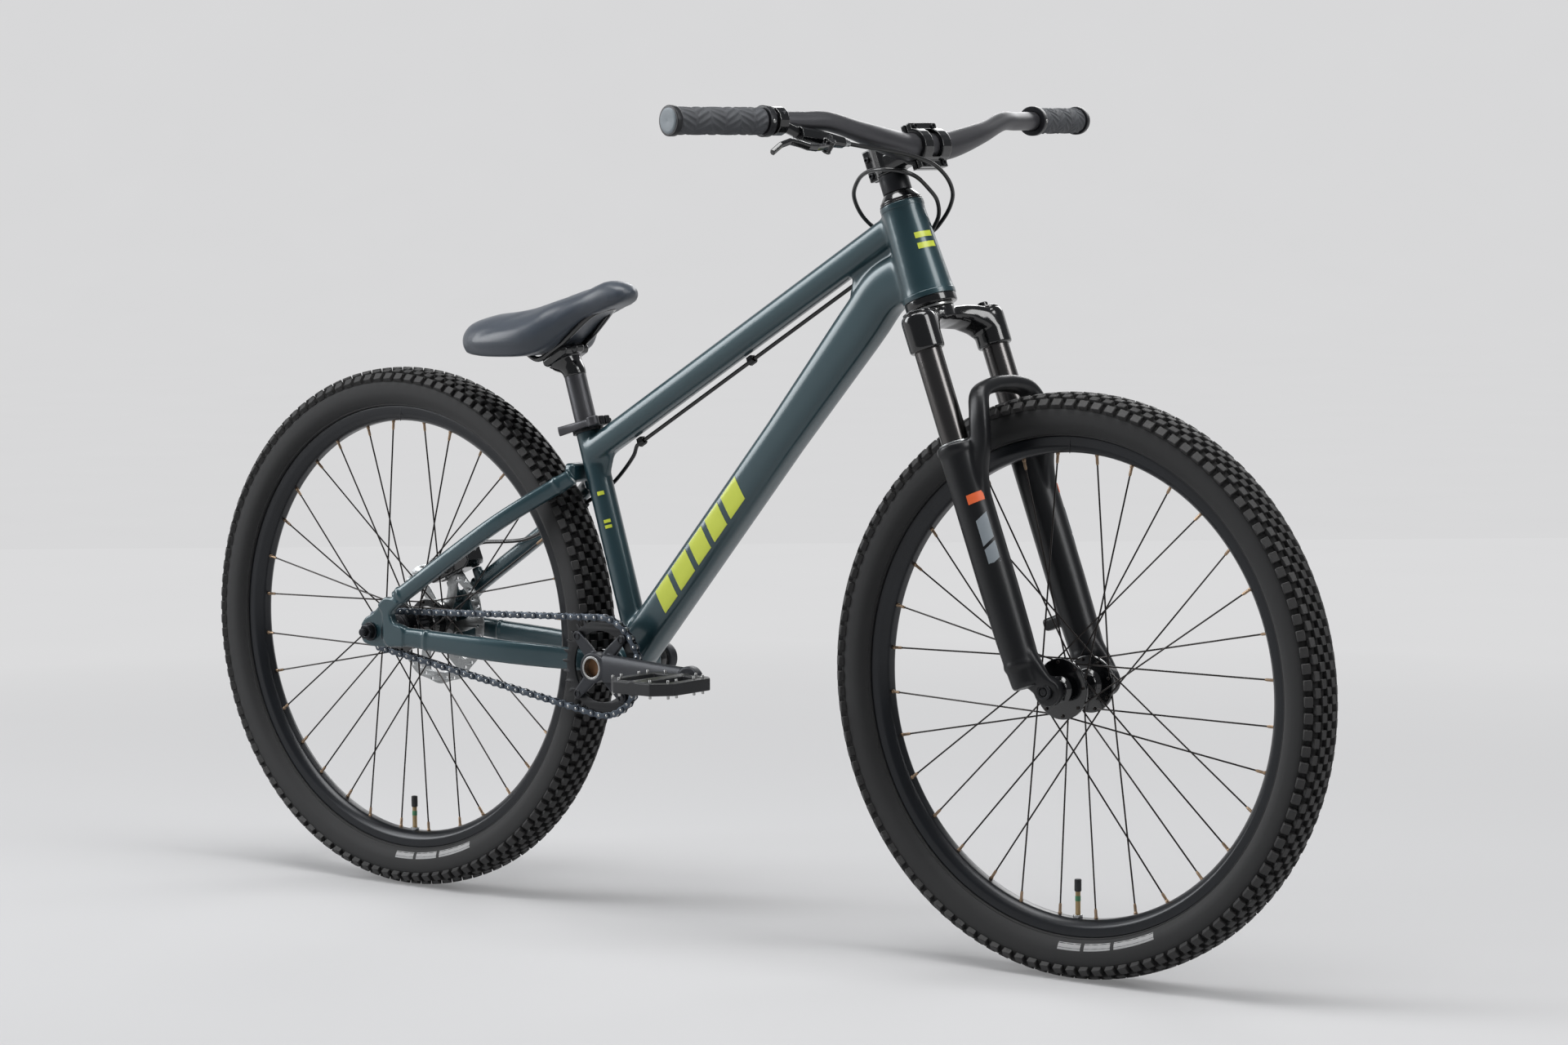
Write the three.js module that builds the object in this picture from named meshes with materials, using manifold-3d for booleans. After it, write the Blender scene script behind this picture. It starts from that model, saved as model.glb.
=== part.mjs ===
// A dirt jump bicycle with one gear, a suspension fork and a rear disc brake.
// Millimetres. +X points forward, +Y to the rider's left and +Z up.
// The origin is on the ground, midway between the two wheel axles.
import * as THREE from 'three';
import { mergeVertices } from 'three/addons/utils/BufferGeometryUtils.js';
import Module from 'manifold-3d';

const wasm = await Module();
wasm.setup();

// Driving sizes of the whole machine
const wheelbase = 1048;
const tyreRadius = 335;
const headAngle = 69.5;
const seatAngle = 73;
const forkOffset = 42;
const bracketDrop = 21;
const chainstayLength = 373;
const seatTubeLead = 23.3;
const gap = 0.3;
const overrun = 8;
const mergeTolerance = 0.001;

// Wheels
const wheelSegments = 32;
const rim = {
  radius: 285.5, halfWidth: 15, wall: 1.8, depth: 19.5, seatDrop: 6, wellDrop: 8.5, noseHalf: 5.5,
  wallRise: 7,
};
const tyre = {
  halfWidth: 27.5, knob: 3, wall: 3, bead: 4.2, treadHalf: 19, shoulder: 25, flare: 8.5, rows: 3,
  squareness: 2.6,
  topShare: 0.72,
};
const innerTube = { radius: 17.5, centre: 304, sides: 6 };
const valve = { radius: 3.2, length: 46, capRadius: 4.2, capLength: 14 };
const spoke = { radius: 1, perSide: 16, wrap: 67.5, headInset: 4, rimInset: 2.5, stagger: 1.3 };
const frontHub = {
  halfLength: 50, bore: 7.9, endRadius: 11, shell: 13, flange: 4.8,
  rightFlange: -31, rightRadius: 35, leftFlange: 24, leftRadius: 33, rotorFace: 39.5, rotorSeat: 25,
};
const rearHub = {
  bore: 5.4, endRadius: 9, shell: 17, flange: 4.8, rightEnd: 24, leftEnd: 67.5,
  rightFlange: -20.5, rightRadius: 33, leftFlange: 32, leftRadius: 33, rotorFace: 50.1,
  rotorSeat: 29, pilot: 22,
};
const rotor = {
  radius: 79, band: 15, thickness: 1.9, carrier: 31, arms: 6, armShare: 0.3, leanShare: 0.35,
  wave: 1.2, waves: 12,
};

// Drive
const chainLine = 51;
const pitch = 12.7;
const ringTeeth = 30;
const cogTeeth = 12;
const link = { half: 3.1, height: 8.6, width: 8.6, window: 5 };
const tooth = { rootDrop: 4.7, tipRise: 3.1, rootWidth: 3.6, tipWidth: 1.8 };
const chainring = { thickness: 3, inner: 44, boltCircle: 50.5, bolt: 4 };
const cog = {
  thickness: 3, bore: 5.4, radius: 16, inner: 24.3, outer: 66.8, collar: 19, collarWidth: 3.5,
};
const crank = {
  length: 170, bossRadius: 19, bossInner: 57, bossOuter: 71, endRadius: 16, endInner: 77, endOuter: 91,
  thickness: 12, rootHeight: 36, endHeight: 27, spiderThickness: 4, spiderInner: 52.8, spiderWidth: 15,
};
const spindle = { radius: 14, bore: 11.6, sides: 16 };
const pedal = {
  axle: 6, collar: 8.4, collarWidth: 4, length: 98, width: 96, height: 15, chamfer: 20, rail: 12,
  barrel: 9.5, sides: 10,
};

// Frame
const headTube = {
  lowRadius: 31.5, topRadius: 25.5, length: 117, bore: 22, lowSeat: 28, topSeat: 23, seatDepth: 12,
};
const headset = {
  sides: 16, cup: 9.6, race: 4, cover: 11.5, lowCupRadius: 30.5, raceRadius: 25, coverRadius: 24.5,
  lip: 2.2,
};
const topTube = { width: 34, height: 34, rearHeight: 33, entry: 98, seatEntry: 270, squareness: 3 };
const downTube = {
  width: 43, height: 50, headHeight: 58, entry: 34, kneeBack: 54, knee: 31, bendBack: 96, bend: 9,
  squareness: 3.6,
};
const seatTube = { radius: 15.9, bore: 13.9, length: 308, boreFloor: 62, slot: 2.4, slotLength: 22 };
const shell = { radius: 23, halfWidth: 36.5, bore: 17.6 };
const cup = { radius: 21.5, width: 9.5, sleeveDepth: 14 };
const gusset = { thickness: 10, reach: 84, lowShare: 0.1 };
const seatGusset = { thickness: 14, reach: 30, drop: 58 };
const seatstay = { width: 16, height: 21, dropSpread: 71, midSpread: 60, topSpread: 24 };
const chainstay = {
  width: 15, rearHeight: 24, midHeight: 29, frontHeight: 25, frontWidth: 10,
  dropSpread: 71, midSpread: 60, ringSpread: 38, frontSpread: 29,
};
const stayBridge = { height: 24, depth: 16, back: 27, seatRise: 252 };
const yoke = { height: 24, depth: 9, back: 29 };
const dropout = {
  inner: 67.8, thickness: 8, hood: 4, nose: 19, slot: 10.6, slotFront: 8,
  stayAhead: 43, stayUp: 44, chainAhead: 58, chainDrop: 3.5,
};
const tensioner = { radius: 4.4, length: 17, ahead: 21 };
const rearBolt = {
  radius: 5, washer: 12, washerWidth: 2.4, nut: 10, nutWidth: 8, tip: 6, sides: 12, nutSides: 6,
};

// Seat
const collar = {
  radius: 19.5, height: 14, lap: 1.5, ear: 13, wall: 1, earHeight: 11, earHalf: 9, slot: 2.4, bolt: 3.2,
  boltAhead: 26.5, boltTip: 5,
};
const quickLever = { length: 50, width: 11, thickness: 7, cam: 8.2 };
const post = { radius: 13.6, inserted: 196, headHeight: 59, cradleRise: 96, cradleBack: 9 };
const cradle = {
  tilt: 30, length: 44, width: 56, depth: 14, neckWidth: 30, neckLength: 38, clampLength: 34,
  clampHeight: 8, split: 0.6,
};
const rail = {
  radius: 3.5, spread: 22, sides: 5, rearBack: 63, rearSpread: 24, rearRise: 14.5, bendBack: 29,
  bendDrop: 10,
  flat: 40, kneeAhead: 29, kneeRise: 18.5, noseAhead: 65, noseSpread: 15, noseRise: 47.5,
  tipAhead: 83, tipRise: 54.5,
};
const saddle = {
  length: 275, width: 134, tailBack: 154, rise: 88, depth: 45, wall: 8, shellWall: 3, shellDrop: 4,
  socket: 9,
};

// Front end
const fork = {
  sides: 14, crownHeight: 467, crownDepth: 30, crownWidth: 47, legSpread: 65, legAhead: 23.5,
  stanchion: 16,
  stanchionBottom: 172, clamp: 20.6, clampDrop: 11, clampHeight: 44, seal: 300, sealRadius: 24,
  sealHeight: 11,
  legRadius: 22.3, legLow: 19, legTip: 14, legBottom: 15, boreFloor: 62, boss: 17.5, bossInner: 50.4,
  bossOuter: 63,
};
const steerer = { radius: 14.3, wall: 2.5, lowRadius: 19, taperRise: 30, taperHeight: 27, recess: 3 };
const arch = { radial: 13, broad: 21, top: 356, ahead: 63, footAhead: 43, footTop: 288 };
const thruAxle = { radius: 7.5, head: 9.5, headWidth: 5, tip: 2 };
const brakeTab = { width: 16, height: 15, back: 24, low: 6, span: 74.2 };
const adjuster = { radius: 10, height: 4.5, knob: 6, knobHeight: 5 };
const spacer = { radius: 17.4, height: 22 };
const stem = {
  height: 38, reach: 55, radius: 18.6, barBelow: 5, neckWidth: 36, neckHeight: 27, clampRadius: 21.4,
  clampWidth: 50, earHeight: 54, earDepth: 14, slot: 2, windowWidth: 17, windowHeight: 33,
  plateGap: 1.4, bossBack: 29,
};
const topCap = { radius: 16.5, height: 4.5, bolt: 4.2 };
const bar = {
  sides: 12, clampRadius: 15.9, gripRadius: 11.1, bendInner: 38, rise: 48, sweepBack: 42,
  kneeSide: 112, kneeRise: 15,
  kneeAhead: 4, topSide: 168, topRise: 31, halfWidth: 385, gripStart: 0.62,
};
const grip = { radius: 15.6, collar: 18, collarWidth: 9, length: 134, end: 4 };
const lever = {
  clampRadius: 16.5, clampWidth: 13, clampSide: 239, neckRadius: 8, tankHeight: 18, portSize: 12,
  bladeWidth: 10, bladeThickness: 6, tipShare: 0.75, pinRadius: 2, pinSides: 6, hubRadius: 5.5,
  earRadius: 6, earWall: 3,
  portRadius: 3.4, portLength: 9,
  body: { ahead: 13, inboard: 14, drop: 21 }, port: { ahead: 18, inboard: 84, drop: 33 },
  pivot: { ahead: 27, inboard: 44, drop: 40 }, bladeMiddle: { ahead: 33, inboard: 6, drop: 44 },
  bladeElbow: { ahead: 33, inboard: -36, drop: 37 }, bladeTip: { ahead: 26, inboard: -58, drop: 47 },
};
const caliper = {
  length: 82, height: 30, inner: 37, outer: 66, slot: 5, rise: 78, ahead: 25, tilt: 23,
  postFront: 26, postRear: 24, postLength: 28, postShort: 19, postWidth: 12, postDepth: 10,
  postSide: 65, piston: 11,
  coverDepth: 2, portSide: 52, portLength: 9,
};
const hose = { radius: 2.5, sides: 5 };
const clip = {
  radius: 5.4, length: 9, foot: 6, side: 10.7, frontAt: 89, middleAt: 295, rearAt: 500, leadOut: 26,
  behindUp: 228, behindSide: 27, stayShare: 0.82, stayInboard: 4, stayDrop: 20.5, crossShare: 0.42,
  crossInboard: 15,
};

const degrees = Math.PI / 180;
const V = (x, y, z) => new THREE.Vector3(x, y, z);

// Turns a geometry into a solid: shared corners are merged and the faces made to point out.
function solid(geometry) {
  const bare = geometry.clone();
  bare.deleteAttribute('normal');
  bare.deleteAttribute('uv');
  const merged = mergeVertices(bare, mergeTolerance);
  const points = merged.attributes.position.array;
  const faces = [];
  for (let i = 0; i < merged.index.count; i += 3) {
    const [a, b, c] = [merged.index.getX(i), merged.index.getX(i + 1), merged.index.getX(i + 2)];
    if (a !== b && b !== c && c !== a) faces.push(a, b, c);
  }
  if (signedVolume(points, faces) < 0) faces.reverse();
  return new wasm.Manifold(new wasm.Mesh({
    numProp: 3, vertProperties: points, triVerts: new Uint32Array(faces),
  }));
}

function signedVolume(points, faces) {
  const corner = (i) => V(points[3 * i], points[3 * i + 1], points[3 * i + 2]);
  let sum = 0;
  for (let i = 0; i < faces.length; i += 3) {
    sum += corner(faces[i]).dot(corner(faces[i + 1]).cross(corner(faces[i + 2])));
  }
  return sum;
}

function join(...solids) {
  return solids.reduce((whole, next) => whole.add(next));
}

function cut(body, ...tools) {
  return tools.reduce((rest, tool) => rest.subtract(tool), body);
}

function finish(color, roughness, metalness) {
  return new THREE.MeshStandardMaterial({ color, roughness, metalness });
}

function piece(name, body, material) {
  const mesh = body.getMesh();
  const geometry = new THREE.BufferGeometry();
  geometry.setAttribute('position', new THREE.BufferAttribute(mesh.vertProperties, 3));
  geometry.setIndex(new THREE.BufferAttribute(mesh.triVerts, 1));
  geometry.computeVertexNormals();
  const result = new THREE.Mesh(geometry, material);
  result.name = name;
  return result;
}

// Basic forms
function box(width, depth, height, centre) {
  return solid(new THREE.BoxGeometry(width, depth, height).translate(centre.x, centre.y, centre.z));
}

function rod(from, to, startRadius, endRadius, sides) {
  const axis = to.clone().sub(from);
  const shape = new THREE.CylinderGeometry(endRadius, startRadius, axis.length(), sides);
  shape.translate(0, axis.length() / 2, 0);
  const turn = new THREE.Quaternion().setFromUnitVectors(V(0, 1, 0), axis.clone().normalize());
  shape.applyQuaternion(turn);
  return solid(shape.translate(from.x, from.y, from.z));
}

function crossRod(centre, yFrom, yTo, radius, sides) {
  return rod(V(centre.x, yFrom, centre.z), V(centre.x, yTo, centre.z), radius, radius, sides);
}

// A profile of [radius, height] pairs turned about the Y axis; a ring's profile closes on itself.
function turned(profile, segments) {
  const points = profile.map(([radius, height]) => new THREE.Vector2(radius, height));
  return solid(new THREE.LatheGeometry(points, segments));
}

function turnedUpright(profile, segments) {
  const points = profile.map(([radius, height]) => new THREE.Vector2(radius, height));
  return solid(new THREE.LatheGeometry(points, segments).rotateX(Math.PI / 2));
}

function sleeve(inner, outer, low, high) {
  return [[inner, low], [outer, low], [outer, high], [inner, high], [inner, low]];
}

// A flat outline of [x, z] pairs made into a plate between two Y values.
function plate(outline, yFrom, yTo, holes = []) {
  const shape = new THREE.Shape(outline.map(([x, z]) => new THREE.Vector2(x, z)));
  shape.holes = holes.map((hole) => new THREE.Path(hole.map(([x, z]) => new THREE.Vector2(x, z))));
  const geometry = new THREE.ExtrudeGeometry(shape, { depth: yTo - yFrom, bevelEnabled: false });
  return solid(geometry.rotateX(Math.PI / 2).translate(0, yTo, 0));
}

function circle(radius, count, x = 0, z = 0, start = 0) {
  return Array.from({ length: count }, (_, i) => {
    const angle = start + (i / count) * 2 * Math.PI;
    return [x + radius * Math.cos(angle), z + radius * Math.sin(angle)];
  });
}

// Rings of equal counts of points, skinned one to the next.
function loft(rings, closed = false) {
  const count = rings[0].length;
  const faces = [];
  const spans = closed ? rings.length : rings.length - 1;
  for (let i = 0; i < spans; i += 1) {
    const here = i * count;
    const next = ((i + 1) % rings.length) * count;
    for (let j = 0; j < count; j += 1) {
      const k = (j + 1) % count;
      faces.push(here + j, next + j, next + k, here + j, next + k, here + k);
    }
  }
  if (!closed) {
    const last = (rings.length - 1) * count;
    for (let j = 1; j < count - 1; j += 1) {
      faces.push(0, j, j + 1, last, last + j + 1, last + j);
    }
  }
  return meshSolid(rings.flat(), faces);
}

function meshSolid(points, faces) {
  const geometry = new THREE.BufferGeometry().setFromPoints(points);
  geometry.setIndex(faces);
  return solid(geometry);
}

// A closed oval section; squareness 2 is an ellipse and larger is boxier.
function oval(width, height, squareness, sides) {
  return Array.from({ length: sides }, (_, i) => {
    const angle = ((i + 0.5) / sides) * 2 * Math.PI;
    const power = (value) => Math.sign(value) * Math.abs(value) ** (2 / squareness);
    return new THREE.Vector2((width / 2) * power(Math.cos(angle)), (height / 2) * power(Math.sin(angle)));
  });
}

// Sections set square to a path, with their first axis across the path and level with the ground.
function sweep(path, sectionAt, upHint = V(0, 0, 1)) {
  const rings = path.map((point, i) => {
    const before = path[Math.max(i - 1, 0)];
    const after = path[Math.min(i + 1, path.length - 1)];
    const ahead = after.clone().sub(before).normalize();
    const side = upHint.clone().cross(ahead).normalize();
    const up = ahead.clone().cross(side);
    return sectionAt(i / (path.length - 1)).map((corner) => (
      point.clone().addScaledVector(side, corner.x).addScaledVector(up, corner.y)
    ));
  });
  return loft(rings);
}

function curve(points, steps) {
  return new THREE.CatmullRomCurve3(points, false, 'centripetal').getSpacedPoints(steps);
}

function tube(points, radius, sides, steps) {
  const section = new THREE.Shape(oval(2 * radius, 2 * radius, 2, sides));
  const path = new THREE.CatmullRomCurve3(points, false, 'centripetal');
  return solid(new THREE.ExtrudeGeometry(section, { steps, extrudePath: path, bevelEnabled: false }));
}

function mix(from, to, share) {
  return from + (to - from) * share;
}

// Values given at shares of a length, read between the listed shares.
function along(shares, values, share) {
  const last = shares.length - 1;
  const i = Math.min(shares.findIndex((limit, k) => k === last || share < shares[k + 1]), last - 1);
  const part = (share - shares[i]) / (shares[i + 1] - shares[i]);
  return mix(values[i], values[i + 1], Math.min(Math.max(part, 0), 1));
}

function moved(body, matrix) {
  const mesh = body.getMesh();
  const geometry = new THREE.BufferGeometry();
  geometry.setAttribute('position', new THREE.BufferAttribute(mesh.vertProperties, 3));
  geometry.setIndex(new THREE.BufferAttribute(mesh.triVerts, 1));
  return solid(geometry.applyMatrix4(matrix));
}

function mirrored(body) {
  return moved(body, new THREE.Matrix4().makeScale(1, -1, 1));
}

// Main places
const rearAxle = V(-wheelbase / 2, 0, tyreRadius);
const frontAxle = V(wheelbase / 2, 0, tyreRadius);
const chainstayRun = Math.sqrt(chainstayLength ** 2 - bracketDrop ** 2);
const bracket = V(rearAxle.x + chainstayRun, 0, tyreRadius - bracketDrop);

const headLean = Math.PI / 2 - headAngle * degrees;
const steerUp = V(-Math.sin(headLean), 0, Math.cos(headLean));
const steerAhead = V(Math.cos(headLean), 0, Math.sin(headLean));
const steerFoot = frontAxle.clone().addScaledVector(steerAhead, -forkOffset);
const clampTop = fork.crownHeight - fork.clampDrop;
const clampBottom = clampTop - fork.clampHeight;
const taperLow = fork.crownHeight + steerer.taperRise;
const taperTop = taperLow + steerer.taperHeight;
const headLow = fork.crownHeight + headset.race + headset.cup;
const headTop = headLow + headTube.length;

function steerPoint(ahead, left, up) {
  const onPlane = steerFoot.clone().addScaledVector(steerAhead, ahead).addScaledVector(steerUp, up);
  return onPlane.add(V(0, left, 0));
}

const seatLean = Math.PI / 2 - seatAngle * degrees;
const seatUp = V(-Math.sin(seatLean), 0, Math.cos(seatLean));
const seatFoot = V(bracket.x + seatTubeLead, 0, bracket.z);

function seatPoint(up, left = 0, ahead = 0) {
  const forward = V(Math.cos(seatLean), 0, Math.sin(seatLean));
  return seatFoot.clone().addScaledVector(seatUp, up).addScaledVector(forward, ahead).add(V(0, left, 0));
}

// Finishes
const framePaint = finish('#26474d', 0.3, 0.2);
const blackPaint = finish('#17181a', 0.25, 0.1);
const satinBlack = finish('#1d1e20', 0.45, 0.3);
const rubber = finish('#232323', 0.9, 0);
const plastic = finish('#202124', 0.6, 0);
const steel = finish('#a8a6a0', 0.35, 0.9);
const chainSteel = finish('#3a414b', 0.4, 0.8);
const coverSkin = finish('#3a3d42', 0.75, 0);

// Front triangle
function headTubeBody() {
  return rod(steerPoint(0, 0, headLow), steerPoint(0, 0, headTop), headTube.lowRadius, headTube.topRadius,
    headset.sides);
}

function headTubeHollow() {
  const bore = (low, high, radius) => (
    rod(steerPoint(0, 0, low), steerPoint(0, 0, high), radius, radius, headset.sides)
  );
  return join(
    bore(headLow - overrun, headTop + overrun, headTube.bore),
    bore(headLow - overrun, headLow + headTube.seatDepth, headTube.lowSeat),
    bore(headTop - headTube.seatDepth, headTop + overrun, headTube.topSeat),
  );
}

const downTubeStart = steerPoint(0, 0, headLow + downTube.entry);
const downTubeKnee = steerPoint(-downTube.kneeBack, 0, headLow + downTube.knee);
const downTubeBend = steerPoint(-downTube.bendBack, 0, headLow + downTube.bend);

function downTubeBody() {
  const bendShares = [0.06, 0.16];
  const straight = (share) => downTubeBend.clone().lerp(bracket, share);
  const bentPart = curve([downTubeStart, downTubeKnee, downTubeBend, ...bendShares.map(straight)], 6);
  const sizeShares = [0, 0.3, 0.8, 1];
  const heights = [downTube.headHeight, downTube.headHeight, downTube.height, downTube.height];
  return sweep([...bentPart, bracket], (share) => (
    oval(downTube.width, along(sizeShares, heights, share), downTube.squareness, 12)
  ));
}

const topTubeFront = steerPoint(0, 0, headLow + topTube.entry);
const topTubeRear = seatPoint(topTube.seatEntry);

function topTubePoint(distance, below = 0, left = 0) {
  const back = topTubeRear.clone().sub(topTubeFront).normalize();
  const down = V(-back.z, 0, back.x);
  const onPlane = topTubeFront.clone().addScaledVector(back, distance).addScaledVector(down, below);
  return onPlane.add(V(0, left, 0));
}

function topTubeBody() {
  return sweep([topTubeFront, topTubeRear], (share) => (
    oval(topTube.width, mix(topTube.height, topTube.rearHeight, share), topTube.squareness, 12)
  ));
}

function web(corners, thickness) {
  return plate(corners.map((point) => [point.x, point.z]), -thickness / 2, thickness / 2);
}

function headGusset() {
  const onDown = downTubeBend.clone().lerp(bracket, gusset.lowShare);
  return web([topTubeFront, topTubePoint(gusset.reach), onDown, downTubeStart], gusset.thickness);
}

function seatTubeGusset() {
  const reach = seatGusset.reach + seatTube.radius;
  const ahead = topTubeRear.clone().lerp(topTubeFront, reach / topTubeRear.distanceTo(topTubeFront));
  return web([topTubeRear, ahead, seatPoint(topTube.seatEntry - seatGusset.drop)], seatGusset.thickness);
}

function frontTriangle() {
  const frame = join(
    headTubeBody(), downTubeBody(), topTubeBody(), headGusset(), seatTubeGusset(),
    rod(seatFoot, seatPoint(seatTube.length), seatTube.radius, seatTube.radius, 18),
    crossRod(bracket, -shell.halfWidth, shell.halfWidth, shell.radius, 24),
  );
  const postBore = rod(seatPoint(seatTube.boreFloor), seatPoint(seatTube.length + overrun),
    seatTube.bore, seatTube.bore, 18);
  const shellEnd = shell.halfWidth + overrun;
  const shellBore = crossRod(bracket, -shellEnd, shellEnd, shell.bore, spindle.sides);
  const slot = rod(seatPoint(seatTube.length - seatTube.slotLength, 0, -seatTube.radius),
    seatPoint(seatTube.length + overrun, 0, -seatTube.radius), seatTube.slot, seatTube.slot, 4);
  return cut(frame, headTubeHollow(), postBore, shellBore, slot);
}

// Rear triangle, drawn for the right side and mirrored
const dropoutPoint = (ahead, up) => V(rearAxle.x + ahead, 0, rearAxle.z + up);
const seatstayHigh = seatPoint(stayBridge.seatRise);
const seatstayLow = dropoutPoint(dropout.stayAhead, dropout.stayUp);
const chainstayLow = dropoutPoint(dropout.chainAhead, -dropout.chainDrop);

const spreadShares = [0, 0.6, 0.93];

function seatstayCentre(share) {
  const spread = along(spreadShares, [seatstay.dropSpread, seatstay.midSpread, seatstay.topSpread], share);
  return seatstayLow.clone().lerp(seatstayHigh, share).setY(-spread);
}

function seatstayBody() {
  const path = curve(spreadShares.map(seatstayCentre), 6);
  return sweep(path, () => oval(seatstay.width, seatstay.height, 3, 8));
}

function chainstayBody() {
  const midShare = 0.5;
  const ringShare = 0.78;
  const at = (share, y) => chainstayLow.clone().lerp(bracket, share).setY(-y);
  const path = curve([at(0, chainstay.dropSpread), at(midShare, chainstay.midSpread),
    at(ringShare, chainstay.ringSpread), at(1, chainstay.frontSpread)], 8);
  const shares = [0, 0.4, 0.7, 1];
  const heights = [chainstay.rearHeight, chainstay.midHeight, chainstay.midHeight, chainstay.frontHeight];
  const widths = [chainstay.width, chainstay.width, chainstay.frontWidth, chainstay.frontWidth];
  return sweep(path, (share) => oval(along(shares, widths, share), along(shares, heights, share), 4, 8));
}

function dropoutPlate() {
  const { nose } = dropout;
  const outline = (shares) => shares.map(([x, z]) => [rearAxle.x + x * nose, rearAxle.z + z * nose]);
  const flatShares = [[-1.05, 0.3], [-0.85, 0.75], [1.4, 2.35], [2.3, 2.3], [2.9, 2.1], [1.95, 1.35],
    [2.2, 0.75], [3.2, 0.5], [3.2, -0.85], [1.7, -0.95], [0, -1], [-0.8, -0.75]];
  const hoodShares = [[0.75, 1.85], [1.5, 2.45], [2.3, 2.4], [2.9, 2.1], [1.95, 1.35], [2.2, 0.75],
    [3.2, 0.5], [3.2, -0.85], [1.7, -0.95], [1.3, -0.5], [1.25, 1.3]];
  return join(
    plate(outline(flatShares), -dropout.inner - dropout.thickness, -dropout.inner),
    plate(outline(hoodShares), -dropout.inner - dropout.thickness - dropout.hood, -dropout.inner),
  );
}

const tensionerCentre = dropoutPoint(tensioner.ahead, 0).setY(-dropout.inner - dropout.thickness / 2);

function tensionerRod(radius, length) {
  const half = V(0, 0, length / 2);
  return rod(tensionerCentre.clone().sub(half), tensionerCentre.clone().add(half), radius, radius, 8);
}

function dropoutSlot() {
  const back = rearAxle.x - dropout.nose - overrun;
  const front = rearAxle.x + dropout.slotFront;
  const outside = dropout.inner + dropout.thickness + dropout.hood + overrun;
  const middle = V((front + back) / 2, -(outside + dropout.inner) / 2, rearAxle.z);
  return box(front - back, outside, dropout.slot, middle);
}

function rearSide() {
  const side = join(seatstayBody(), chainstayBody(), dropoutPlate());
  return cut(side, dropoutSlot(), tensionerRod(tensioner.radius + gap, tensioner.length + 2 * gap));
}

function caliperPosts() {
  const { postWidth, postDepth, postSide } = caliper;
  const post = (ahead, length) => {
    const low = -caliper.height / 2 - length;
    const high = -caliper.height / 2 - gap;
    const half = postWidth / 2;
    const corners = [[-half, low], [half, low], [half, high], [-half, high]];
    const outline = corners.map(([x, up]) => caliperPoint(ahead + x, up)).map((point) => [point.x,
      point.z]);
    return plate(outline, postSide - postDepth / 2, postSide + postDepth / 2);
  };
  return join(post(caliper.postFront, caliper.postShort), post(-caliper.postRear, caliper.postLength));
}

function rearTriangle() {
  const right = rearSide();
  const bridge = box(stayBridge.depth, seatstay.topSpread * 2, stayBridge.height,
    seatPoint(stayBridge.seatRise, 0, -stayBridge.back));
  const yokeBody = box(yoke.depth, chainstay.ringSpread * 2, yoke.height, V(bracket.x - yoke.back, 0,
    bracket.z));
  const seatClear = rod(seatFoot, seatPoint(seatTube.length + overrun),
    seatTube.radius + gap, seatTube.radius + gap, 18);
  const shellEnd = shell.halfWidth + overrun;
  const shellClear = crossRod(bracket, -shellEnd, shellEnd, shell.radius + gap, 24);
  const topClear = sweep([topTubeFront, topTubeRear], () => (
    oval(topTube.width + 2 * gap, topTube.height + 2 * gap, topTube.squareness, 12)
  ));
  const stays = join(right, mirrored(right), bridge, yokeBody, caliperPosts());
  return cut(stays, seatClear, shellClear, topClear);
}

// Headset, as rings round the steering axis
function lowerCup() {
  const inside = (steerer.lowRadius + gap) / Math.cos(Math.PI / headset.sides);
  const profile = [[inside, headLow - headset.cup + gap], [headset.lowCupRadius,
    headLow - headset.cup + gap],
    [headset.lowCupRadius, headLow - gap], [headTube.lowSeat - gap, headLow - gap],
    [headTube.lowSeat - gap, headLow + headTube.seatDepth - gap], [inside,
      headLow + headTube.seatDepth - gap]];
  return turnedUpright([...profile, profile[0]], headset.sides);
}

function upperCup() {
  const inside = steerer.radius + gap;
  const lip = headTop + headset.lip;
  const seatLow = headTop - headTube.seatDepth + gap;
  const profile = [[inside, seatLow], [headTube.topSeat - gap, seatLow],
    [headTube.topSeat - gap, headTop + gap], [headTube.topRadius, headTop + gap], [headTube.topRadius, lip],
    [inside, lip]];
  return turnedUpright([...profile, profile[0]], headset.sides);
}

const coverLow = headTop + headset.lip + gap;
const coverTop = coverLow + headset.cover;
const spacerTop = coverTop + gap + spacer.height;
const stemLow = spacerTop + gap;
const stemTop = stemLow + stem.height;
const steererTop = stemTop - steerer.recess;

function headsetCover() {
  const inside = steerer.radius + gap;
  const profile = [[inside, coverLow], [headset.coverRadius, coverLow],
    [headset.coverRadius, coverLow + headset.lip], [spacer.radius, coverTop], [inside, coverTop]];
  return turnedUpright([...profile, profile[0]], headset.sides);
}

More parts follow.
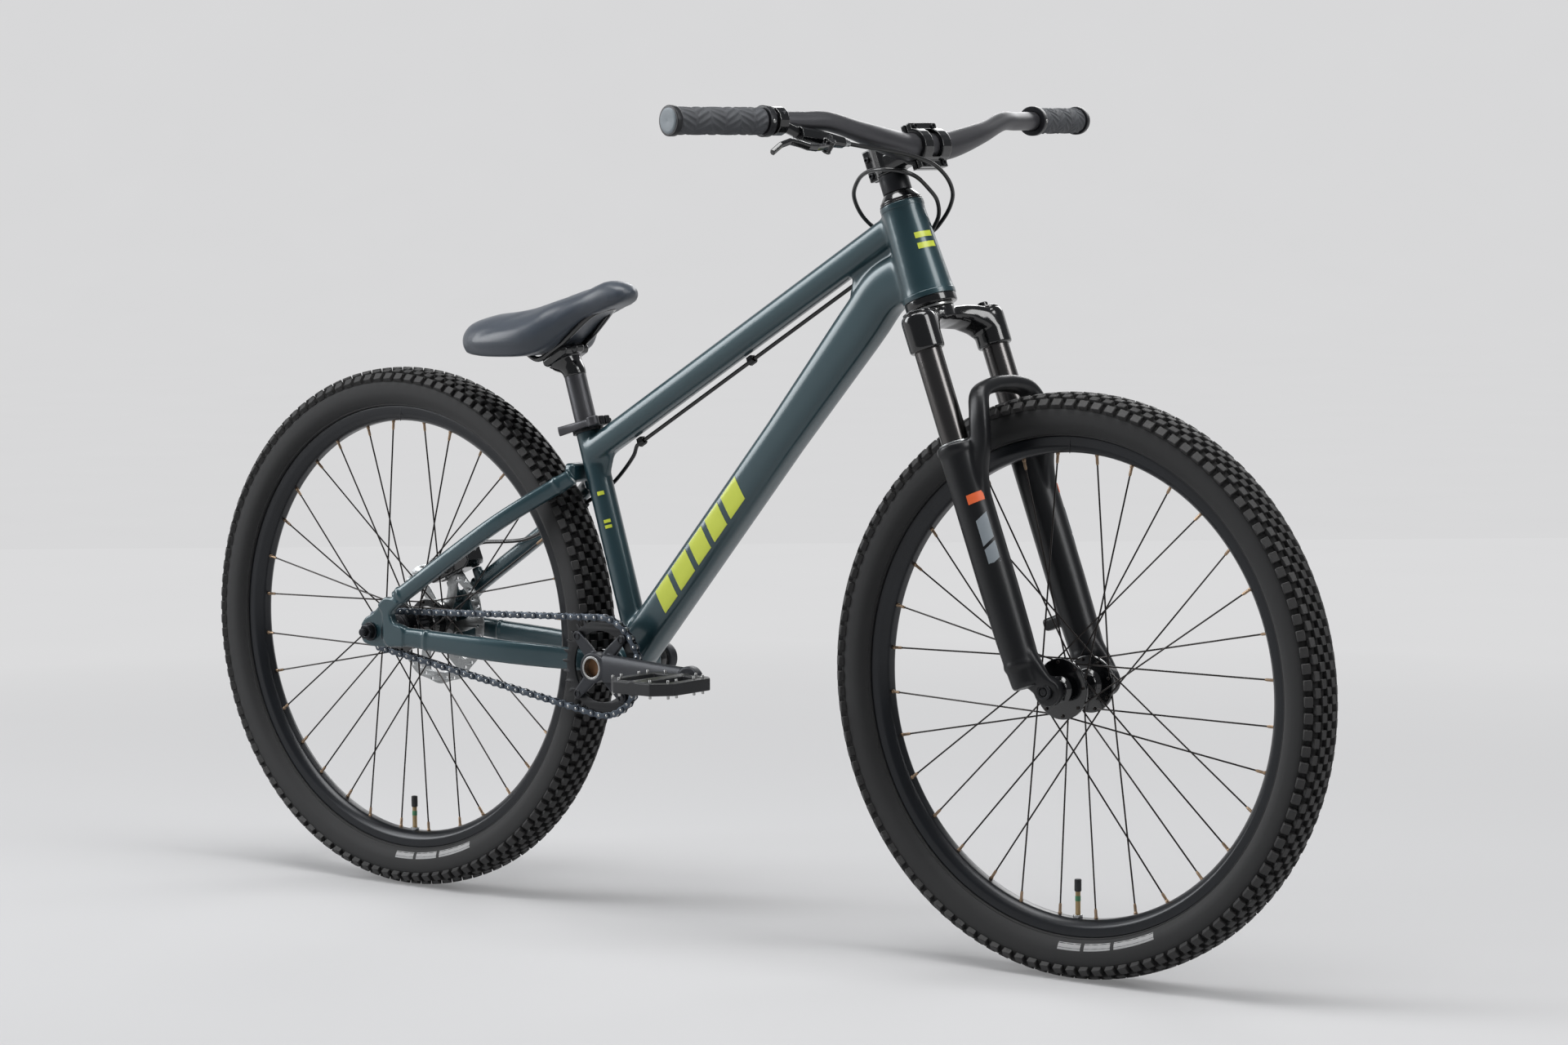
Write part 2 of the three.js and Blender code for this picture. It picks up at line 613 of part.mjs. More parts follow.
// Fork, drawn about the steering axis: x ahead of it, z up along it
function crownSteerer() {
  const crownLow = fork.crownHeight - fork.crownDepth / 2;
  const tubeProfile = [[0, crownLow], [steerer.lowRadius, crownLow], [steerer.lowRadius, taperLow],
    [steerer.radius, taperTop], [steerer.radius, steererTop], [steerer.radius - steerer.wall, steererTop],
    [steerer.radius - steerer.wall, taperTop], [0, taperTop]];
  const clampMiddle = (clampTop + clampBottom) / 2;
  const clampHeight = clampTop - clampBottom;
  const sideShares = [-1, -0.62, -0.3, 0, 0.3, 0.62, 1];
  const archShares = [1, 0.36, 0.08, 0, 0.08, 0.36, 1];
  const rings = sideShares.map((side, i) => {
    const share = archShares[i];
    const middle = mix(fork.crownHeight - fork.crownDepth / 2, clampMiddle, share);
    const width = mix(fork.crownWidth, fork.clamp * 2, share);
    const section = oval(width, mix(fork.crownDepth, clampHeight, share), 3.2, 12);
    return section.map((corner) => V(fork.legAhead * share + corner.x, side * fork.legSpread,
      middle + corner.y));
  });
  const clamp = (y) => rod(V(fork.legAhead, y, clampBottom), V(fork.legAhead, y, clampTop),
    fork.clamp, fork.clamp, fork.sides);
  const bore = (y) => rod(V(fork.legAhead, y, clampBottom - overrun), V(fork.legAhead, y,
    clampTop + overrun),
    fork.stanchion + gap, fork.stanchion + gap, fork.sides);
  const whole = join(loft(rings), clamp(fork.legSpread), clamp(-fork.legSpread),
    turnedUpright(tubeProfile, headset.sides));
  return cut(whole, bore(fork.legSpread), bore(-fork.legSpread));
}

function stanchion(y) {
  return rod(V(fork.legAhead, y, fork.stanchionBottom), V(fork.legAhead, y, clampTop),
    fork.stanchion, fork.stanchion, fork.sides);
}

function forkAdjuster() {
  const low = clampTop + gap;
  const at = (z) => V(fork.legAhead, fork.legSpread, z);
  const knobTop = low + adjuster.height + adjuster.knobHeight;
  return join(
    rod(at(low), at(low + adjuster.height), adjuster.radius, adjuster.radius, 12),
    rod(at(low), at(knobTop), adjuster.knob, adjuster.knob, 8),
  );
}

function forkLeg() {
  const bore = fork.stanchion + gap;
  const sealLow = fork.seal - fork.sealHeight;
  const taperHeights = [fork.legBottom + overrun, fork.boreFloor + overrun, fork.stanchionBottom];
  const profile = [[0, fork.legBottom], [fork.legTip, fork.legBottom], [fork.legLow, taperHeights[0]],
    [fork.legLow, taperHeights[1]], [fork.legRadius, taperHeights[2]], [fork.legRadius, sealLow],
    [fork.sealRadius, sealLow], [fork.sealRadius, fork.seal], [bore, fork.seal], [bore, fork.boreFloor],
    [0, fork.boreFloor]];
  const toLeg = new THREE.Matrix4().makeTranslation(fork.legAhead, fork.legSpread, 0);
  const leg = moved(turnedUpright(profile, fork.sides), toLeg);
  const boss = crossRod(V(forkOffset, 0, 0), fork.bossInner, fork.bossOuter, fork.boss, 14);
  const bossMiddle = (fork.bossInner + fork.bossOuter) / 2;
  const casting = sweep([V(forkOffset, bossMiddle, 0), V(mix(forkOffset, fork.legAhead, 0.35),
    fork.legSpread, fork.boss),
    V(fork.legAhead, fork.legSpread, fork.boreFloor + fork.boss)], (share) => (
    oval(mix(fork.bossOuter - fork.bossInner, fork.legLow, share), mix(fork.boss * 2, fork.legLow * 2,
      share), 2.6, 8)
  ), V(1, 0, 0));
  return join(leg, boss, cut(casting, forkLegBore()));
}

function forkLegBore() {
  const bore = fork.stanchion + gap;
  return rod(V(fork.legAhead, fork.legSpread, fork.boreFloor), V(fork.legAhead, fork.legSpread,
    clampBottom),
    bore, bore, fork.sides);
}

function forkArch() {
  const sideShares = [0.95, 0.9, 0.72, 0.35, 0];
  const riseShares = [0, 0.5, 0.86, 0.98, 1];
  const aheadShares = [0, 0.95, 0.98, 1, 1];
  const half = sideShares.map((side, i) => V(mix(arch.footAhead, arch.ahead, aheadShares[i]),
    side * fork.legSpread,
    mix(arch.footTop, arch.top, riseShares[i])));
  const otherHalf = half.slice(0, -1).reverse().map((point) => V(point.x, -point.y, point.z));
  return sweep([...half, ...otherHalf], () => oval(arch.radial, arch.broad, 3.4, 8), V(1, 0, 0));
}

function brakeTabs() {
  const tab = (up) => {
    const front = fork.legAhead;
    return box(front + brakeTab.back, brakeTab.width, brakeTab.height,
      V((front - brakeTab.back) / 2, fork.legSpread, up));
  };
  const lowTab = brakeTab.low + brakeTab.height;
  const bores = forkLegBore();
  return cut(join(tab(lowTab), tab(lowTab + brakeTab.span)), bores);
}

function forkLowers() {
  const left = forkLeg();
  const right = mirrored(left);
  const axleBore = crossRod(V(forkOffset, 0, 0), -fork.bossOuter - overrun, fork.bossOuter + overrun,
    thruAxle.radius + gap, 14);
  const headClear = crossRod(V(forkOffset, 0, 0), fork.bossOuter, fork.bossOuter + 2 * overrun,
    thruAxle.head + 2 * gap, 14);
  return cut(join(left, right, forkArch(), brakeTabs()), axleBore, headClear, mirrored(headClear),
    forkLegBore(), mirrored(forkLegBore()));
}

function frontAxleBolt() {
  const centre = V(0, 0, 0);
  const headEnd = -fork.bossOuter - gap - thruAxle.headWidth;
  return join(
    crossRod(centre, -fork.bossOuter - thruAxle.headWidth, fork.bossOuter + thruAxle.tip,
      thruAxle.radius, 14),
    crossRod(centre, headEnd, -fork.bossOuter - gap, thruAxle.head, 14),
  );
}

// Cockpit, also drawn about the steering axis
const barUp = (stemLow + stemTop) / 2 - stem.barBelow;
const barCentre = V(stem.reach, 0, barUp);

function stemClampSolid() {
  const half = stem.clampWidth / 2;
  const whole = join(
    crossRod(barCentre, -half, half, stem.clampRadius, 20),
    box(stem.earDepth, stem.clampWidth, stem.earHeight, barCentre),
  );
  return cut(whole, crossRod(barCentre, -half - overrun, half + overrun, bar.clampRadius + gap, 20));
}

function stemBody() {
  const steererBore = rod(V(0, 0, stemLow - overrun), V(0, 0, stemTop + overrun),
    steerer.radius + gap, steerer.radius + gap, headset.sides);
  const clampRing = rod(V(0, 0, stemLow), V(0, 0, stemTop), stem.radius, stem.radius, headset.sides);
  const neckPath = [V(0, 0, barUp), V(stem.reach - stem.clampRadius + stem.plateGap, 0, barUp)];
  const neck = sweep(neckPath, () => oval(stem.neckWidth, stem.neckHeight, 3.5, 12));
  const bosses = box(stem.bossBack, stem.earDepth, stem.height, V(-stem.bossBack / 2, 0,
    (stemLow + stemTop) / 2));
  const slot = box(stem.bossBack + overrun, stem.slot, stem.height + overrun,
    V(-(stem.bossBack + overrun) / 2, 0, (stemLow + stemTop) / 2));
  const frontHalf = box(stem.earHeight, stem.clampWidth + overrun, stem.earHeight + overrun,
    barCentre.clone().add(V(stem.earHeight / 2 - stem.plateGap / 2, 0, 0)));
  const clampHalf = stemClampSolid().subtract(frontHalf);
  const barBore = crossRod(barCentre, -stem.clampWidth, stem.clampWidth, bar.clampRadius + gap, 20);
  return cut(join(clampRing, cut(neck, barBore), bosses, clampHalf), steererBore, slot);
}

function stemFaceplate() {
  const rearHalf = box(stem.earHeight, stem.clampWidth + overrun, stem.earHeight + overrun,
    barCentre.clone().add(V(-stem.earHeight / 2 + stem.plateGap / 2, 0, 0)));
  const window = box(stem.earHeight, stem.windowWidth, stem.windowHeight,
    barCentre.clone().add(V(stem.earHeight / 2, 0, 0)));
  return cut(stemClampSolid(), rearHalf, window);
}

function topCapBody() {
  const low = stemTop + gap;
  return turnedUpright([[0, low], [topCap.radius, low], [topCap.radius, low + topCap.height / 2],
    [topCap.radius - topCap.height / 2, low + topCap.height], [topCap.bolt, low + topCap.height],
    [topCap.bolt, low + topCap.height / 2], [0, low + topCap.height / 2]], 14);
}

function barPoint(side, share) {
  const tip = V(stem.reach - bar.sweepBack, side * bar.halfWidth, barUp + bar.rise);
  const bend = V(stem.reach, side * bar.topSide, barUp + bar.topRise);
  return bend.clone().lerp(tip, share);
}

function barShare(side) {
  return (side - bar.topSide) / (bar.halfWidth - bar.topSide);
}

function barPath() {
  const half = [V(stem.reach, 0, barUp), V(stem.reach, bar.bendInner, barUp),
    V(stem.reach + bar.kneeAhead, bar.kneeSide, barUp + bar.kneeRise), barPoint(1, 0), barPoint(1,
      bar.gripStart),
    barPoint(1, 1)];
  const smooth = curve(half.slice(1, 4), 5);
  const side = [...smooth, barPoint(1, bar.gripStart / 2), barPoint(1, bar.gripStart), barPoint(1, 1)];
  const otherSide = side.map((point) => V(point.x, -point.y, point.z)).reverse();
  return [...otherSide, ...side];
}

function handlebar() {
  const path = barPath();
  const sides = path.map((point) => Math.abs(point.y));
  const radiusAt = (side) => mix(bar.clampRadius, bar.gripRadius,
    THREE.MathUtils.smoothstep(side, bar.bendInner, bar.topSide));
  return sweep(path, (share) => {
    const size = 2 * radiusAt(sides[Math.round(share * (path.length - 1))]);
    return oval(size, size, 2, bar.sides);
  });
}

// Pieces on the bar are turned about it and set at a side distance from the centre plane.
function onBar(profile, side, y, segments) {
  const start = barPoint(side, barShare(y));
  const tip = barPoint(side, 1);
  const turn = new THREE.Quaternion().setFromUnitVectors(V(0, 1, 0), tip.clone().sub(start).normalize());
  const points = profile.map(([radius, height]) => new THREE.Vector2(radius, height));
  const geometry = new THREE.LatheGeometry(points, segments).applyQuaternion(turn);
  return solid(geometry.translate(start.x, start.y, start.z));
}

function gripBody(side) {
  const inside = (bar.gripRadius + gap) / Math.cos(Math.PI / bar.sides);
  const reach = barPoint(side, 1).distanceTo(barPoint(side, barShare(gripStart)));
  const end = reach + gap + grip.end;
  const profile = [[inside, 0], [grip.collar, 0], [grip.collar, grip.collarWidth],
    [grip.radius, grip.collarWidth + gap],
    [grip.radius, end - grip.collarWidth], [grip.collar, end - grip.collarWidth + gap], [grip.collar,
      end - grip.end],
    [grip.collar - grip.end, end], [0, end], [0, reach + gap], [inside, reach + gap], [inside, 0]];
  return onBar(profile, side, gripStart, bar.sides);
}

const gripStart = bar.halfWidth - grip.length;

// Brake lever, placed from the point of the bar that it is clamped to

const leverClamp = barPoint(-1, barShare(lever.clampSide));

function leverPoint(place) {
  return leverClamp.clone().add(V(place.ahead, place.inboard, -place.drop));
}

const leverPivot = leverPoint(lever.pivot);
const leverPull = V(-lever.pivot.ahead, 0, lever.pivot.drop).normalize();
const leverAxis = V(0, 1, 0).cross(leverPull);
const leverPort = leverPoint(lever.port);
const portDirection = leverPort.clone().sub(leverPoint(lever.body)).normalize();
const portEnd = leverPort.clone().addScaledVector(portDirection, lever.portLength);

function aboutPivot(halfLength, radius, sides) {
  return rod(leverPivot.clone().addScaledVector(leverAxis, -halfLength),
    leverPivot.clone().addScaledVector(leverAxis, halfLength), radius, radius, sides);
}

function leverBody() {
  const bodyStart = leverPoint(lever.body);
  const ring = (halfLength, radius, sides) => rod(barPoint(-1, barShare(lever.clampSide - halfLength)),
    barPoint(-1, barShare(lever.clampSide + halfLength)), radius, radius, sides);
  const middleShare = 0.4;
  const tank = sweep([bodyStart, bodyStart.clone().lerp(leverPort, middleShare), leverPort], (share) => {
    const size = along([0, 0.5, 1], [lever.tankHeight, lever.tankHeight, lever.portSize], share);
    return oval(size, size, 3, 8);
  });
  const neck = rod(leverClamp, bodyStart.clone().lerp(leverPort, middleShare / 2), lever.neckRadius,
    lever.neckRadius, 8);
  const earRoot = bodyStart.clone().lerp(leverPort, 1 - middleShare);
  const ears = join(
    rod(earRoot, leverPivot, lever.earRadius + lever.earWall, lever.earRadius, 8),
    aboutPivot(lever.bladeWidth / 2 + gap + lever.earWall, lever.earRadius, 8),
  );
  const earGap = aboutPivot(lever.bladeWidth / 2 + gap, lever.earRadius + lever.earWall, 10);
  const pin = aboutPivot(lever.bladeWidth / 2 + lever.earWall, lever.pinRadius, lever.pinSides);
  const port = rod(leverPort, portEnd, lever.portRadius, lever.portRadius, 6);
  const barHole = ring(3 * lever.clampWidth, (bar.gripRadius + gap) / Math.cos(Math.PI / bar.sides),
    bar.sides);
  const shell = join(ring(lever.clampWidth / 2, lever.clampRadius, bar.sides), neck, tank, cut(ears,
    earGap));
  return join(shell.subtract(barHole), pin, port);
}

function leverBlade() {
  const places = [lever.bladeMiddle, lever.bladeElbow, lever.bladeTip];
  const path = curve([leverPivot, ...places.map(leverPoint)], 7);
  const blade = sweep(path, (share) => (
    oval(lever.bladeWidth * mix(1, lever.tipShare, share), lever.bladeThickness, 3, 8)
  ), leverPull);
  const hub = aboutPivot(lever.bladeWidth / 2, lever.hubRadius, 12);
  const holeRadius = (lever.pinRadius + gap) / Math.cos(Math.PI / lever.pinSides);
  return cut(join(blade, hub), aboutPivot(lever.bladeWidth, holeRadius, lever.pinSides));
}

// Hoses and what holds them
function toWorld(point) {
  return steerPoint(point.x, point.y, point.z);
}

const clipDrop = topTube.height / 2 + clip.foot;
const clipFront = topTubePoint(clip.frontAt, clipDrop, clip.side);
const clipMiddle = topTubePoint(clip.middleAt, clipDrop, clip.side);
const clipRear = topTubePoint(clip.rearAt, clipDrop, clip.side);
const clipStay = stayPoint(clip.stayShare, clip.stayInboard, clip.stayDrop);

// One turn round the steerer, then down the left side of the head tube
const frontHoseRoute = [
  V(320, -122, 946.5), V(329, -80, 941), V(337, -48, 934), V(340, -22, 926), V(340, 3, 910), V(334, 21,
    893),
  V(321, 33, 877), V(306, 38, 861), V(290, 40, 848), V(262, 40, 840), V(235, 34, 842), V(219, 22, 852),
  V(211, 7, 868), V(214, -11, 890), V(232, -26, 908), V(257, -40, 918), V(286, -48, 921), V(308, -43, 919),
  V(317, -28, 913), V(317, -2, 898), V(313, 19, 884), V(306, 31, 867), V(297, 33.5, 853), V(283, 33.5, 834),
  V(262, 32, 816), V(236, 24, 802),
];

function frontHose() {
  const start = toWorld(portEnd.clone().addScaledVector(portDirection, gap));
  const tubeRear = topTubeRear.clone().sub(topTubeFront).normalize();
  const end = clipFront.clone().addScaledVector(tubeRear, -clip.length);
  const lead = clipFront.clone().addScaledVector(tubeRear, -2 * clip.length);
  return tube([start, ...frontHoseRoute, lead, end], hose.radius, hose.sides, 56);
}

function stayPoint(share, inboard, drop) {
  const centre = seatstayCentre(share);
  return V(centre.x, -centre.y - inboard, centre.z - drop);
}

function rearHose() {
  const tubeRear = topTubeRear.clone().sub(topTubeFront).normalize();
  const start = clipFront.clone().addScaledVector(tubeRear, gap - clip.length);
  const behindTube = seatPoint(clip.behindUp, clip.behindSide, -seatTube.radius / 2);
  const beforeTube = topTubePoint(clip.rearAt + clip.leadOut, clipDrop + clip.foot, clip.side + clip.foot);
  const afterClip = topTubePoint(clip.rearAt + clip.length, clipDrop, clip.side);
  const crossing = stayPoint(clip.crossShare, clip.crossInboard, 0);
  const stayAlong = seatstayLow.clone().sub(seatstayHigh).normalize();
  const beforeStay = clipStay.clone().addScaledVector(stayAlong, -clip.length);
  const afterStay = clipStay.clone().addScaledVector(stayAlong, clip.length);
  const portLead = caliperPoint(caliper.length / 2 + 2 * caliper.portLength, caliper.height / 4);
  portLead.setY(caliper.portSide);
  const route = [start, clipFront, clipMiddle, clipRear, afterClip, beforeTube, behindTube, beforeStay,
    clipStay,
    afterStay, crossing, portLead, caliperPortEnd];
  return tube(route, hose.radius, hose.sides, 44);
}

function hoseClip(centre, direction, up) {
  const half = clip.length / 2;
  const ring = rod(centre.clone().addScaledVector(direction, -half),
    centre.clone().addScaledVector(direction, half),
    clip.radius, clip.radius, 8);
  const hole = rod(centre.clone().addScaledVector(direction, -clip.length),
    centre.clone().addScaledVector(direction, clip.length), hose.radius + 3 * gap,
      hose.radius + 3 * gap, 6);
  const foot = sweep([centre, centre.clone().addScaledVector(up, clip.foot - gap)], () => (
    oval(clip.radius * 2, clip.length, 5, 4)
  ), direction);
  return cut(join(ring, foot), hole);
}

// Rear brake
const caliperTilt = caliper.tilt * degrees;

function caliperPoint(ahead, up) {
  const centre = V(rearAxle.x + caliper.ahead, 0, rearAxle.z + caliper.rise);
  const forward = V(Math.cos(caliperTilt), 0, Math.sin(caliperTilt));
  const upward = V(-forward.z, 0, forward.x);
  return centre.addScaledVector(forward, ahead).addScaledVector(upward, up);
}

const caliperPort = caliperPoint(caliper.length / 2, caliper.height / 4).setY(caliper.portSide);
const caliperPortEnd = caliperPoint(caliper.length / 2 + caliper.portLength + gap, caliper.height / 4)
  .setY(caliper.portSide);

function caliperBody() {
  const half = caliper.length / 2;
  const high = caliper.height / 2;
  const outlineShares = [[-1, -0.5], [-0.75, -1], [0.75, -1], [1, -0.6],
    [1, 0.7], [0.6, 1], [-0.5, 1], [-1, 0.6]];
  const outline = outlineShares.map(([x, z]) => {
    const point = caliperPoint(x * half, z * high);
    return [point.x, point.z];
  });
  const body = plate(outline, caliper.inner, caliper.outer);
  const rotorMiddle = rearHub.rotorFace + gap + rotor.thickness / 2;
  const rotorSlot = crossRod(rearAxle, rotorMiddle - caliper.slot / 2, rotorMiddle + caliper.slot / 2,
    rotor.radius + rotor.wave + caliper.slot / 2, 40);
  const middle = caliperPoint(0, 0);
  const pistonCover = crossRod(middle, caliper.inner - caliper.coverDepth, caliper.outer,
    caliper.piston, 14);
  const portRoot = caliperPort.clone().lerp(middle.setY(caliper.portSide), 0.5);
  const port = rod(portRoot, caliperPortEnd.clone().lerp(caliperPort, 0.05),
    lever.portRadius, lever.portRadius, 8);
  return join(cut(join(body, pistonCover), rotorSlot), port);
}

function waveRadius(base, angle, swing) {
  return base + swing * Math.cos(rotor.waves * angle);
}

function rotorPlate() {
  const steps = rotor.waves * 4;
  const ring = (base, swing, count) => Array.from({ length: count }, (_, i) => {
    const angle = (i / count) * 2 * Math.PI;
    const radius = waveRadius(base, angle, swing);
    return [radius * Math.cos(angle), radius * Math.sin(angle)];
  });
  const inner = rotor.radius - rotor.band;
  const windows = Array.from({ length: rotor.arms }, (_, i) => {
    const start = (i / rotor.arms) * 2 * Math.PI;
    const sweepAngle = (2 * Math.PI / rotor.arms) * (1 - rotor.armShare);
    const lean = sweepAngle * rotor.leanShare;
    const point = (radius, share, offset) => {
      const angle = start + share * sweepAngle + offset;
      return [radius * Math.cos(angle), radius * Math.sin(angle)];
    };
    return [point(rotor.carrier, 0.1, 0), point(rotor.carrier, 0.9, 0), point(inner, 1, lean),
      point(inner, 0.5, lean),
      point(inner, 0, lean)];
  });
  const centre = circle((rearHub.pilot + gap) / Math.cos(Math.PI / 14), 14);
  const low = rearHub.rotorFace + gap;
  return plate(ring(rotor.radius, rotor.wave, steps), low, low + rotor.thickness, [...windows, centre]);
}

// Wheels, turned about Y round the wheel's own centre
function rimBody() {
  const { radius, halfWidth, wall } = rim;
  const inner = radius - rim.depth;
  const half = [[inner, rim.noseHalf], [inner + rim.wallRise, halfWidth - wall], [radius, halfWidth],
    [radius, halfWidth - wall], [radius - rim.seatDrop, halfWidth - wall], [radius - rim.wellDrop,
      rim.noseHalf]];
  const profile = [...half, ...half.map(([r, y]) => [r, -y]).reverse()];
  const hole = rod(V(0, 0, -radius), V(0, 0, -inner + overrun), valve.radius + gap, valve.radius + gap, 8);
  return turned([...profile, profile[0]], wheelSegments).subtract(hole);
}

function casingRadius(y) {
  const middle = (rim.radius + tyreRadius - tyre.knob) / 2;
  const rise = tyreRadius - tyre.knob - middle;
  const { squareness } = tyre;
  return middle + rise * (1 - (Math.abs(y) / tyre.halfWidth) ** squareness) ** (1 / squareness);
}

// The casing is open towards the rim; blocks stand on every second cell of the tread.
function tyreBody() {
  const bead = rim.radius - rim.seatDrop + gap;
  const hook = rim.halfWidth - rim.wall - gap;
  const rowHalf = tyre.treadHalf / tyre.rows;
  const edges = Array.from({ length: tyre.rows + 1 }, (_, i) => tyre.treadHalf - 2 * rowHalf * i);
  const outerSide = [[bead, hook], [rim.radius + gap, hook], [rim.radius + tyre.flare,
    tyre.halfWidth - tyre.wall],
    [casingRadius(tyre.halfWidth), tyre.halfWidth], [casingRadius(tyre.shoulder), tyre.shoulder]];
  const tread = edges.map((y) => [casingRadius(y), y]);
  const innerSide = [[casingRadius(rowHalf) - tyre.wall, tyre.treadHalf / 2],
    [casingRadius(tyre.halfWidth), tyre.halfWidth - tyre.wall], [bead, hook - tyre.bead]];
  const flip = (points) => points.map(([r, y]) => [r, -y]).reverse();
  const profile = [...outerSide, ...tread, ...flip(outerSide), ...flip(innerSide), ...innerSide];
  const count = profile.length;
  const angleAt = (j) => (j / wheelSegments) * 2 * Math.PI;
  const onRing = (radius, y, angle) => V(radius * Math.sin(angle), y, -radius * Math.cos(angle));
  const points = [];
  for (let j = 0; j < wheelSegments; j += 1) {
    profile.forEach(([radius, y]) => points.push(onRing(radius, y, angleAt(j))));
  }
  const faces = [];
  const quad = (a, b, c, d) => faces.push(a, b, c, a, c, d);
  for (let j = 0; j < wheelSegments; j += 1) {
    const next = ((j + 1) % wheelSegments) * count;
    for (let i = 0; i < count; i += 1) {
      const k = (i + 1) % count;
      const corners = [j * count + i, j * count + k, next + k, next + i];
      const row = i - outerSide.length;
      const hasBlock = row >= 0 && row < tyre.rows && (row + j) % 2 === 0;
      if (!hasBlock) {
        quad(...corners);
      } else {
        const first = points.length;
        const insetY = (1 - tyre.topShare) * rowHalf;
        const inset = ((1 - tyre.topShare) / 2) * angleAt(1);
        const places = [[edges[row] - insetY, angleAt(j) + inset], [edges[row + 1] + insetY,
          angleAt(j) + inset],
          [edges[row + 1] + insetY, angleAt(j + 1) - inset], [edges[row] - insetY, angleAt(j + 1) - inset]];
        places.forEach(([y, angle]) => {
          const top = tyreRadius - casingRadius(rowHalf - insetY) + casingRadius(y);
          points.push(onRing(top / Math.cos(inset), y, angle));
        });
        corners.forEach((corner, n) => {
          const m = (n + 1) % 4;
          quad(corner, corners[m], first + m, first + n);
        });
        quad(first, first + 1, first + 2, first + 3);
      }
    }
  }
  return meshSolid(points, faces);
}

function innerTubeBody() {
  const ring = circle(innerTube.radius, innerTube.sides, innerTube.centre, 0, Math.PI / 2);
  const stemTop = rim.radius - rim.depth - valve.length;
  const foot = V(0, 0, -innerTube.centre + innerTube.radius / 2);
  return join(
    turned([...ring, ring[0]], wheelSegments / 2),
    rod(foot, V(0, 0, -stemTop), valve.radius, valve.radius, 6),
    rod(V(0, 0, -stemTop - valve.capLength), V(0, 0, -stemTop), valve.capRadius, valve.capRadius, 6),
  );
}

function spokeRods(flangeY, flangeRadius, firstAngle, lean) {
  const step = (2 * Math.PI) / spoke.perSide;
  const wrap = spoke.wrap * degrees;
  const headRadius = flangeRadius - spoke.headInset;
  const rimRadius = (rim.radius - rim.depth) * Math.cos(Math.PI / wheelSegments) - 2 * gap;
  return Array.from({ length: spoke.perSide }, (_, k) => {
    const outward = k % 2 === 0 ? 1 : -1;
    const rimAngle = firstAngle + k * step;
    const hubAngle = rimAngle + outward * wrap;
    const head = V(headRadius * Math.cos(hubAngle), flangeY + outward * spoke.stagger,
      headRadius * Math.sin(hubAngle));
    const tip = V(rimRadius * Math.cos(rimAngle), lean * spoke.rimInset + outward * spoke.stagger,
      rimRadius * Math.sin(rimAngle));
    return rod(head, tip, spoke.radius, spoke.radius, 3);
  });
}

function lacedHub(shellProfile, hub) {
  const quarter = Math.PI / (2 * spoke.perSide);
  return join(
    turned([...shellProfile, shellProfile[0]], 14),
    ...spokeRods(hub.rightFlange, hub.rightRadius, quarter, -1),
    ...spokeRods(hub.leftFlange, hub.leftRadius, 3 * quarter, 1),
  );
}

function flangeProfile(y, radius, hub) {
  return [[hub.shell, y - hub.flange / 2], [radius, y - hub.flange / 2], [radius, y + hub.flange / 2],
    [hub.shell, y + hub.flange / 2]];
}

function frontHubBody() {
  const hub = frontHub;
  return lacedHub([
    [hub.bore, -hub.halfLength], [hub.endRadius, -hub.halfLength],
    ...flangeProfile(hub.rightFlange, hub.rightRadius, hub), ...flangeProfile(hub.leftFlange,
      hub.leftRadius, hub),
    [hub.rotorSeat, hub.leftFlange + 2 * hub.flange], [hub.rotorSeat, hub.rotorFace], [hub.endRadius,
      hub.rotorFace],
    [hub.endRadius, hub.halfLength], [hub.bore, hub.halfLength],
  ], hub);
}

function rearHubBody() {
  const hub = rearHub;
  return lacedHub([
    [hub.bore, -hub.rightEnd], [hub.shell, -hub.rightEnd],
    ...flangeProfile(hub.rightFlange, hub.rightRadius, hub), ...flangeProfile(hub.leftFlange,
      hub.leftRadius, hub),
    [hub.rotorSeat, hub.rotorFace - 2 * hub.flange], [hub.rotorSeat, hub.rotorFace], [hub.pilot,
      hub.rotorFace],
    [hub.pilot, hub.rotorFace + rotor.thickness + 2 * gap], [hub.endRadius, hub.leftEnd - hub.flange],
    [hub.endRadius, hub.leftEnd], [hub.bore, hub.leftEnd],
  ], hub);
}

// Drive
const ringRadius = pitch / (2 * Math.sin(Math.PI / ringTeeth));
const cogRadius = pitch / (2 * Math.sin(Math.PI / cogTeeth));
const driveAngle = Math.atan2(bracket.z - rearAxle.z, bracket.x - rearAxle.x);

function toothed(teeth, pitchRadius, thickness, yMiddle, holes, startAngle) {
  const outline = [];
  for (let i = 0; i < teeth; i += 1) {
    const middle = startAngle + (i / teeth) * 2 * Math.PI;
    const corner = (radius, halfWidth) => {
      const angle = middle + Math.asin(halfWidth / radius);
      outline.push([radius * Math.cos(angle), radius * Math.sin(angle)]);
    };
    const root = pitchRadius - tooth.rootDrop;
    const tip = pitchRadius + tooth.tipRise;
    corner(root, -tooth.rootWidth / 2);
    corner(tip, -tooth.tipWidth / 2);
    corner(tip, tooth.tipWidth / 2);
    corner(root, tooth.rootWidth / 2);
  }
  return plate(outline, yMiddle - thickness / 2, yMiddle + thickness / 2, holes);
}

function chainringBody() {
  const bolts = Array.from({ length: 4 }, (_, i) => {
    const angle = (i + 0.5) * (Math.PI / 2);
    return circle(chainring.bolt, 6, chainring.boltCircle * Math.cos(angle),
      chainring.boltCircle * Math.sin(angle));
  });
  return toothed(ringTeeth, ringRadius, chainring.thickness, -chainLine, [circle(chainring.inner, 20),
    ...bolts],
    driveAngle);
}

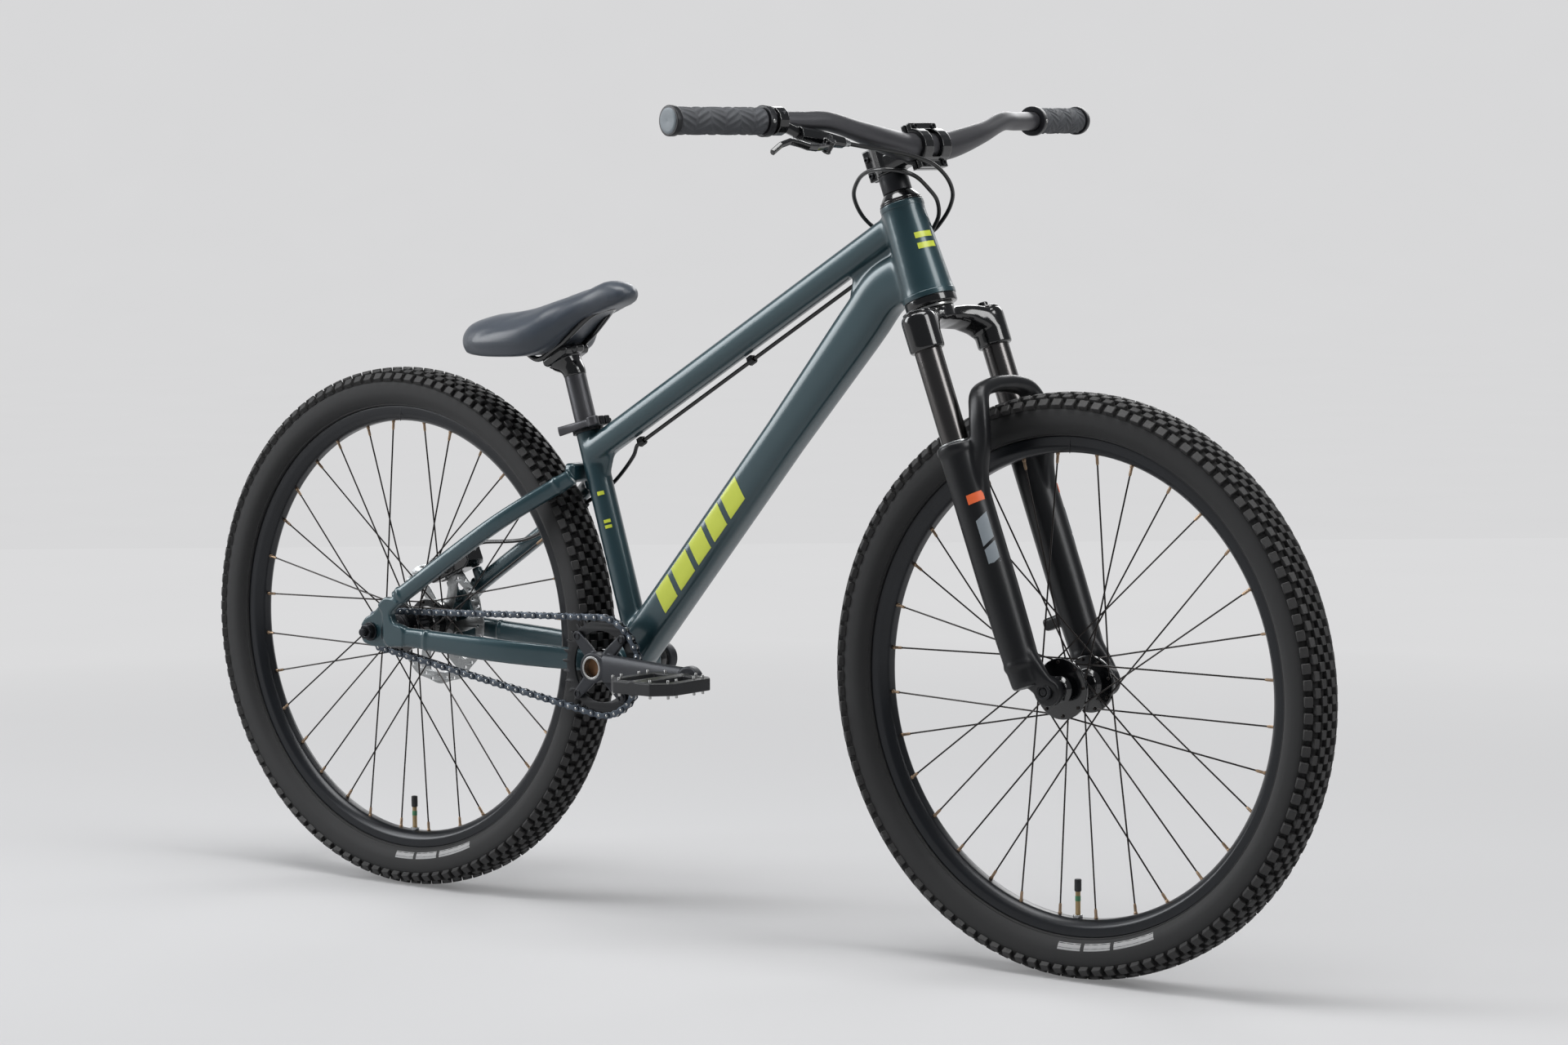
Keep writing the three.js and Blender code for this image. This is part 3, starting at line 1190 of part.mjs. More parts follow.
function cogBody() {
  const bore = circle(cog.bore, 12);
  const plateBody = toothed(cogTeeth, cogRadius, cog.thickness, -chainLine, [bore], driveAngle + Math.PI);
  const sleeveProfile = [[cog.bore, -cog.outer], [cog.radius - cog.collarWidth, -cog.outer],
    [cog.radius, -cog.outer + cog.collarWidth], [cog.radius, -cog.inner - cog.collarWidth],
    [cog.collar, -cog.inner - cog.collarWidth], [cog.collar, -cog.inner], [cog.bore, -cog.inner]];
  return join(plateBody, turned([...sleeveProfile, sleeveProfile[0]], 12));
}

// Pin places of the closed chain, from the bottom of the ring round its front
function chainPins() {
  const onWheel = (centre, radius, angle) => (
    V(centre.x + radius * Math.cos(driveAngle + angle), 0, centre.z + radius * Math.sin(driveAngle + angle))
  );
  const arc = (centre, radius, teeth, middleAngle) => {
    const step = (2 * Math.PI) / teeth;
    const rollers = teeth / 2 + (teeth === ringTeeth ? 1 : 0);
    return Array.from({ length: rollers }, (_, i) => (
      onWheel(centre, radius, middleAngle + (i - (rollers - 1) / 2) * step)
    ));
  };
  const ringPins = arc(bracket, ringRadius, ringTeeth, 0);
  const cogPins = arc(rearAxle, cogRadius, cogTeeth, Math.PI);
  const run = (from, to) => {
    const links = Math.round(from.distanceTo(to) / pitch);
    return Array.from({ length: links - 1 }, (_, i) => from.clone().lerp(to, (i + 1) / links));
  };
  return [...ringPins, ...run(ringPins.at(-1), cogPins[0]), ...cogPins, ...run(cogPins.at(-1),
    ringPins[0])];
}

// Each pin is a block and each link a pair of plates, in one unbroken loop.
function chainBody() {
  const pins = chainPins();
  const points = [];
  const faces = [];
  const left = V(0, 1, 0);
  const cornersPerPin = 12;
  pins.forEach((pin, i) => {
    const before = pins[(i + pins.length - 1) % pins.length];
    const after = pins[(i + 1) % pins.length];
    const ahead = after.clone().sub(before).normalize();
    const outward = ahead.clone().cross(left);
    const corner = (offset, y, rise) => points.push(pin.clone().addScaledVector(ahead, offset)
      .addScaledVector(outward, rise).add(V(0, y - chainLine, 0)));
    [1, -1].forEach((level) => {
      const rise = level * (link.height / 2);
      corner(0, link.width / 2, rise);
      corner(0, -link.width / 2, rise);
      [link.window / 2, -link.window / 2].forEach((y) => {
        corner(-link.half, y, rise);
        corner(link.half, y, rise);
      });
    });
  });
  const quad = (a, b, c, d) => faces.push(a, b, c, a, c, d);
  pins.forEach((_, i) => {
    const names = ['plateLeft', 'plateRight', 'rearLeft', 'frontLeft', 'rearRight', 'frontRight'];
    const cornersAt = (pin, level) => Object.fromEntries(names.map((name, n) => (
      [name, pin * cornersPerPin + level * names.length + n])));
    const j = (i + 1) % pins.length;
    const [top, bottom] = [cornersAt(i, 0), cornersAt(i, 1)];
    const [nextTop, nextBottom] = [cornersAt(j, 0), cornersAt(j, 1)];
    faces.push(top.plateLeft, top.rearLeft, top.frontLeft, top.plateRight, top.frontRight, top.rearRight);
    faces.push(bottom.plateLeft, bottom.frontLeft, bottom.rearLeft, bottom.plateRight, bottom.rearRight,
      bottom.frontRight);
    quad(top.rearLeft, top.rearRight, top.frontRight, top.frontLeft);
    quad(bottom.rearRight, bottom.rearLeft, bottom.frontLeft, bottom.frontRight);
    quad(top.plateLeft, top.frontLeft, nextTop.rearLeft, nextTop.plateLeft);
    quad(top.frontRight, top.plateRight, nextTop.plateRight, nextTop.rearRight);
    quad(bottom.frontLeft, bottom.plateLeft, nextBottom.plateLeft, nextBottom.rearLeft);
    quad(bottom.plateRight, bottom.frontRight, nextBottom.rearRight, nextBottom.plateRight);
    quad(bottom.plateLeft, top.plateLeft, nextTop.plateLeft, nextBottom.plateLeft);
    quad(top.plateRight, bottom.plateRight, nextBottom.plateRight, nextTop.plateRight);
    quad(top.frontLeft, bottom.frontLeft, nextBottom.rearLeft, nextTop.rearLeft);
    quad(bottom.frontRight, top.frontRight, nextTop.rearRight, nextBottom.rearRight);
    quad(top.frontLeft, top.frontRight, bottom.frontRight, bottom.frontLeft);
    quad(nextTop.rearRight, nextTop.rearLeft, nextBottom.rearLeft, nextBottom.rearRight);
  });
  return meshSolid(points, faces);
}

function crankArm() {
  const middleY = (inner, outer) => -(inner + outer) / 2;
  const rootY = middleY(crank.bossInner, crank.bossOuter);
  const endY = middleY(crank.endInner, crank.endOuter);
  const path = [V(0, rootY, 0), V(crank.length * 0.3, mix(rootY, endY, 0.2), 0),
    V(crank.length * 0.75, mix(rootY, endY, 0.8), 0), V(crank.length, endY, 0)];
  const arm = sweep(path, (share) => (
    oval(crank.thickness, mix(crank.rootHeight, crank.endHeight, share), 4, 8)
  ));
  const boss = crossRod(V(0, 0, 0), -crank.bossOuter, -crank.bossInner, crank.bossRadius, spindle.sides);
  const end = crossRod(V(crank.length, 0, 0), -crank.endOuter, -crank.endInner, crank.endRadius, 14);
  const spindleHole = crossRod(V(0, 0, 0), -crank.bossOuter - overrun, -crank.bossInner + overrun,
    spindle.radius + gap, spindle.sides);
  const pedalHole = crossRod(V(crank.length, 0, 0), -crank.endOuter - overrun, -crank.endInner + overrun,
    pedal.axle + gap, pedal.sides);
  return { solid: join(arm, boss, end), holes: [spindleHole, pedalHole] };
}

function spiderBody() {
  const halfRoot = crank.spiderWidth / 2 + crank.spiderThickness / 2;
  const reach = chainring.boltCircle + chainring.bolt + gap;
  const arms = Array.from({ length: 4 }, (_, i) => {
    const angle = (i + 0.5) * (Math.PI / 2);
    const corner = (out, across) => [out * Math.cos(angle) - across * Math.sin(angle),
      out * Math.sin(angle) + across * Math.cos(angle)];
    const halfTip = crank.spiderWidth / 3;
    return plate([corner(0, -halfRoot), corner(reach - halfTip, -halfTip * 1.1), corner(reach,
      -halfTip / 2),
      corner(reach, halfTip / 2), corner(reach - halfTip, halfTip * 1.1), corner(0, halfRoot)],
    -crank.spiderInner - crank.spiderThickness, -crank.spiderInner);
  });
  const seat = crossRod(V(0, 0, 0), -crank.bossInner - crank.spiderThickness, -crank.spiderInner,
    crank.bossRadius, spindle.sides);
  return join(seat, ...arms);
}

function crankRight() {
  const arm = crankArm();
  const seatHole = crossRod(V(0, 0, 0), -crank.bossOuter - overrun, -crank.spiderInner + overrun,
    spindle.radius + gap, spindle.sides);
  return cut(join(arm.solid, spiderBody()), seatHole, ...arm.holes);
}

function crankLeft() {
  const arm = crankArm();
  return moved(cut(arm.solid, ...arm.holes), new THREE.Matrix4().makeRotationZ(Math.PI));
}

function spindleBody() {
  const reach = crank.bossOuter + gap;
  const profile = [[spindle.bore, -reach], [spindle.radius, -reach], [spindle.radius, reach],
    [spindle.bore, reach]];
  return turned([...profile, profile[0]], spindle.sides);
}

function bracketCup() {
  const low = shell.halfWidth + gap;
  const inside = spindle.radius + gap;
  const sleeveRadius = shell.bore - gap;
  const profile = [[inside, -shell.halfWidth + cup.sleeveDepth], [sleeveRadius,
    -shell.halfWidth + cup.sleeveDepth],
    [sleeveRadius, -low], [cup.radius, -low], [cup.radius, -low - cup.width], [inside, -low - cup.width]];
  return turned([...profile, profile[0]], spindle.sides);
}

function pedalAxle() {
  const start = -crank.endInner;
  const bodyStart = -crank.endOuter - gap - pedal.collarWidth;
  const end = bodyStart - gap - pedal.width + pedal.rail;
  return join(
    crossRod(V(0, 0, 0), end, start, pedal.axle, pedal.sides),
    crossRod(V(0, 0, 0), bodyStart, -crank.endOuter - gap, pedal.collar, 12),
  );
}

// A flat outline of [x, y] pairs made into a slab between two heights
function slab(outline, low, high) {
  const shape = new THREE.Shape(outline.map(([x, y]) => new THREE.Vector2(x, y)));
  const geometry = new THREE.ExtrudeGeometry(shape, { depth: high - low, bevelEnabled: false });
  return solid(geometry.translate(0, 0, low));
}

// A cage with two windows, each side of the barrel that turns on the axle
function pedalBody() {
  const inner = -crank.endOuter - gap - pedal.collarWidth - gap;
  const outer = inner - pedal.width;
  const half = pedal.length / 2;
  const chamfer = pedal.chamfer;
  const corners = [[-half + chamfer, outer], [half - chamfer, outer], [half, outer + chamfer],
    [half, inner - chamfer / 2], [half - chamfer / 2, inner], [-half + chamfer / 2, inner],
    [-half, inner - chamfer / 2], [-half, outer + chamfer]];
  const window = (side) => {
    const near = side * pedal.barrel;
    const far = side * (half - pedal.rail);
    const points = [[near, outer + pedal.rail], [far - side * chamfer / 2, outer + pedal.rail],
      [far, outer + pedal.rail + chamfer / 2], [far, inner - pedal.rail], [near, inner - pedal.rail]];
    return slab(points, -pedal.height, pedal.height);
  };
  const frame = cut(slab(corners, -pedal.height / 2, pedal.height / 2), window(1), window(-1));
  const barrel = crossRod(V(0, 0, 0), outer, inner, pedal.barrel, 14);
  const boreRadius = (pedal.axle + gap) / Math.cos(Math.PI / pedal.sides);
  const bore = crossRod(V(0, 0, 0), outer + pedal.rail - gap, inner + overrun, boreRadius, pedal.sides);
  return cut(join(frame, barrel), bore);
}

// Rear axle with its nuts outside the dropouts
function rearAxleBolt() {
  const face = dropout.inner + dropout.thickness + gap;
  const washerEnd = face + rearBolt.washerWidth;
  const nutEnd = washerEnd + rearBolt.nutWidth;
  const centre = V(0, 0, 0);
  const leftSide = join(
    crossRod(centre, face, washerEnd, rearBolt.washer, rearBolt.sides),
    crossRod(centre, washerEnd, nutEnd, rearBolt.nut, rearBolt.nutSides),
  );
  const rightSide = mirrored(leftSide);
  const end = nutEnd + rearBolt.tip;
  return join(leftSide, rightSide, crossRod(centre, -end, end, rearBolt.radius, rearBolt.sides));
}

// Seat parts, drawn about the seat tube's axis: x ahead of it, z up along it
const cradleUp = seatTube.length + post.cradleRise;
const postTop = cradleUp - post.headHeight;
const postBottom = seatTube.length - post.inserted;

function seatCollar() {
  const low = seatTube.length - collar.height + collar.lap;
  const high = seatTube.length + collar.lap;
  const ring = turnedUpright(sleeve(seatTube.radius + gap, collar.radius, low, high), 20);
  const earMiddle = high - collar.earHeight / 2;
  const earFront = collar.radius + collar.ear - collar.wall;
  const ears = box(earFront - seatTube.radius - 2 * gap, 2 * collar.earHalf, collar.earHeight,
    V((earFront + seatTube.radius + 2 * gap) / 2, 0, earMiddle));
  const slotMiddle = V(collar.radius + collar.ear / 2, 0, earMiddle);
  const slot = box(collar.ear * 2, collar.slot, collar.height * 2, slotMiddle);
  const cutOut = cut(join(ring, ears), slot);
  const boltCentre = V(collar.boltAhead, 0, earMiddle);
  const bolt = crossRod(boltCentre, -collar.earHalf, collar.earHalf + collar.boltTip, collar.bolt, 8);
  return join(cutOut, bolt);
}

const leverSide = collar.earHalf + quickLever.cam + gap;

function clampLeverBody() {
  const { cam, length, width, thickness } = quickLever;
  const camBody = rod(V(0, 0, -width / 2), V(0, 0, width / 2), cam - gap, cam - gap, 12);
  const path = [V(0, 0, 0), V(-length * 0.35, -thickness * 0.6, 0), V(-length, -thickness * 1.4, 0)];
  const arm = sweep(path, (share) => oval(thickness, width * mix(0.8, 1, share), 3, 8));
  return join(camBody, arm);
}

function seatPost() {
  const tubeBody = rod(V(0, 0, postBottom), V(0, 0, postTop), post.radius, post.radius, 18);
  const headBase = V(0, 0, postTop - overrun);
  const headTopPoint = V(-post.cradleBack, 0, cradleUp - cradle.depth);
  const neck = sweep([headBase, headBase.clone().lerp(headTopPoint, 0.45), headTopPoint], (share) => (
    oval(mix(2 * post.radius, cradle.neckWidth, share), mix(2 * post.radius, cradle.neckLength, share),
      2.6, 12)
  ), V(1, 0, 0));
  const block = cradleBlock(cradle.length, cradle.width, -cradle.depth, -cradle.split);
  return cut(join(tubeBody, neck, block), railSolid(rail.radius + gap));
}

// The cradle and clamp are tilted with the rails.
const railTilt = cradle.tilt * degrees - seatLean;

function cradleBlock(length, width, low, high) {
  const shape = new THREE.BoxGeometry(length, width, high - low).translate(0, 0, (high + low) / 2);
  shape.rotateY(-railTilt).translate(-post.cradleBack, 0, cradleUp);
  return solid(shape);
}

function saddleClamp() {
  const block = cradleBlock(cradle.clampLength, cradle.width, cradle.split,
    cradle.split + cradle.clampHeight);
  return cut(block, railSolid(rail.radius + gap));
}

// Saddle points are ahead of, beside and above the clamp in level terms, turned into the seat tube's frame.
function saddlePoint(ahead, left, up) {
  const level = V(ahead, left, up).applyAxisAngle(V(0, 1, 0), seatLean);
  return level.add(V(-post.cradleBack, 0, cradleUp));
}

function railPath() {
  const flat = (share) => V(share * rail.flat * Math.cos(cradle.tilt * degrees), rail.spread,
    share * rail.flat * Math.sin(cradle.tilt * degrees));
  const side = [V(-rail.rearBack, rail.rearSpread, rail.rearRise), V(-rail.bendBack, rail.spread,
    -rail.bendDrop),
    flat(-0.5), flat(0), flat(0.5), V(rail.kneeAhead, rail.spread, rail.kneeRise),
    V(rail.noseAhead, rail.noseSpread, rail.noseRise),
    V(rail.tipAhead, 0, rail.tipRise)];
  const otherSide = side.slice(0, -1).reverse().map((point) => V(point.x, -point.y, point.z));
  return [...side, ...otherSide].map((point) => saddlePoint(point.x, point.y, point.z));
}

function railSolid(radius) {
  return tube(railPath(), radius, rail.sides, 34);
}

const stationShares = [0, 0.05, 0.16, 0.29, 0.435, 0.54, 0.635, 0.745, 0.87, 0.96, 1];
const widthShares = [0.3, 0.66, 0.9, 1, 0.98, 0.88, 0.62, 0.43, 0.36, 0.3, 0.12];
const topShares = [0.27, 0.38, 0.46, 0.51, 0.59, 0.68, 0.77, 0.88, 1, 0.96, 0.87];
const edgeShares = [0.14, 0.06, 0.02, 0, 0, 0.05, 0.27, 0.5, 0.63, 0.73, 0.79];

// Half of a saddle section: [across, up] shares from the lower edge to the crown
const shellShares = [[0.86, 0], [0.95, 0.5], [0.66, 0.86], [0, 1]];
const crownShares = [[0.86, 0], [1, 0.28], [0.95, 0.6], [0.72, 0.86], [0.38, 0.97], [0, 1]];

// The saddle's outline, made smaller all round by an inset; its underside lies below the lower edge by
// a drop.
function saddleSolid(inset, drop, sectionShares) {
  const widthScale = 1 - inset / (saddle.width / 2);
  const depthScale = 1 - inset / saddle.depth;
  const rings = stationShares.map((station, i) => {
    const ahead = mix(inset, saddle.length - inset, station) - saddle.tailBack;
    const low = saddle.rise * edgeShares[i];
    const depth = saddle.rise * (topShares[i] - edgeShares[i]) * depthScale;
    const halfWidth = (saddle.width / 2) * widthShares[i] * widthScale;
    const side = sectionShares.map(([across, up]) => (
      saddlePoint(ahead, across * halfWidth, low + up * depth - (up === 0 ? drop : 0))
    ));
    const otherSide = sectionShares.slice(0, -1).reverse().map(([across, up]) => (
      saddlePoint(ahead, -across * halfWidth, low + up * depth - (up === 0 ? drop : 0))
    ));
    return [...side, ...otherSide];
  });
  return loft(rings);
}

function saddleCushion() {
  return cut(saddleSolid(0, 0, crownShares), saddleSolid(saddle.wall, overrun, crownShares));
}

function socketBlock(ahead, left, low) {
  const centre = saddlePoint(ahead, left, low + saddle.rise / 2);
  return box(saddle.socket * 2, saddle.socket * 1.5, saddle.rise, centre);
}

function saddleShell() {
  const outside = saddleSolid(saddle.wall + gap, saddle.shellDrop, shellShares);
  const inside = saddleSolid(saddle.wall + gap + saddle.shellWall, saddle.shellDrop + overrun, shellShares);
  const sockets = join(
    socketBlock(-rail.rearBack, rail.rearSpread, rail.rearRise - saddle.socket / 2),
    socketBlock(-rail.rearBack, -rail.rearSpread, rail.rearRise - saddle.socket / 2),
    socketBlock(rail.tipAhead, 0, rail.tipRise - saddle.socket / 2),
  );
  return join(outside.subtract(inside), outside.intersect(sockets)).subtract(railSolid(rail.radius + gap));
}

// The whole machine
const bike = new THREE.Group();
bike.name = 'dirt_jump_bike';

function group(place, turn = 0) {
  const made = new THREE.Group();
  made.position.copy(place);
  made.rotation.y = turn;
  bike.add(made);
  return made;
}

bike.add(
  piece('front_triangle', frontTriangle(), framePaint),
  piece('rear_triangle', rearTriangle(), framePaint),
  piece('chain', chainBody(), chainSteel),
  piece('brake_caliper', caliperBody(), blackPaint),
  piece('brake_hose_front', frontHose(), plastic),
  piece('brake_hose_rear', rearHose(), plastic),
  piece('chain_tensioner_right', tensionerRod(tensioner.radius, tensioner.length), steel),
  piece('chain_tensioner_left', mirrored(tensionerRod(tensioner.radius, tensioner.length)), steel),
);

const tubeDirection = topTubeRear.clone().sub(topTubeFront).normalize();
const tubeUpward = V(tubeDirection.z, 0, -tubeDirection.x);
const stayDirection = seatstayLow.clone().sub(seatstayHigh).normalize();
const stayUpward = V(stayDirection.z, 0, -stayDirection.x);
bike.add(
  piece('hose_clip_front', hoseClip(clipFront, tubeDirection, tubeUpward), plastic),
  piece('hose_clip_middle', hoseClip(clipMiddle, tubeDirection, tubeUpward), plastic),
  piece('hose_clip_rear', hoseClip(clipRear, tubeDirection, tubeUpward), plastic),
  piece('hose_clip_stay', hoseClip(clipStay, stayDirection, stayUpward), plastic),
);

const steering = group(steerFoot, -headLean);
steering.add(
  piece('headset_lower_cup', lowerCup(), blackPaint),
  piece('headset_upper_cup', upperCup(), blackPaint),
  piece('crown_race', turnedUpright(sleeve(steerer.lowRadius + gap, headset.raceRadius,
    fork.crownHeight + gap, fork.crownHeight + headset.race - gap), headset.sides), steel),
  piece('headset_cover', headsetCover(), blackPaint),
  piece('stem_spacer', turnedUpright(sleeve(steerer.radius + gap, spacer.radius, coverTop + gap, spacerTop),
    headset.sides), satinBlack),
  piece('crown_steerer', crownSteerer(), blackPaint),
  piece('stanchion_right', stanchion(-fork.legSpread), steel),
  piece('stanchion_left', stanchion(fork.legSpread), steel),
  piece('fork_adjuster', forkAdjuster(), blackPaint),
  piece('fork_lowers', forkLowers(), satinBlack),
  piece('stem', stemBody(), blackPaint),
  piece('stem_faceplate', stemFaceplate(), blackPaint),
  piece('top_cap', topCapBody(), blackPaint),
  piece('handlebar', handlebar(), satinBlack),
  piece('grip_right', gripBody(-1), rubber),
  piece('grip_left', gripBody(1), rubber),
  piece('brake_lever_body', leverBody(), blackPaint),
  piece('brake_lever_blade', leverBlade(), blackPaint),
);

const frontWheel = group(frontAxle);
frontWheel.add(
  piece('front_axle', frontAxleBolt(), satinBlack),
  piece('front_tyre', tyreBody(), rubber),
  piece('front_inner_tube', innerTubeBody(), rubber),
  piece('front_rim', rimBody(), satinBlack),
  piece('front_hub', frontHubBody(), blackPaint),
);

const rearWheel = group(rearAxle);
rearWheel.add(
  piece('rear_axle', rearAxleBolt(), steel),
  piece('rear_tyre', tyreBody(), rubber),
  piece('rear_inner_tube', innerTubeBody(), rubber),
  piece('rear_rim', rimBody(), satinBlack),
  piece('rear_hub', rearHubBody(), blackPaint),
  piece('brake_rotor', rotorPlate(), steel),
  piece('cog', cogBody(), steel),
);

const drive = group(bracket);
drive.add(
  piece('chainring', chainringBody(), blackPaint),
  piece('crank_right', crankRight(), satinBlack),
  piece('crank_left', crankLeft(), satinBlack),
  piece('crank_spindle', spindleBody(), steel),
  piece('bb_cup_right', bracketCup(), blackPaint),
  piece('bb_cup_left', mirrored(bracketCup()), blackPaint),
);

const rightPedal = group(bracket.clone().add(V(crank.length, 0, 0)));
rightPedal.add(
  piece('pedal_axle_right', pedalAxle(), steel),
  piece('pedal_right', pedalBody(), plastic),
);
const leftPedal = group(bracket.clone().add(V(-crank.length, 0, 0)));
leftPedal.add(
  piece('pedal_axle_left', mirrored(pedalAxle()), steel),
  piece('pedal_left', mirrored(pedalBody()), plastic),
);

const seat = group(seatFoot, -seatLean);
const seatLever = piece('seat_clamp_lever', clampLeverBody(), satinBlack);
seatLever.position.set(collar.boltAhead, -leverSide, seatTube.length + collar.lap - collar.earHeight / 2);
seat.add(
  seatLever,
  piece('seat_collar', seatCollar(), satinBlack),
  piece('seatpost', seatPost(), satinBlack),
  piece('saddle_clamp', saddleClamp(), blackPaint),
  piece('saddle_rails', railSolid(rail.radius), blackPaint),
  piece('saddle_shell', saddleShell(), plastic),
  piece('saddle_cushion', saddleCushion(), coverSkin),
);

export default bike;
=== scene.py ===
import math

import bmesh
import bpy
from mathutils import Matrix, Vector
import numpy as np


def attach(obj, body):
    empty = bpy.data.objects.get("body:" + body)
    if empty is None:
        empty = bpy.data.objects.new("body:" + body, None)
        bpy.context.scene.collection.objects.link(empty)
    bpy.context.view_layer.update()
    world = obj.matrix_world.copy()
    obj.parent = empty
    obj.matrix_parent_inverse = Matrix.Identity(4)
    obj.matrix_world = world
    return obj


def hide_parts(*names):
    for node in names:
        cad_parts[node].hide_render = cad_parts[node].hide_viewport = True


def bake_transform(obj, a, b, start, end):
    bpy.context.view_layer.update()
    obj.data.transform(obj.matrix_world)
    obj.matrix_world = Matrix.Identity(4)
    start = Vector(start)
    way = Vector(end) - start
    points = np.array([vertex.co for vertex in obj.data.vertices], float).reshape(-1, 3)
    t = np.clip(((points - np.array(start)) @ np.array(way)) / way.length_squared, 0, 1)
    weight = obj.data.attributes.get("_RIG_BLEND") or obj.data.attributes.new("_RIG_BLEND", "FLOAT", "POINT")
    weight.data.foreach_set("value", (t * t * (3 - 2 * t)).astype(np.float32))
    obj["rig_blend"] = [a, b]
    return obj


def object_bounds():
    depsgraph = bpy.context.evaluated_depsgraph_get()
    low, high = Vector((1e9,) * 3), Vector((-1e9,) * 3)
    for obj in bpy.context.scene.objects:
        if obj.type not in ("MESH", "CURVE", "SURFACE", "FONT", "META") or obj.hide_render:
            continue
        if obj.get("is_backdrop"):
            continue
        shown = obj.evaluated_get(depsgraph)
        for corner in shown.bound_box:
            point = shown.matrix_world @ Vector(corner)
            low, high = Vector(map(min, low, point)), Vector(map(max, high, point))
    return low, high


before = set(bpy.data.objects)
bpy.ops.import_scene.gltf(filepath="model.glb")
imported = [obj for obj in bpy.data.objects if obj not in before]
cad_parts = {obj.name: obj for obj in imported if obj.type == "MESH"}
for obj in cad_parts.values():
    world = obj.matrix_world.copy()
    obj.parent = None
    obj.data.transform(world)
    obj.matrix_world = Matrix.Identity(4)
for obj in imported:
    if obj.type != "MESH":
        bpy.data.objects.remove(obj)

# A dirt jump bicycle. Sizes are in millimetres and become metres where a mesh is made.
# X points ahead, Y to the rider's left and Z up; the ground is at zero.
MM = 0.001
cad_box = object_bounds()

# Main places, the same as in the CAD model
WHEELBASE = 1048
TYRE_RADIUS = 335
REAR_AXLE = Vector((-WHEELBASE / 2, 0, TYRE_RADIUS))
FRONT_AXLE = Vector((WHEELBASE / 2, 0, TYRE_RADIUS))
BRACKET = Vector((-151.7, 0, 314))
HEAD_LEAN = math.radians(20.5)
SEAT_LEAN = math.radians(17)
FORK_OFFSET = 42
STEER_FOOT = Vector((484.62, 0, 320.29))
SEAT_FOOT = Vector((-128.3, 0, 314))
HEAD_LOW, HEAD_TOP = 480.6, 597.6
COVER_LOW, COVER_TOP = 600.1, 611.6
SPACER_TOP, STEM_TOP = 633.9, 672.2
BAR_UP = 648.2
GAP = 0.3


def steer(ahead, left, up):
    """A point given along, beside and up the steering axis."""
    return STEER_FOOT + Vector((
        ahead * math.cos(HEAD_LEAN) - up * math.sin(HEAD_LEAN), left,
        ahead * math.sin(HEAD_LEAN) + up * math.cos(HEAD_LEAN)))


def seat(ahead, left, up):
    """A point given along, beside and up the seat tube."""
    return SEAT_FOOT + Vector((
        ahead * math.cos(SEAT_LEAN) - up * math.sin(SEAT_LEAN), left,
        ahead * math.sin(SEAT_LEAN) + up * math.cos(SEAT_LEAN)))


STEER_UP = steer(0, 0, 1) - STEER_FOOT
SEAT_UP = seat(0, 0, 1) - SEAT_FOOT
ACROSS = Vector((0, 1, 0))
UP = Vector((0, 0, 1))
ORIGIN = Vector((0, 0, 0))


# Numbers and lines
def mix(a, b, share):
    """The value a share of the way from a to b."""
    return a + (b - a) * share


def along(shares, values, share):
    """The value at a share, in straight steps between values given at rising shares."""
    for low, high, a, b in zip(shares, shares[1:], values, values[1:]):
        if share <= high:
            return mix(a, b, max(0.0, (share - low) / (high - low)))
    return values[-1]


def smooth_step(value, low, high):
    """0 up to low, 1 from high on, and a soft rise between."""
    t = min(1.0, max(0.0, (value - low) / (high - low)))
    return t * t * (3 - 2 * t)


def spline(points, count):
    """A smooth line through given points, in equal steps."""
    ends = [points[0] * 2 - points[1], *points, points[-1] * 2 - points[-2]]
    dense = []
    steps = 24
    for a, b, c, d in zip(ends, ends[1:], ends[2:], ends[3:]):
        ta = 0.0
        tb = ta + max((b - a).length, 0.01) ** 0.5
        tc = tb + max((c - b).length, 0.01) ** 0.5
        td = tc + max((d - c).length, 0.01) ** 0.5
        for i in range(steps):
            t = mix(tb, tc, i / steps)
            ab = a * ((tb - t) / (tb - ta)) + b * ((t - ta) / (tb - ta))
            bc = b * ((tc - t) / (tc - tb)) + c * ((t - tb) / (tc - tb))
            cd = c * ((td - t) / (td - tc)) + d * ((t - tc) / (td - tc))
            abc = ab * ((tc - t) / (tc - ta)) + bc * ((t - ta) / (tc - ta))
            bcd = bc * ((td - t) / (td - tb)) + cd * ((t - tb) / (td - tb))
            dense.append(abc * ((tc - t) / (tc - tb)) + bcd * ((t - tb) / (tc - tb)))
    dense.append(points[-1])
    return even(dense, count)


def even(line, count):
    """The same line in equal steps."""
    reach = [0.0]
    for a, b in zip(line, line[1:]):
        reach.append(reach[-1] + (b - a).length)
    result, place = [], 0
    for i in range(count):
        want = reach[-1] * i / (count - 1)
        while place < len(line) - 2 and reach[place + 1] < want:
            place += 1
        span = max(reach[place + 1] - reach[place], 1e-9)
        result.append(line[place].lerp(line[place + 1], min(1.0, (want - reach[place]) / span)))
    return result


def oval(width, height, squareness, sides):
    """A closed section; squareness 2 is an ellipse and larger is boxier."""
    section = []
    for i in range(sides):
        angle = (i + 0.5) / sides * 2 * math.pi
        c, s = math.cos(angle), math.sin(angle)
        power = 2 / squareness
        section.append((width / 2 * math.copysign(abs(c) ** power, c),
                        height / 2 * math.copysign(abs(s) ** power, s)))
    return section


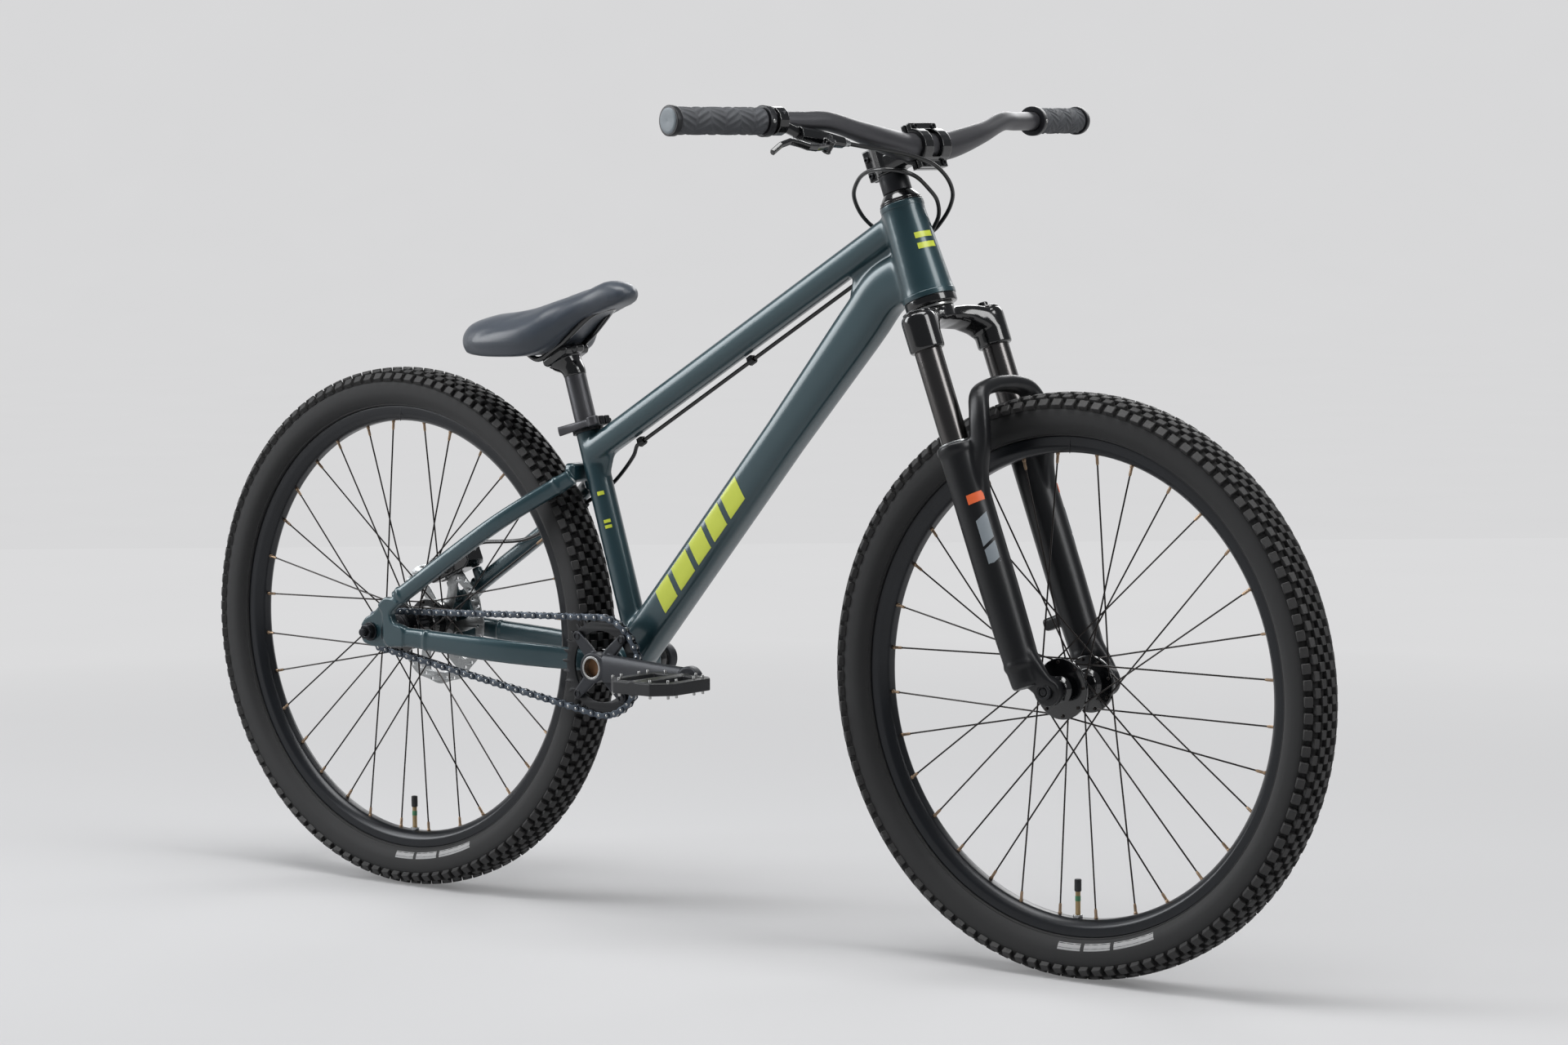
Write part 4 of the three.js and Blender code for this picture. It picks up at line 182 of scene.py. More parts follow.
def rounded(corners, radius, steps=3, closed=True):
    """A line of (x, y) corners with each corner turned into an arc."""
    result = []
    count = len(corners)
    for i, corner in enumerate(corners):
        if not closed and i in (0, count - 1):
            result.append(tuple(corner))
            continue
        here = Vector(corner)
        back = Vector(corners[i - 1]) - here
        ahead = Vector(corners[(i + 1) % count]) - here
        reach = min(radius, back.length * 0.45, ahead.length * 0.45)
        start, end = here + back.normalized() * reach, here + ahead.normalized() * reach
        for j in range(steps + 1):
            t = j / steps
            result.append(tuple(start * (1 - t) ** 2 + here * 2 * t * (1 - t) + end * t * t))
    return result


def circle(radius, count, x=0.0, z=0.0, start=0.0):
    """Points round a circle, as (x, z)."""
    return [(x + radius * math.cos(start + i / count * 2 * math.pi),
             z + radius * math.sin(start + i / count * 2 * math.pi)) for i in range(count)]


# Forms are a list of points and a list of faces
def together(*forms):
    """Several forms as one."""
    points, faces = [], []
    for form_points, form_faces in forms:
        start = len(points)
        points += form_points
        faces += [[corner + start for corner in face] for face in form_faces]
    return points, faces


def moved(form, matrix):
    """A form with its points carried by a matrix."""
    return [matrix @ point for point in form[0]], form[1]


def mirrored(form):
    """A form set on the bike's other side, its faces still pointing outwards."""
    return [Vector((p.x, -p.y, p.z)) for p in form[0]], [face[::-1] for face in form[1]]


def loft(rings, closed=False):
    """A skin over rings of points: an open one has its ends capped, a closed one runs round."""
    count = len(rings[0])
    points = [point for ring in rings for point in ring]
    faces = []
    spans = len(rings) if closed else len(rings) - 1
    for i in range(spans):
        here, there = i * count, (i + 1) % len(rings) * count
        for j in range(count):
            k = (j + 1) % count
            faces.append([here + j, there + j, there + k, here + k])
    if not closed:
        faces.append(list(range(count)))
        faces.append([len(points) - 1 - i for i in range(count)])
    return points, faces


def sweep(path, section_at, up=UP):
    """Sections set square to a path, with their first axis across the path."""
    rings = []
    for i, point in enumerate(path):
        ahead = (path[min(i + 1, len(path) - 1)] - path[max(i - 1, 0)]).normalized()
        side = up.cross(ahead).normalized()
        rise = ahead.cross(side)
        section = section_at(i / (len(path) - 1))
        rings.append([point + side * x + rise * y for x, y in section])
    return loft(rings)


def pipe(path, radius_at, sides=16):
    """A round section carried along a path without twist."""
    rings = []
    ahead = (path[1] - path[0]).normalized()
    side = ahead.orthogonal().normalized()
    for i, point in enumerate(path):
        turn_to = (path[min(i + 1, len(path) - 1)] - path[max(i - 1, 0)]).normalized()
        side = (ahead.rotation_difference(turn_to) @ side).normalized()
        ahead = turn_to
        rise = ahead.cross(side)
        radius = radius_at(i / (len(path) - 1)) if callable(radius_at) else radius_at
        rings.append([point + (side * math.cos(a) + rise * math.sin(a)) * radius
                      for a in (j / sides * 2 * math.pi for j in range(sides))])
    return loft(rings)


def turned(profile, centre, axis, segments=64):
    """A closed profile of (radius, height) turned about an axis."""
    axis = axis.normalized()
    side = (Vector((1, 0, 0)) - axis * axis.x).normalized()
    rise = axis.cross(side)
    rings = []
    for i in range(segments):
        angle = i / segments * 2 * math.pi
        out = side * math.cos(angle) + rise * math.sin(angle)
        rings.append([centre + out * max(radius, 0.001) + axis * height for radius, height in profile])
    return loft(rings, closed=True)


def ring_profile(inner, outer, low, high, corner=0.8):
    """The section of a ring to be turned, with softened corners."""
    return rounded([(inner, low), (outer, low), (outer, high), (inner, high)], corner, 3)


def rod(start, end, radius, corner=0.6, segments=40, end_radius=None):
    """A round bar with softened ends."""
    length = (end - start).length
    last = radius if end_radius is None else end_radius
    corners = [(0, 0), (radius, 0), (last, length), (0, length)]
    profile = [(0, 0), *rounded(corners, corner, 3, closed=False)[1:-1], (0, length)]
    return turned(profile, start, end - start, segments)


def slab(outline, y_from, y_to, holes=(), bevel=0.5, steps=2):
    """A flat outline of (x, z) with rounded edges, between two Y places."""
    data = bpy.data.curves.new("outline", "CURVE")
    data.dimensions, data.fill_mode = "2D", "BOTH"
    for loop in (outline, *holes):
        line = data.splines.new("POLY")
        line.points.add(len(loop) - 1)
        for point, (x, z) in zip(line.points, loop):
            point.co = (x, z, 0, 1)
        line.use_cyclic_u = True
    thickness = abs(y_to - y_from)
    bevel = min(bevel, thickness * 0.45)
    data.extrude, data.bevel_depth, data.offset = thickness / 2 - bevel, bevel, -bevel
    data.bevel_resolution = steps
    holder = bpy.data.objects.new("outline", data)
    bpy.context.scene.collection.objects.link(holder)
    graph = bpy.context.evaluated_depsgraph_get()
    mesh = bpy.data.meshes.new_from_object(holder.evaluated_get(graph))
    bpy.data.objects.remove(holder)
    bpy.data.curves.remove(data)
    middle = (y_from + y_to) / 2
    points = [Vector((v.co.x, middle - v.co.z, v.co.y)) for v in mesh.vertices]
    faces = [list(face.vertices) for face in mesh.polygons]
    bpy.data.meshes.remove(mesh)
    return points, faces


def block(size, bevel):
    """A box round the origin with bevelled edges."""
    work = bmesh.new()
    bmesh.ops.create_cube(work, size=1.0)
    bmesh.ops.scale(work, vec=Vector(size), verts=work.verts)
    bmesh.ops.bevel(work, geom=work.edges[:], offset=bevel, segments=1, affect="EDGES", profile=0.5)
    work.verts.index_update()
    form = ([v.co.copy() for v in work.verts], [[v.index for v in f.verts] for f in work.faces])
    work.free()
    return form


# From forms to objects
SHARP_ANGLE = math.radians(38)


def make_object(name, form, material, sharp=SHARP_ANGLE):
    """A form as an object: doubles merged, faces pointing outwards, one material."""
    points, faces = form
    mesh = bpy.data.meshes.new(name)
    mesh.from_pydata([point * MM for point in points], [], faces)
    work = bmesh.new()
    work.from_mesh(mesh)
    bmesh.ops.remove_doubles(work, verts=work.verts, dist=0.004 * MM)
    bmesh.ops.dissolve_degenerate(work, dist=0.002 * MM, edges=work.edges)
    bmesh.ops.recalc_face_normals(work, faces=work.faces)
    work.to_mesh(mesh)
    work.free()
    return finish_object(name, mesh, material, sharp)


def finish_object(name, mesh, material, sharp=SHARP_ANGLE):
    """Gives a mesh its material and shading, and puts it into the scene."""
    mesh.materials.clear()
    mesh.materials.append(material)
    mesh.shade_smooth()
    mesh.set_sharp_from_angle(angle=sharp)
    piece = bpy.data.objects.new(name, mesh)
    bpy.context.scene.collection.objects.link(piece)
    return piece


def baked(piece):
    """The piece's modifiers become part of its mesh."""
    graph = bpy.context.evaluated_depsgraph_get()
    mesh = bpy.data.meshes.new_from_object(piece.evaluated_get(graph))
    old = piece.data
    piece.modifiers.clear()
    piece.data = mesh
    bpy.data.meshes.remove(old)
    return piece


def fused(name, forms, voxel, rounds, material):
    """Overlapping forms become one skin, with soft fillets where they meet, as welds and castings have."""
    piece = make_object(name, together(*forms) if isinstance(forms, list) else forms, material)
    return fuse(piece, voxel, rounds)


def fuse(piece, voxel, rounds):
    """Remeshes a piece as one skin and softens it a number of rounds."""
    remesh = piece.modifiers.new("skin", "REMESH")
    remesh.mode = "VOXEL"
    remesh.voxel_size = voxel * MM
    remesh.use_smooth_shade = True
    if rounds:
        soften = piece.modifiers.new("soften", "SMOOTH")
        soften.factor, soften.iterations = 0.5, rounds
    baked(piece)
    piece.data.shade_smooth()
    return piece


def casting(name, node, voxel, rounds, material):
    """A cast or forged piece: the CAD solid's form with its edges and facets rounded."""
    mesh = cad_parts[node].data.copy()
    mesh.name = name
    mesh.materials.clear()
    mesh.materials.append(material)
    piece = bpy.data.objects.new(name, mesh)
    bpy.context.scene.collection.objects.link(piece)
    work = bmesh.new()
    work.from_mesh(mesh)
    bmesh.ops.remove_doubles(work, verts=work.verts, dist=0.01 * MM)
    bmesh.ops.recalc_face_normals(work, faces=work.faces)
    work.to_mesh(mesh)
    work.free()
    return fuse(piece, voxel, rounds)


def ride(piece, body, slot, *nodes):
    """Sets the body of a piece and hides the CAD nodes that it replaces; the slot is not used."""
    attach(piece, body)
    if nodes:
        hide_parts(*nodes)
    return piece


# One Geometry Nodes tree sets a template on every given place
def repeat_tree():
    """Inputs for the template, its scale and its material; each place brings its own turn."""
    tree = bpy.data.node_groups.new("set_on_places", "GeometryNodeTree")
    face = tree.interface
    face.new_socket("Geometry", in_out="INPUT", socket_type="NodeSocketGeometry")
    face.new_socket("Template", in_out="INPUT", socket_type="NodeSocketObject")
    face.new_socket("Scale", in_out="INPUT", socket_type="NodeSocketFloat")
    face.new_socket("Material", in_out="INPUT", socket_type="NodeSocketMaterial")
    face.new_socket("Geometry", in_out="OUTPUT", socket_type="NodeSocketGeometry")
    new = tree.nodes.new
    source, result = new("NodeGroupInput"), new("NodeGroupOutput")
    info, turn = new("GeometryNodeObjectInfo"), new("GeometryNodeInputNamedAttribute")
    to_rotation, instance = new("FunctionNodeEulerToRotation"), new("GeometryNodeInstanceOnPoints")
    realize, paint = new("GeometryNodeRealizeInstances"), new("GeometryNodeSetMaterial")
    turn.data_type = "FLOAT_VECTOR"
    turn.inputs["Name"].default_value = "turn"
    link = tree.links.new
    link(source.outputs["Template"], info.inputs["Object"])
    link(source.outputs["Geometry"], instance.inputs["Points"])
    link(info.outputs["Geometry"], instance.inputs["Instance"])
    link(turn.outputs["Attribute"], to_rotation.inputs["Euler"])
    link(to_rotation.outputs["Rotation"], instance.inputs["Rotation"])
    link(source.outputs["Scale"], instance.inputs["Scale"])
    link(instance.outputs["Instances"], realize.inputs["Geometry"])
    link(realize.outputs["Geometry"], paint.inputs["Geometry"])
    link(source.outputs["Material"], paint.inputs["Material"])
    link(paint.outputs["Geometry"], result.inputs["Geometry"])
    return tree


REPEAT = repeat_tree()


def repeat(name, form, places, material, sharp=SHARP_ANGLE):
    """One form set on many places; each place is a matrix in millimetres."""
    template = make_object(name + "_template", form, material, sharp)
    mesh = bpy.data.meshes.new(name)
    mesh.from_pydata([place.to_translation() * MM for place in places], [], [])
    turns = mesh.attributes.new("turn", "FLOAT_VECTOR", "POINT")
    turns.data.foreach_set("vector", [n for place in places for n in place.to_euler()])
    piece = bpy.data.objects.new(name, mesh)
    bpy.context.scene.collection.objects.link(piece)
    modifier = piece.modifiers.new("places", "NODES")
    modifier.node_group = REPEAT
    values = {"Template": template, "Scale": 1.0, "Material": material}
    for socket in REPEAT.interface.items_tree:
        if socket.in_out == "INPUT" and socket.name in values:
            modifier[socket.identifier] = values[socket.name]
    baked(piece)
    for attribute in [a.name for a in piece.data.attributes if a.name == "turn"]:
        piece.data.attributes.remove(piece.data.attributes[attribute])
    bpy.data.objects.remove(template)
    piece.data.set_sharp_from_angle(angle=sharp)
    return piece


def place_at(point, toward=None, x_toward=None):
    """A matrix at a point whose Z axis looks along toward."""
    toward = UP if toward is None else toward.normalized()
    if x_toward is None:
        turn = UP.rotation_difference(toward).to_matrix()
    else:
        side = (x_toward - toward * x_toward.dot(toward)).normalized()
        turn = Matrix((side, toward.cross(side), toward)).transposed()
    return Matrix.Translation(point) @ turn.to_4x4()


# Finishes
def linear(red, green, blue):
    """A colour as seen, 0 to 255, as light."""
    return tuple((c / 255 / 12.92 if c / 255 <= 0.04045 else ((c / 255 + 0.055) / 1.055) ** 2.4)
                 for c in (red, green, blue)) + (1.0,)


def surface(name, colour, second, rough, metal=0.0, coat=0.0, coat_rough=0.08, patch=60, grain=900, bump=0.1,
            rough_swing=0.06, depth=0.0002, sheen=0.0, stretch=(1, 1, 1), ior=1.5):
    """Two close colours in soft patches, with a fine grain in the roughness and the bump."""
    material = bpy.data.materials.new(name)
    material.use_nodes = True
    nodes, link = material.node_tree.nodes, material.node_tree.links.new
    shader = nodes["Principled BSDF"]
    where = nodes.new("ShaderNodeTexCoord")
    scale = nodes.new("ShaderNodeMapping")
    scale.inputs["Scale"].default_value = stretch
    link(where.outputs["Object"], scale.inputs["Vector"])
    patches, grains = nodes.new("ShaderNodeTexNoise"), nodes.new("ShaderNodeTexNoise")
    patches.inputs["Scale"].default_value, patches.inputs["Detail"].default_value = patch, 3
    grains.inputs["Scale"].default_value, grains.inputs["Detail"].default_value = grain, 2
    link(scale.outputs["Vector"], patches.inputs["Vector"])
    link(scale.outputs["Vector"], grains.inputs["Vector"])
    blend = nodes.new("ShaderNodeMix")
    blend.data_type = "RGBA"
    blend.inputs["A"].default_value, blend.inputs["B"].default_value = linear(*colour), linear(*second)
    link(patches.outputs["Fac"], blend.inputs["Factor"])
    link(blend.outputs["Result"], shader.inputs["Base Color"])
    swing = nodes.new("ShaderNodeMapRange")
    swing.inputs["To Min"].default_value = max(rough - rough_swing, 0.02)
    swing.inputs["To Max"].default_value = rough + rough_swing
    link(grains.outputs["Fac"], swing.inputs["Value"])
    link(swing.outputs["Result"], shader.inputs["Roughness"])
    if bump:
        relief = nodes.new("ShaderNodeBump")
        relief.inputs["Strength"].default_value, relief.inputs["Distance"].default_value = bump, depth
        link(grains.outputs["Fac"], relief.inputs["Height"])
        link(relief.outputs["Normal"], shader.inputs["Normal"])
    shader.inputs["Metallic"].default_value = metal
    shader.inputs["IOR"].default_value = ior
    shader.inputs["Coat Weight"].default_value = coat
    shader.inputs["Coat Roughness"].default_value = coat_rough
    shader.inputs["Sheen Weight"].default_value = sheen
    return material


teal_paint = surface("teal_gloss_paint", (26, 55, 62), (30, 61, 69), 0.38, 0.35, coat=0.8, coat_rough=0.17,
                     patch=14, grain=400, bump=0.01, rough_swing=0.02)
lime_mark = surface("lime_mark", (196, 208, 62), (204, 214, 72), 0.4, grain=1200, bump=0.02, coat=0.3)
grey_mark = surface("grey_mark", (118, 126, 132), (132, 140, 146), 0.5, grain=1200, bump=0.03)
orange_mark = surface("orange_mark", (214, 92, 46), (222, 102, 54), 0.5, grain=1200, bump=0.02)
label_white = surface("label_white", (150, 150, 150), (170, 170, 170), 0.6, grain=1200, bump=0.05, patch=300)
gloss_black = surface("gloss_black", (6, 7, 9), (9, 10, 12), 0.16, coat=0.6, coat_rough=0.05, patch=30,
                      grain=1400, bump=0.02)
satin_black = surface("satin_black", (23, 24, 27), (30, 31, 35), 0.38, 0.35, patch=40, grain=2200, bump=0.06)
bar_black = surface("bar_black", (72, 72, 75), (80, 80, 83), 0.4, 0.7, patch=40, grain=2400, bump=0.06)
crank_grey = surface("crank_grey", (38, 40, 44), (46, 48, 53), 0.42, 0.45, patch=40, grain=2400, bump=0.08)
matte_charcoal = surface("matte_charcoal", (19, 20, 22), (24, 25, 28), 0.36, 0.3, patch=40, grain=2600,
                         bump=0.06)
mirror_black = surface("mirror_black", (86, 84, 84), (94, 92, 91), 0.24, 1.0, patch=20, grain=800, bump=0.0,
                       rough_swing=0.02)
bright_steel = surface("bright_steel", (176, 176, 174), (158, 158, 157), 0.28, 1.0, patch=90, grain=1500,
                       bump=0.05)
dark_steel = surface("dark_steel", (38, 39, 42), (52, 53, 57), 0.32, 0.8, patch=90, grain=1500, bump=0.05)
brushed_steel = surface("brushed_steel", (176, 178, 178), (138, 140, 141), 0.3, 1.0, patch=300, grain=2600,
                        bump=0.1, rough_swing=0.1)
nipple_bronze = surface("nipple_bronze", (164, 140, 116), (142, 120, 98), 0.38, 0.8, patch=120, grain=1500,
                        bump=0.04)
valve_brass = surface("valve_brass", (170, 148, 112), (150, 130, 96), 0.34, 0.9, patch=120, grain=1500,
                      bump=0.04)
chain_blue = surface("chain_plates", (74, 82, 92), (60, 67, 76), 0.34, 0.6, patch=160, grain=1500, bump=0.06)
spoke_black = surface("spoke_black", (30, 26, 25), (38, 33, 31), 0.35, 0.6, patch=80, grain=1500, bump=0.03)
rim_grey = surface("rim_satin", (18, 20, 24), (25, 28, 33), 0.3, 0.3, patch=30, grain=1800, bump=0.03)
rubber_grey = surface("tyre_rubber", (21, 21, 22), (27, 27, 28), 0.7, patch=50, grain=1400, bump=0.2,
                      depth=0.0004, sheen=0.05)
tread_grey = surface("tread_rubber", (33, 33, 33), (41, 40, 40), 0.6, patch=120, grain=1600, bump=0.25,
                     depth=0.0005)
# Painted shade: the tread bed is coloured darker than the tyre's rubber to stand for the shade between the
# knobs.
painted_gap_shade = surface("tread_gap_painted_shade", (10, 10, 10), (14, 14, 14), 0.85, patch=120, grain=1600, bump=0.2,
                    depth=0.0004)
grip_rubber = surface("grip_rubber", (56, 58, 61), (68, 70, 74), 0.7, patch=120, grain=2400, bump=0.25,
                      depth=0.0003)
hose_black = surface("hose_black", (12, 12, 13), (17, 17, 18), 0.3, patch=100, grain=2000, bump=0.03,
                     coat=0.3)
moulded_plastic = surface("moulded_plastic", (22, 23, 25), (29, 30, 33), 0.45, patch=90, grain=2600,
                          bump=0.15, depth=0.0003)
saddle_vinyl = surface("saddle_vinyl", (52, 58, 67), (59, 66, 75), 0.36, patch=40, grain=1500, bump=0.2,
                       depth=0.0003, sheen=0.1)
bore_brown = surface("bore_brown", (128, 92, 60), (104, 72, 46), 0.5, 0.4, patch=200, grain=1800, bump=0.1)
valve_green = surface("valve_green", (64, 120, 84), (74, 134, 94), 0.45, patch=200, grain=1800, bump=0.05)


# Camera, lights and floor
# The camera's place is in metres
CAMERA_PLACE = Vector((3.27403, -3.91314, 0.94747))
CAMERA_AZIMUTH, CAMERA_ELEVATION, CAMERA_ROLL = math.radians(39.08), math.radians(5.072), math.radians(-0.428)


def set_camera():
    """The camera, fitted to both wheels in the photograph."""
    data = bpy.data.cameras.new("camera")
    data.sensor_width, data.lens = 36, 97.18
    camera = bpy.data.objects.new("camera", data)
    bpy.context.scene.collection.objects.link(camera)
    azimuth, elevation = CAMERA_AZIMUTH, CAMERA_ELEVATION
    back = Vector((math.sin(azimuth) * math.cos(elevation), -math.cos(azimuth) * math.cos(elevation),
                   math.sin(elevation)))
    right = UP.cross(back).normalized()
    up = back.cross(right)
    c, s = math.cos(CAMERA_ROLL), math.sin(CAMERA_ROLL)
    turned_right, turned_up = right * c + up * s, up * c - right * s
    turn = Matrix((turned_right, turned_up, back)).transposed()
    camera.matrix_world = Matrix.Translation(CAMERA_PLACE) @ turn.to_4x4()
    data.clip_end = 60
    bpy.context.scene.camera = camera


def area_light(name, place, target, size, watts, colour=(1, 1, 1)):
    """A rectangular lamp that looks at a target."""
    data = bpy.data.lights.new(name, "AREA")
    data.shape, data.size, data.size_y = "RECTANGLE", size[0], size[1]
    data.energy, data.color = watts, colour
    lamp = bpy.data.objects.new(name, data)
    bpy.context.scene.collection.objects.link(lamp)
    lamp.location = place
    lamp.rotation_mode = "QUATERNION"
    lamp.rotation_quaternion = (Vector(target) - Vector(place)).to_track_quat("-Z", "Y")


PAPER, PAPER_FLOOR, FLOOR_LIT = (216, 216, 217), (219, 219, 220), (188, 188, 189)
FLOOR_SHOWN, WORLD_IN_GLOSS = 0.24, 0.15


def pale_rays(nodes, link, in_gloss=1.0):
    """1 for rays of the camera and through glass, which show the pale studio as it is; a share in gloss."""
    path, first, second = (nodes.new("ShaderNode" + kind) for kind in ("LightPath", "Math", "Math"))
    first.operation = second.operation = "MAXIMUM"
    link(path.outputs["Is Camera Ray"], first.inputs[0])
    link(path.outputs["Is Transmission Ray"], first.inputs[1])
    share = nodes.new("ShaderNodeMath")
    share.operation = "MULTIPLY"
    link(path.outputs["Is Glossy Ray"], share.inputs[0])
    share.inputs[1].default_value = in_gloss
    link(first.outputs["Value"], second.inputs[0])
    link(share.outputs["Value"], second.inputs[1])
    return second.outputs["Value"]


def paper(name, colour, lit, shown):
    """Pale paper: part of its colour is given as it is seen, the rest takes the light and the shadows."""
    material = bpy.data.materials.new(name)
    material.use_nodes = True
    nodes, link = material.node_tree.nodes, material.node_tree.links.new
    shader = nodes["Principled BSDF"]
    where, fibre = nodes.new("ShaderNodeTexCoord"), nodes.new("ShaderNodeTexNoise")
    fibre.inputs["Scale"].default_value = 3
    link(where.outputs["Object"], fibre.inputs["Vector"])
    blend = nodes.new("ShaderNodeMix")
    blend.data_type = "RGBA"
    blend.inputs["A"].default_value = linear(*(c - 1 for c in colour))
    blend.inputs["B"].default_value = linear(*(c + 1 for c in colour))
    link(fibre.outputs["Fac"], blend.inputs["Factor"])
    shader.inputs["Base Color"].default_value = linear(*lit)
    shader.inputs["Roughness"].default_value = 0.9
    shader.inputs["Specular IOR Level"].default_value = 0.0
    seen = nodes.new("ShaderNodeEmission")
    reach, fade = nodes.new("ShaderNodeVectorMath"), nodes.new("ShaderNodeMapRange")
    reach.operation = "LENGTH"
    link(where.outputs["Object"], reach.inputs[0])
    link(reach.outputs["Value"], fade.inputs["Value"])
    fade.inputs["From Min"].default_value, fade.inputs["From Max"].default_value = 0.8, 3.0
    fade.inputs["To Min"].default_value, fade.inputs["To Max"].default_value = shown, 1.0
    amount, choose = nodes.new("ShaderNodeMath"), nodes.new("ShaderNodeMixShader")
    link(blend.outputs["Result"], seen.inputs["Color"])
    seen.inputs["Strength"].default_value = 1.0
    amount.operation = "MULTIPLY"
    link(fade.outputs["Result"], amount.inputs[1])
    link(pale_rays(nodes, link), amount.inputs[0])
    link(amount.outputs["Value"], choose.inputs["Fac"])
    link(shader.outputs["BSDF"], choose.inputs[1])
    link(seen.outputs["Emission"], choose.inputs[2])
    link(choose.outputs["Shader"], nodes["Material Output"].inputs["Surface"])
    return material


def set_stage():
    """Floor, backdrop, world and lamps of the studio, in metres."""
    reach, wall, bend = 16, 9, 3
    floor_line = [(-reach, 0), (-4, 0), (0, 0), (2.5, 0), (5, 0)]
    wall_line = [(5, 0), (reach - bend, 0)]
    wall_line += [(reach - bend + bend * math.sin(a), bend - bend * math.cos(a))
                  for a in (i / 12 * math.pi / 2 for i in range(1, 13))]
    wall_line += [(reach, wall)]
    direction = Vector((-math.sin(CAMERA_AZIMUTH), math.cos(CAMERA_AZIMUTH), 0))
    side = UP.cross(direction)
    sheets = (("studio_floor", floor_line, paper("paper_floor", PAPER_FLOOR, FLOOR_LIT, FLOOR_SHOWN)),
              ("studio_backdrop", wall_line, paper("paper_backdrop", PAPER, PAPER, 1.0)))
    for name, profile, material in sheets:
        rings = [[direction * d + side * w + Vector((0, 0, z)) for d, z in profile] for w in (-20, 20)]
        count = len(profile)
        faces = [[i, i + 1, count + i + 1, count + i] for i in range(count - 1)]
        mesh = bpy.data.meshes.new(name)
        mesh.from_pydata([p for ring in rings for p in ring], [], faces)
        mesh.materials.append(material)
        mesh.shade_smooth()
        sheet = bpy.data.objects.new(name, mesh)
        bpy.context.scene.collection.objects.link(sheet)
        sheet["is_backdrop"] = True
    world = bpy.data.worlds.new("studio")
    bpy.context.scene.world = world
    world.use_nodes = True
    nodes, link = world.node_tree.nodes, world.node_tree.links.new
    room, pale = nodes["Background"], nodes.new("ShaderNodeBackground")
    room.inputs["Color"].default_value, room.inputs["Strength"].default_value = linear(150, 154, 160), 0.3
    pale.inputs["Color"].default_value, pale.inputs["Strength"].default_value = linear(*PAPER), 1.0
    choose = nodes.new("ShaderNodeMixShader")
    link(pale_rays(nodes, link, WORLD_IN_GLOSS), choose.inputs["Fac"])
    link(room.outputs["Background"], choose.inputs[1])
    link(pale.outputs["Background"], choose.inputs[2])
    link(choose.outputs["Shader"], nodes["World Output"].inputs["Surface"])
    view = bpy.context.scene.view_settings
    view.view_transform = "Standard"
    area_light("overhead", (0.2, -0.5, 3.4), (0, 0, 0.4), (3.6, 1.3), 118)
    area_light("left_strip", (-3.4, -2.2, 2.0), (0, 0, 0.6), (1.8, 2.6), 112, (0.97, 0.985, 1.0))
    area_light("right_strip", (4.0, 0.25, 2.8), (0.3, 0, 0.6), (1.6, 2.6), 84)
    area_light("behind", (-1.2, 3.8, 2.4), (0, 0, 0.6), (3.2, 1.2), 60)


# Wheels
RIM = {"radius": 285.5, "half": 15, "wall": 1.8, "inner": 266, "nose": 5.5}
TYRE = {"half": 27.3, "top": 328.8, "middle": 308.75, "squareness": 2.6}
# Rows of knobs: distance from the tread's middle, length, width and height
KNOB_ROWS = ((0.0, 10.6, 7.8, 5.8), (8.7, 10.6, 7.8, 5.8), (16.9, 11.0, 7.4, 5.9), (23.8, 11.6, 9.4, 5.6))
KNOBS_ROUND = 112
SPOKES_A_SIDE = 16
# Radius and side of the side wall, from its widest place to the bead
SIDE_WALL = [(303, 27.2), (297, 26), (292.6, 23.6), (289.2, 20.4), (287.4, 17.9), (286.3, 17.2),
             (285.9, 16.2), (285.9, 13.4), (283.5, 13)]
# Where the plain labels start and end round the wheel, in degrees
LABEL_ANGLES = ((-92, -86), (-85, -78), (-77, -66))


def casing_point(share):
    """Radius and side of the casing from the crown, share 0, to its widest place, share 1."""
    angle = share * math.pi / 2
    power = 2 / TYRE["squareness"]
    rise = TYRE["top"] - TYRE["middle"]
    return (TYRE["middle"] + rise * math.cos(angle) ** power, TYRE["half"] * math.sin(angle) ** power)


def casing_radius(y):
    """The casing's radius at a distance from the middle of the tread."""
    rise = TYRE["top"] - TYRE["middle"]
    q = TYRE["squareness"]
    return TYRE["middle"] + rise * (1 - (abs(y) / TYRE["half"]) ** q) ** (1 / q)


def tyre_profile():
    """The casing's section, from one bead over the crown to the other."""
    crown = [casing_point(i / 14) for i in range(15)]
    half = crown + SIDE_WALL
    other = [(r, -y) for r, y in half[1:]]
    return [*reversed(other), *half]


def wall_band(centre, sign, low, high, start, end, lift):
    """A thin strip of the side wall between two radii and two angles."""
    rings = []
    for i in range(41):
        angle = mix(start, end, i / 40)
        out = Vector((math.cos(angle), 0, math.sin(angle)))
        outer = [(mix(low, high, j / 5), wall_side(mix(low, high, j / 5)) + lift) for j in range(6)]
        inner = [(r, y - 0.6) for r, y in reversed(outer)]
        rings.append([centre + out * r + ACROSS * sign * y for r, y in outer + inner])
    return loft(rings)


def wall_side(radius):
    """How far the side wall stands from the wheel's middle at a radius."""
    line = [(r, y) for r, y in SIDE_WALL if r > 287]
    return along([r for r, y in reversed(line)], [y for r, y in reversed(line)], radius)


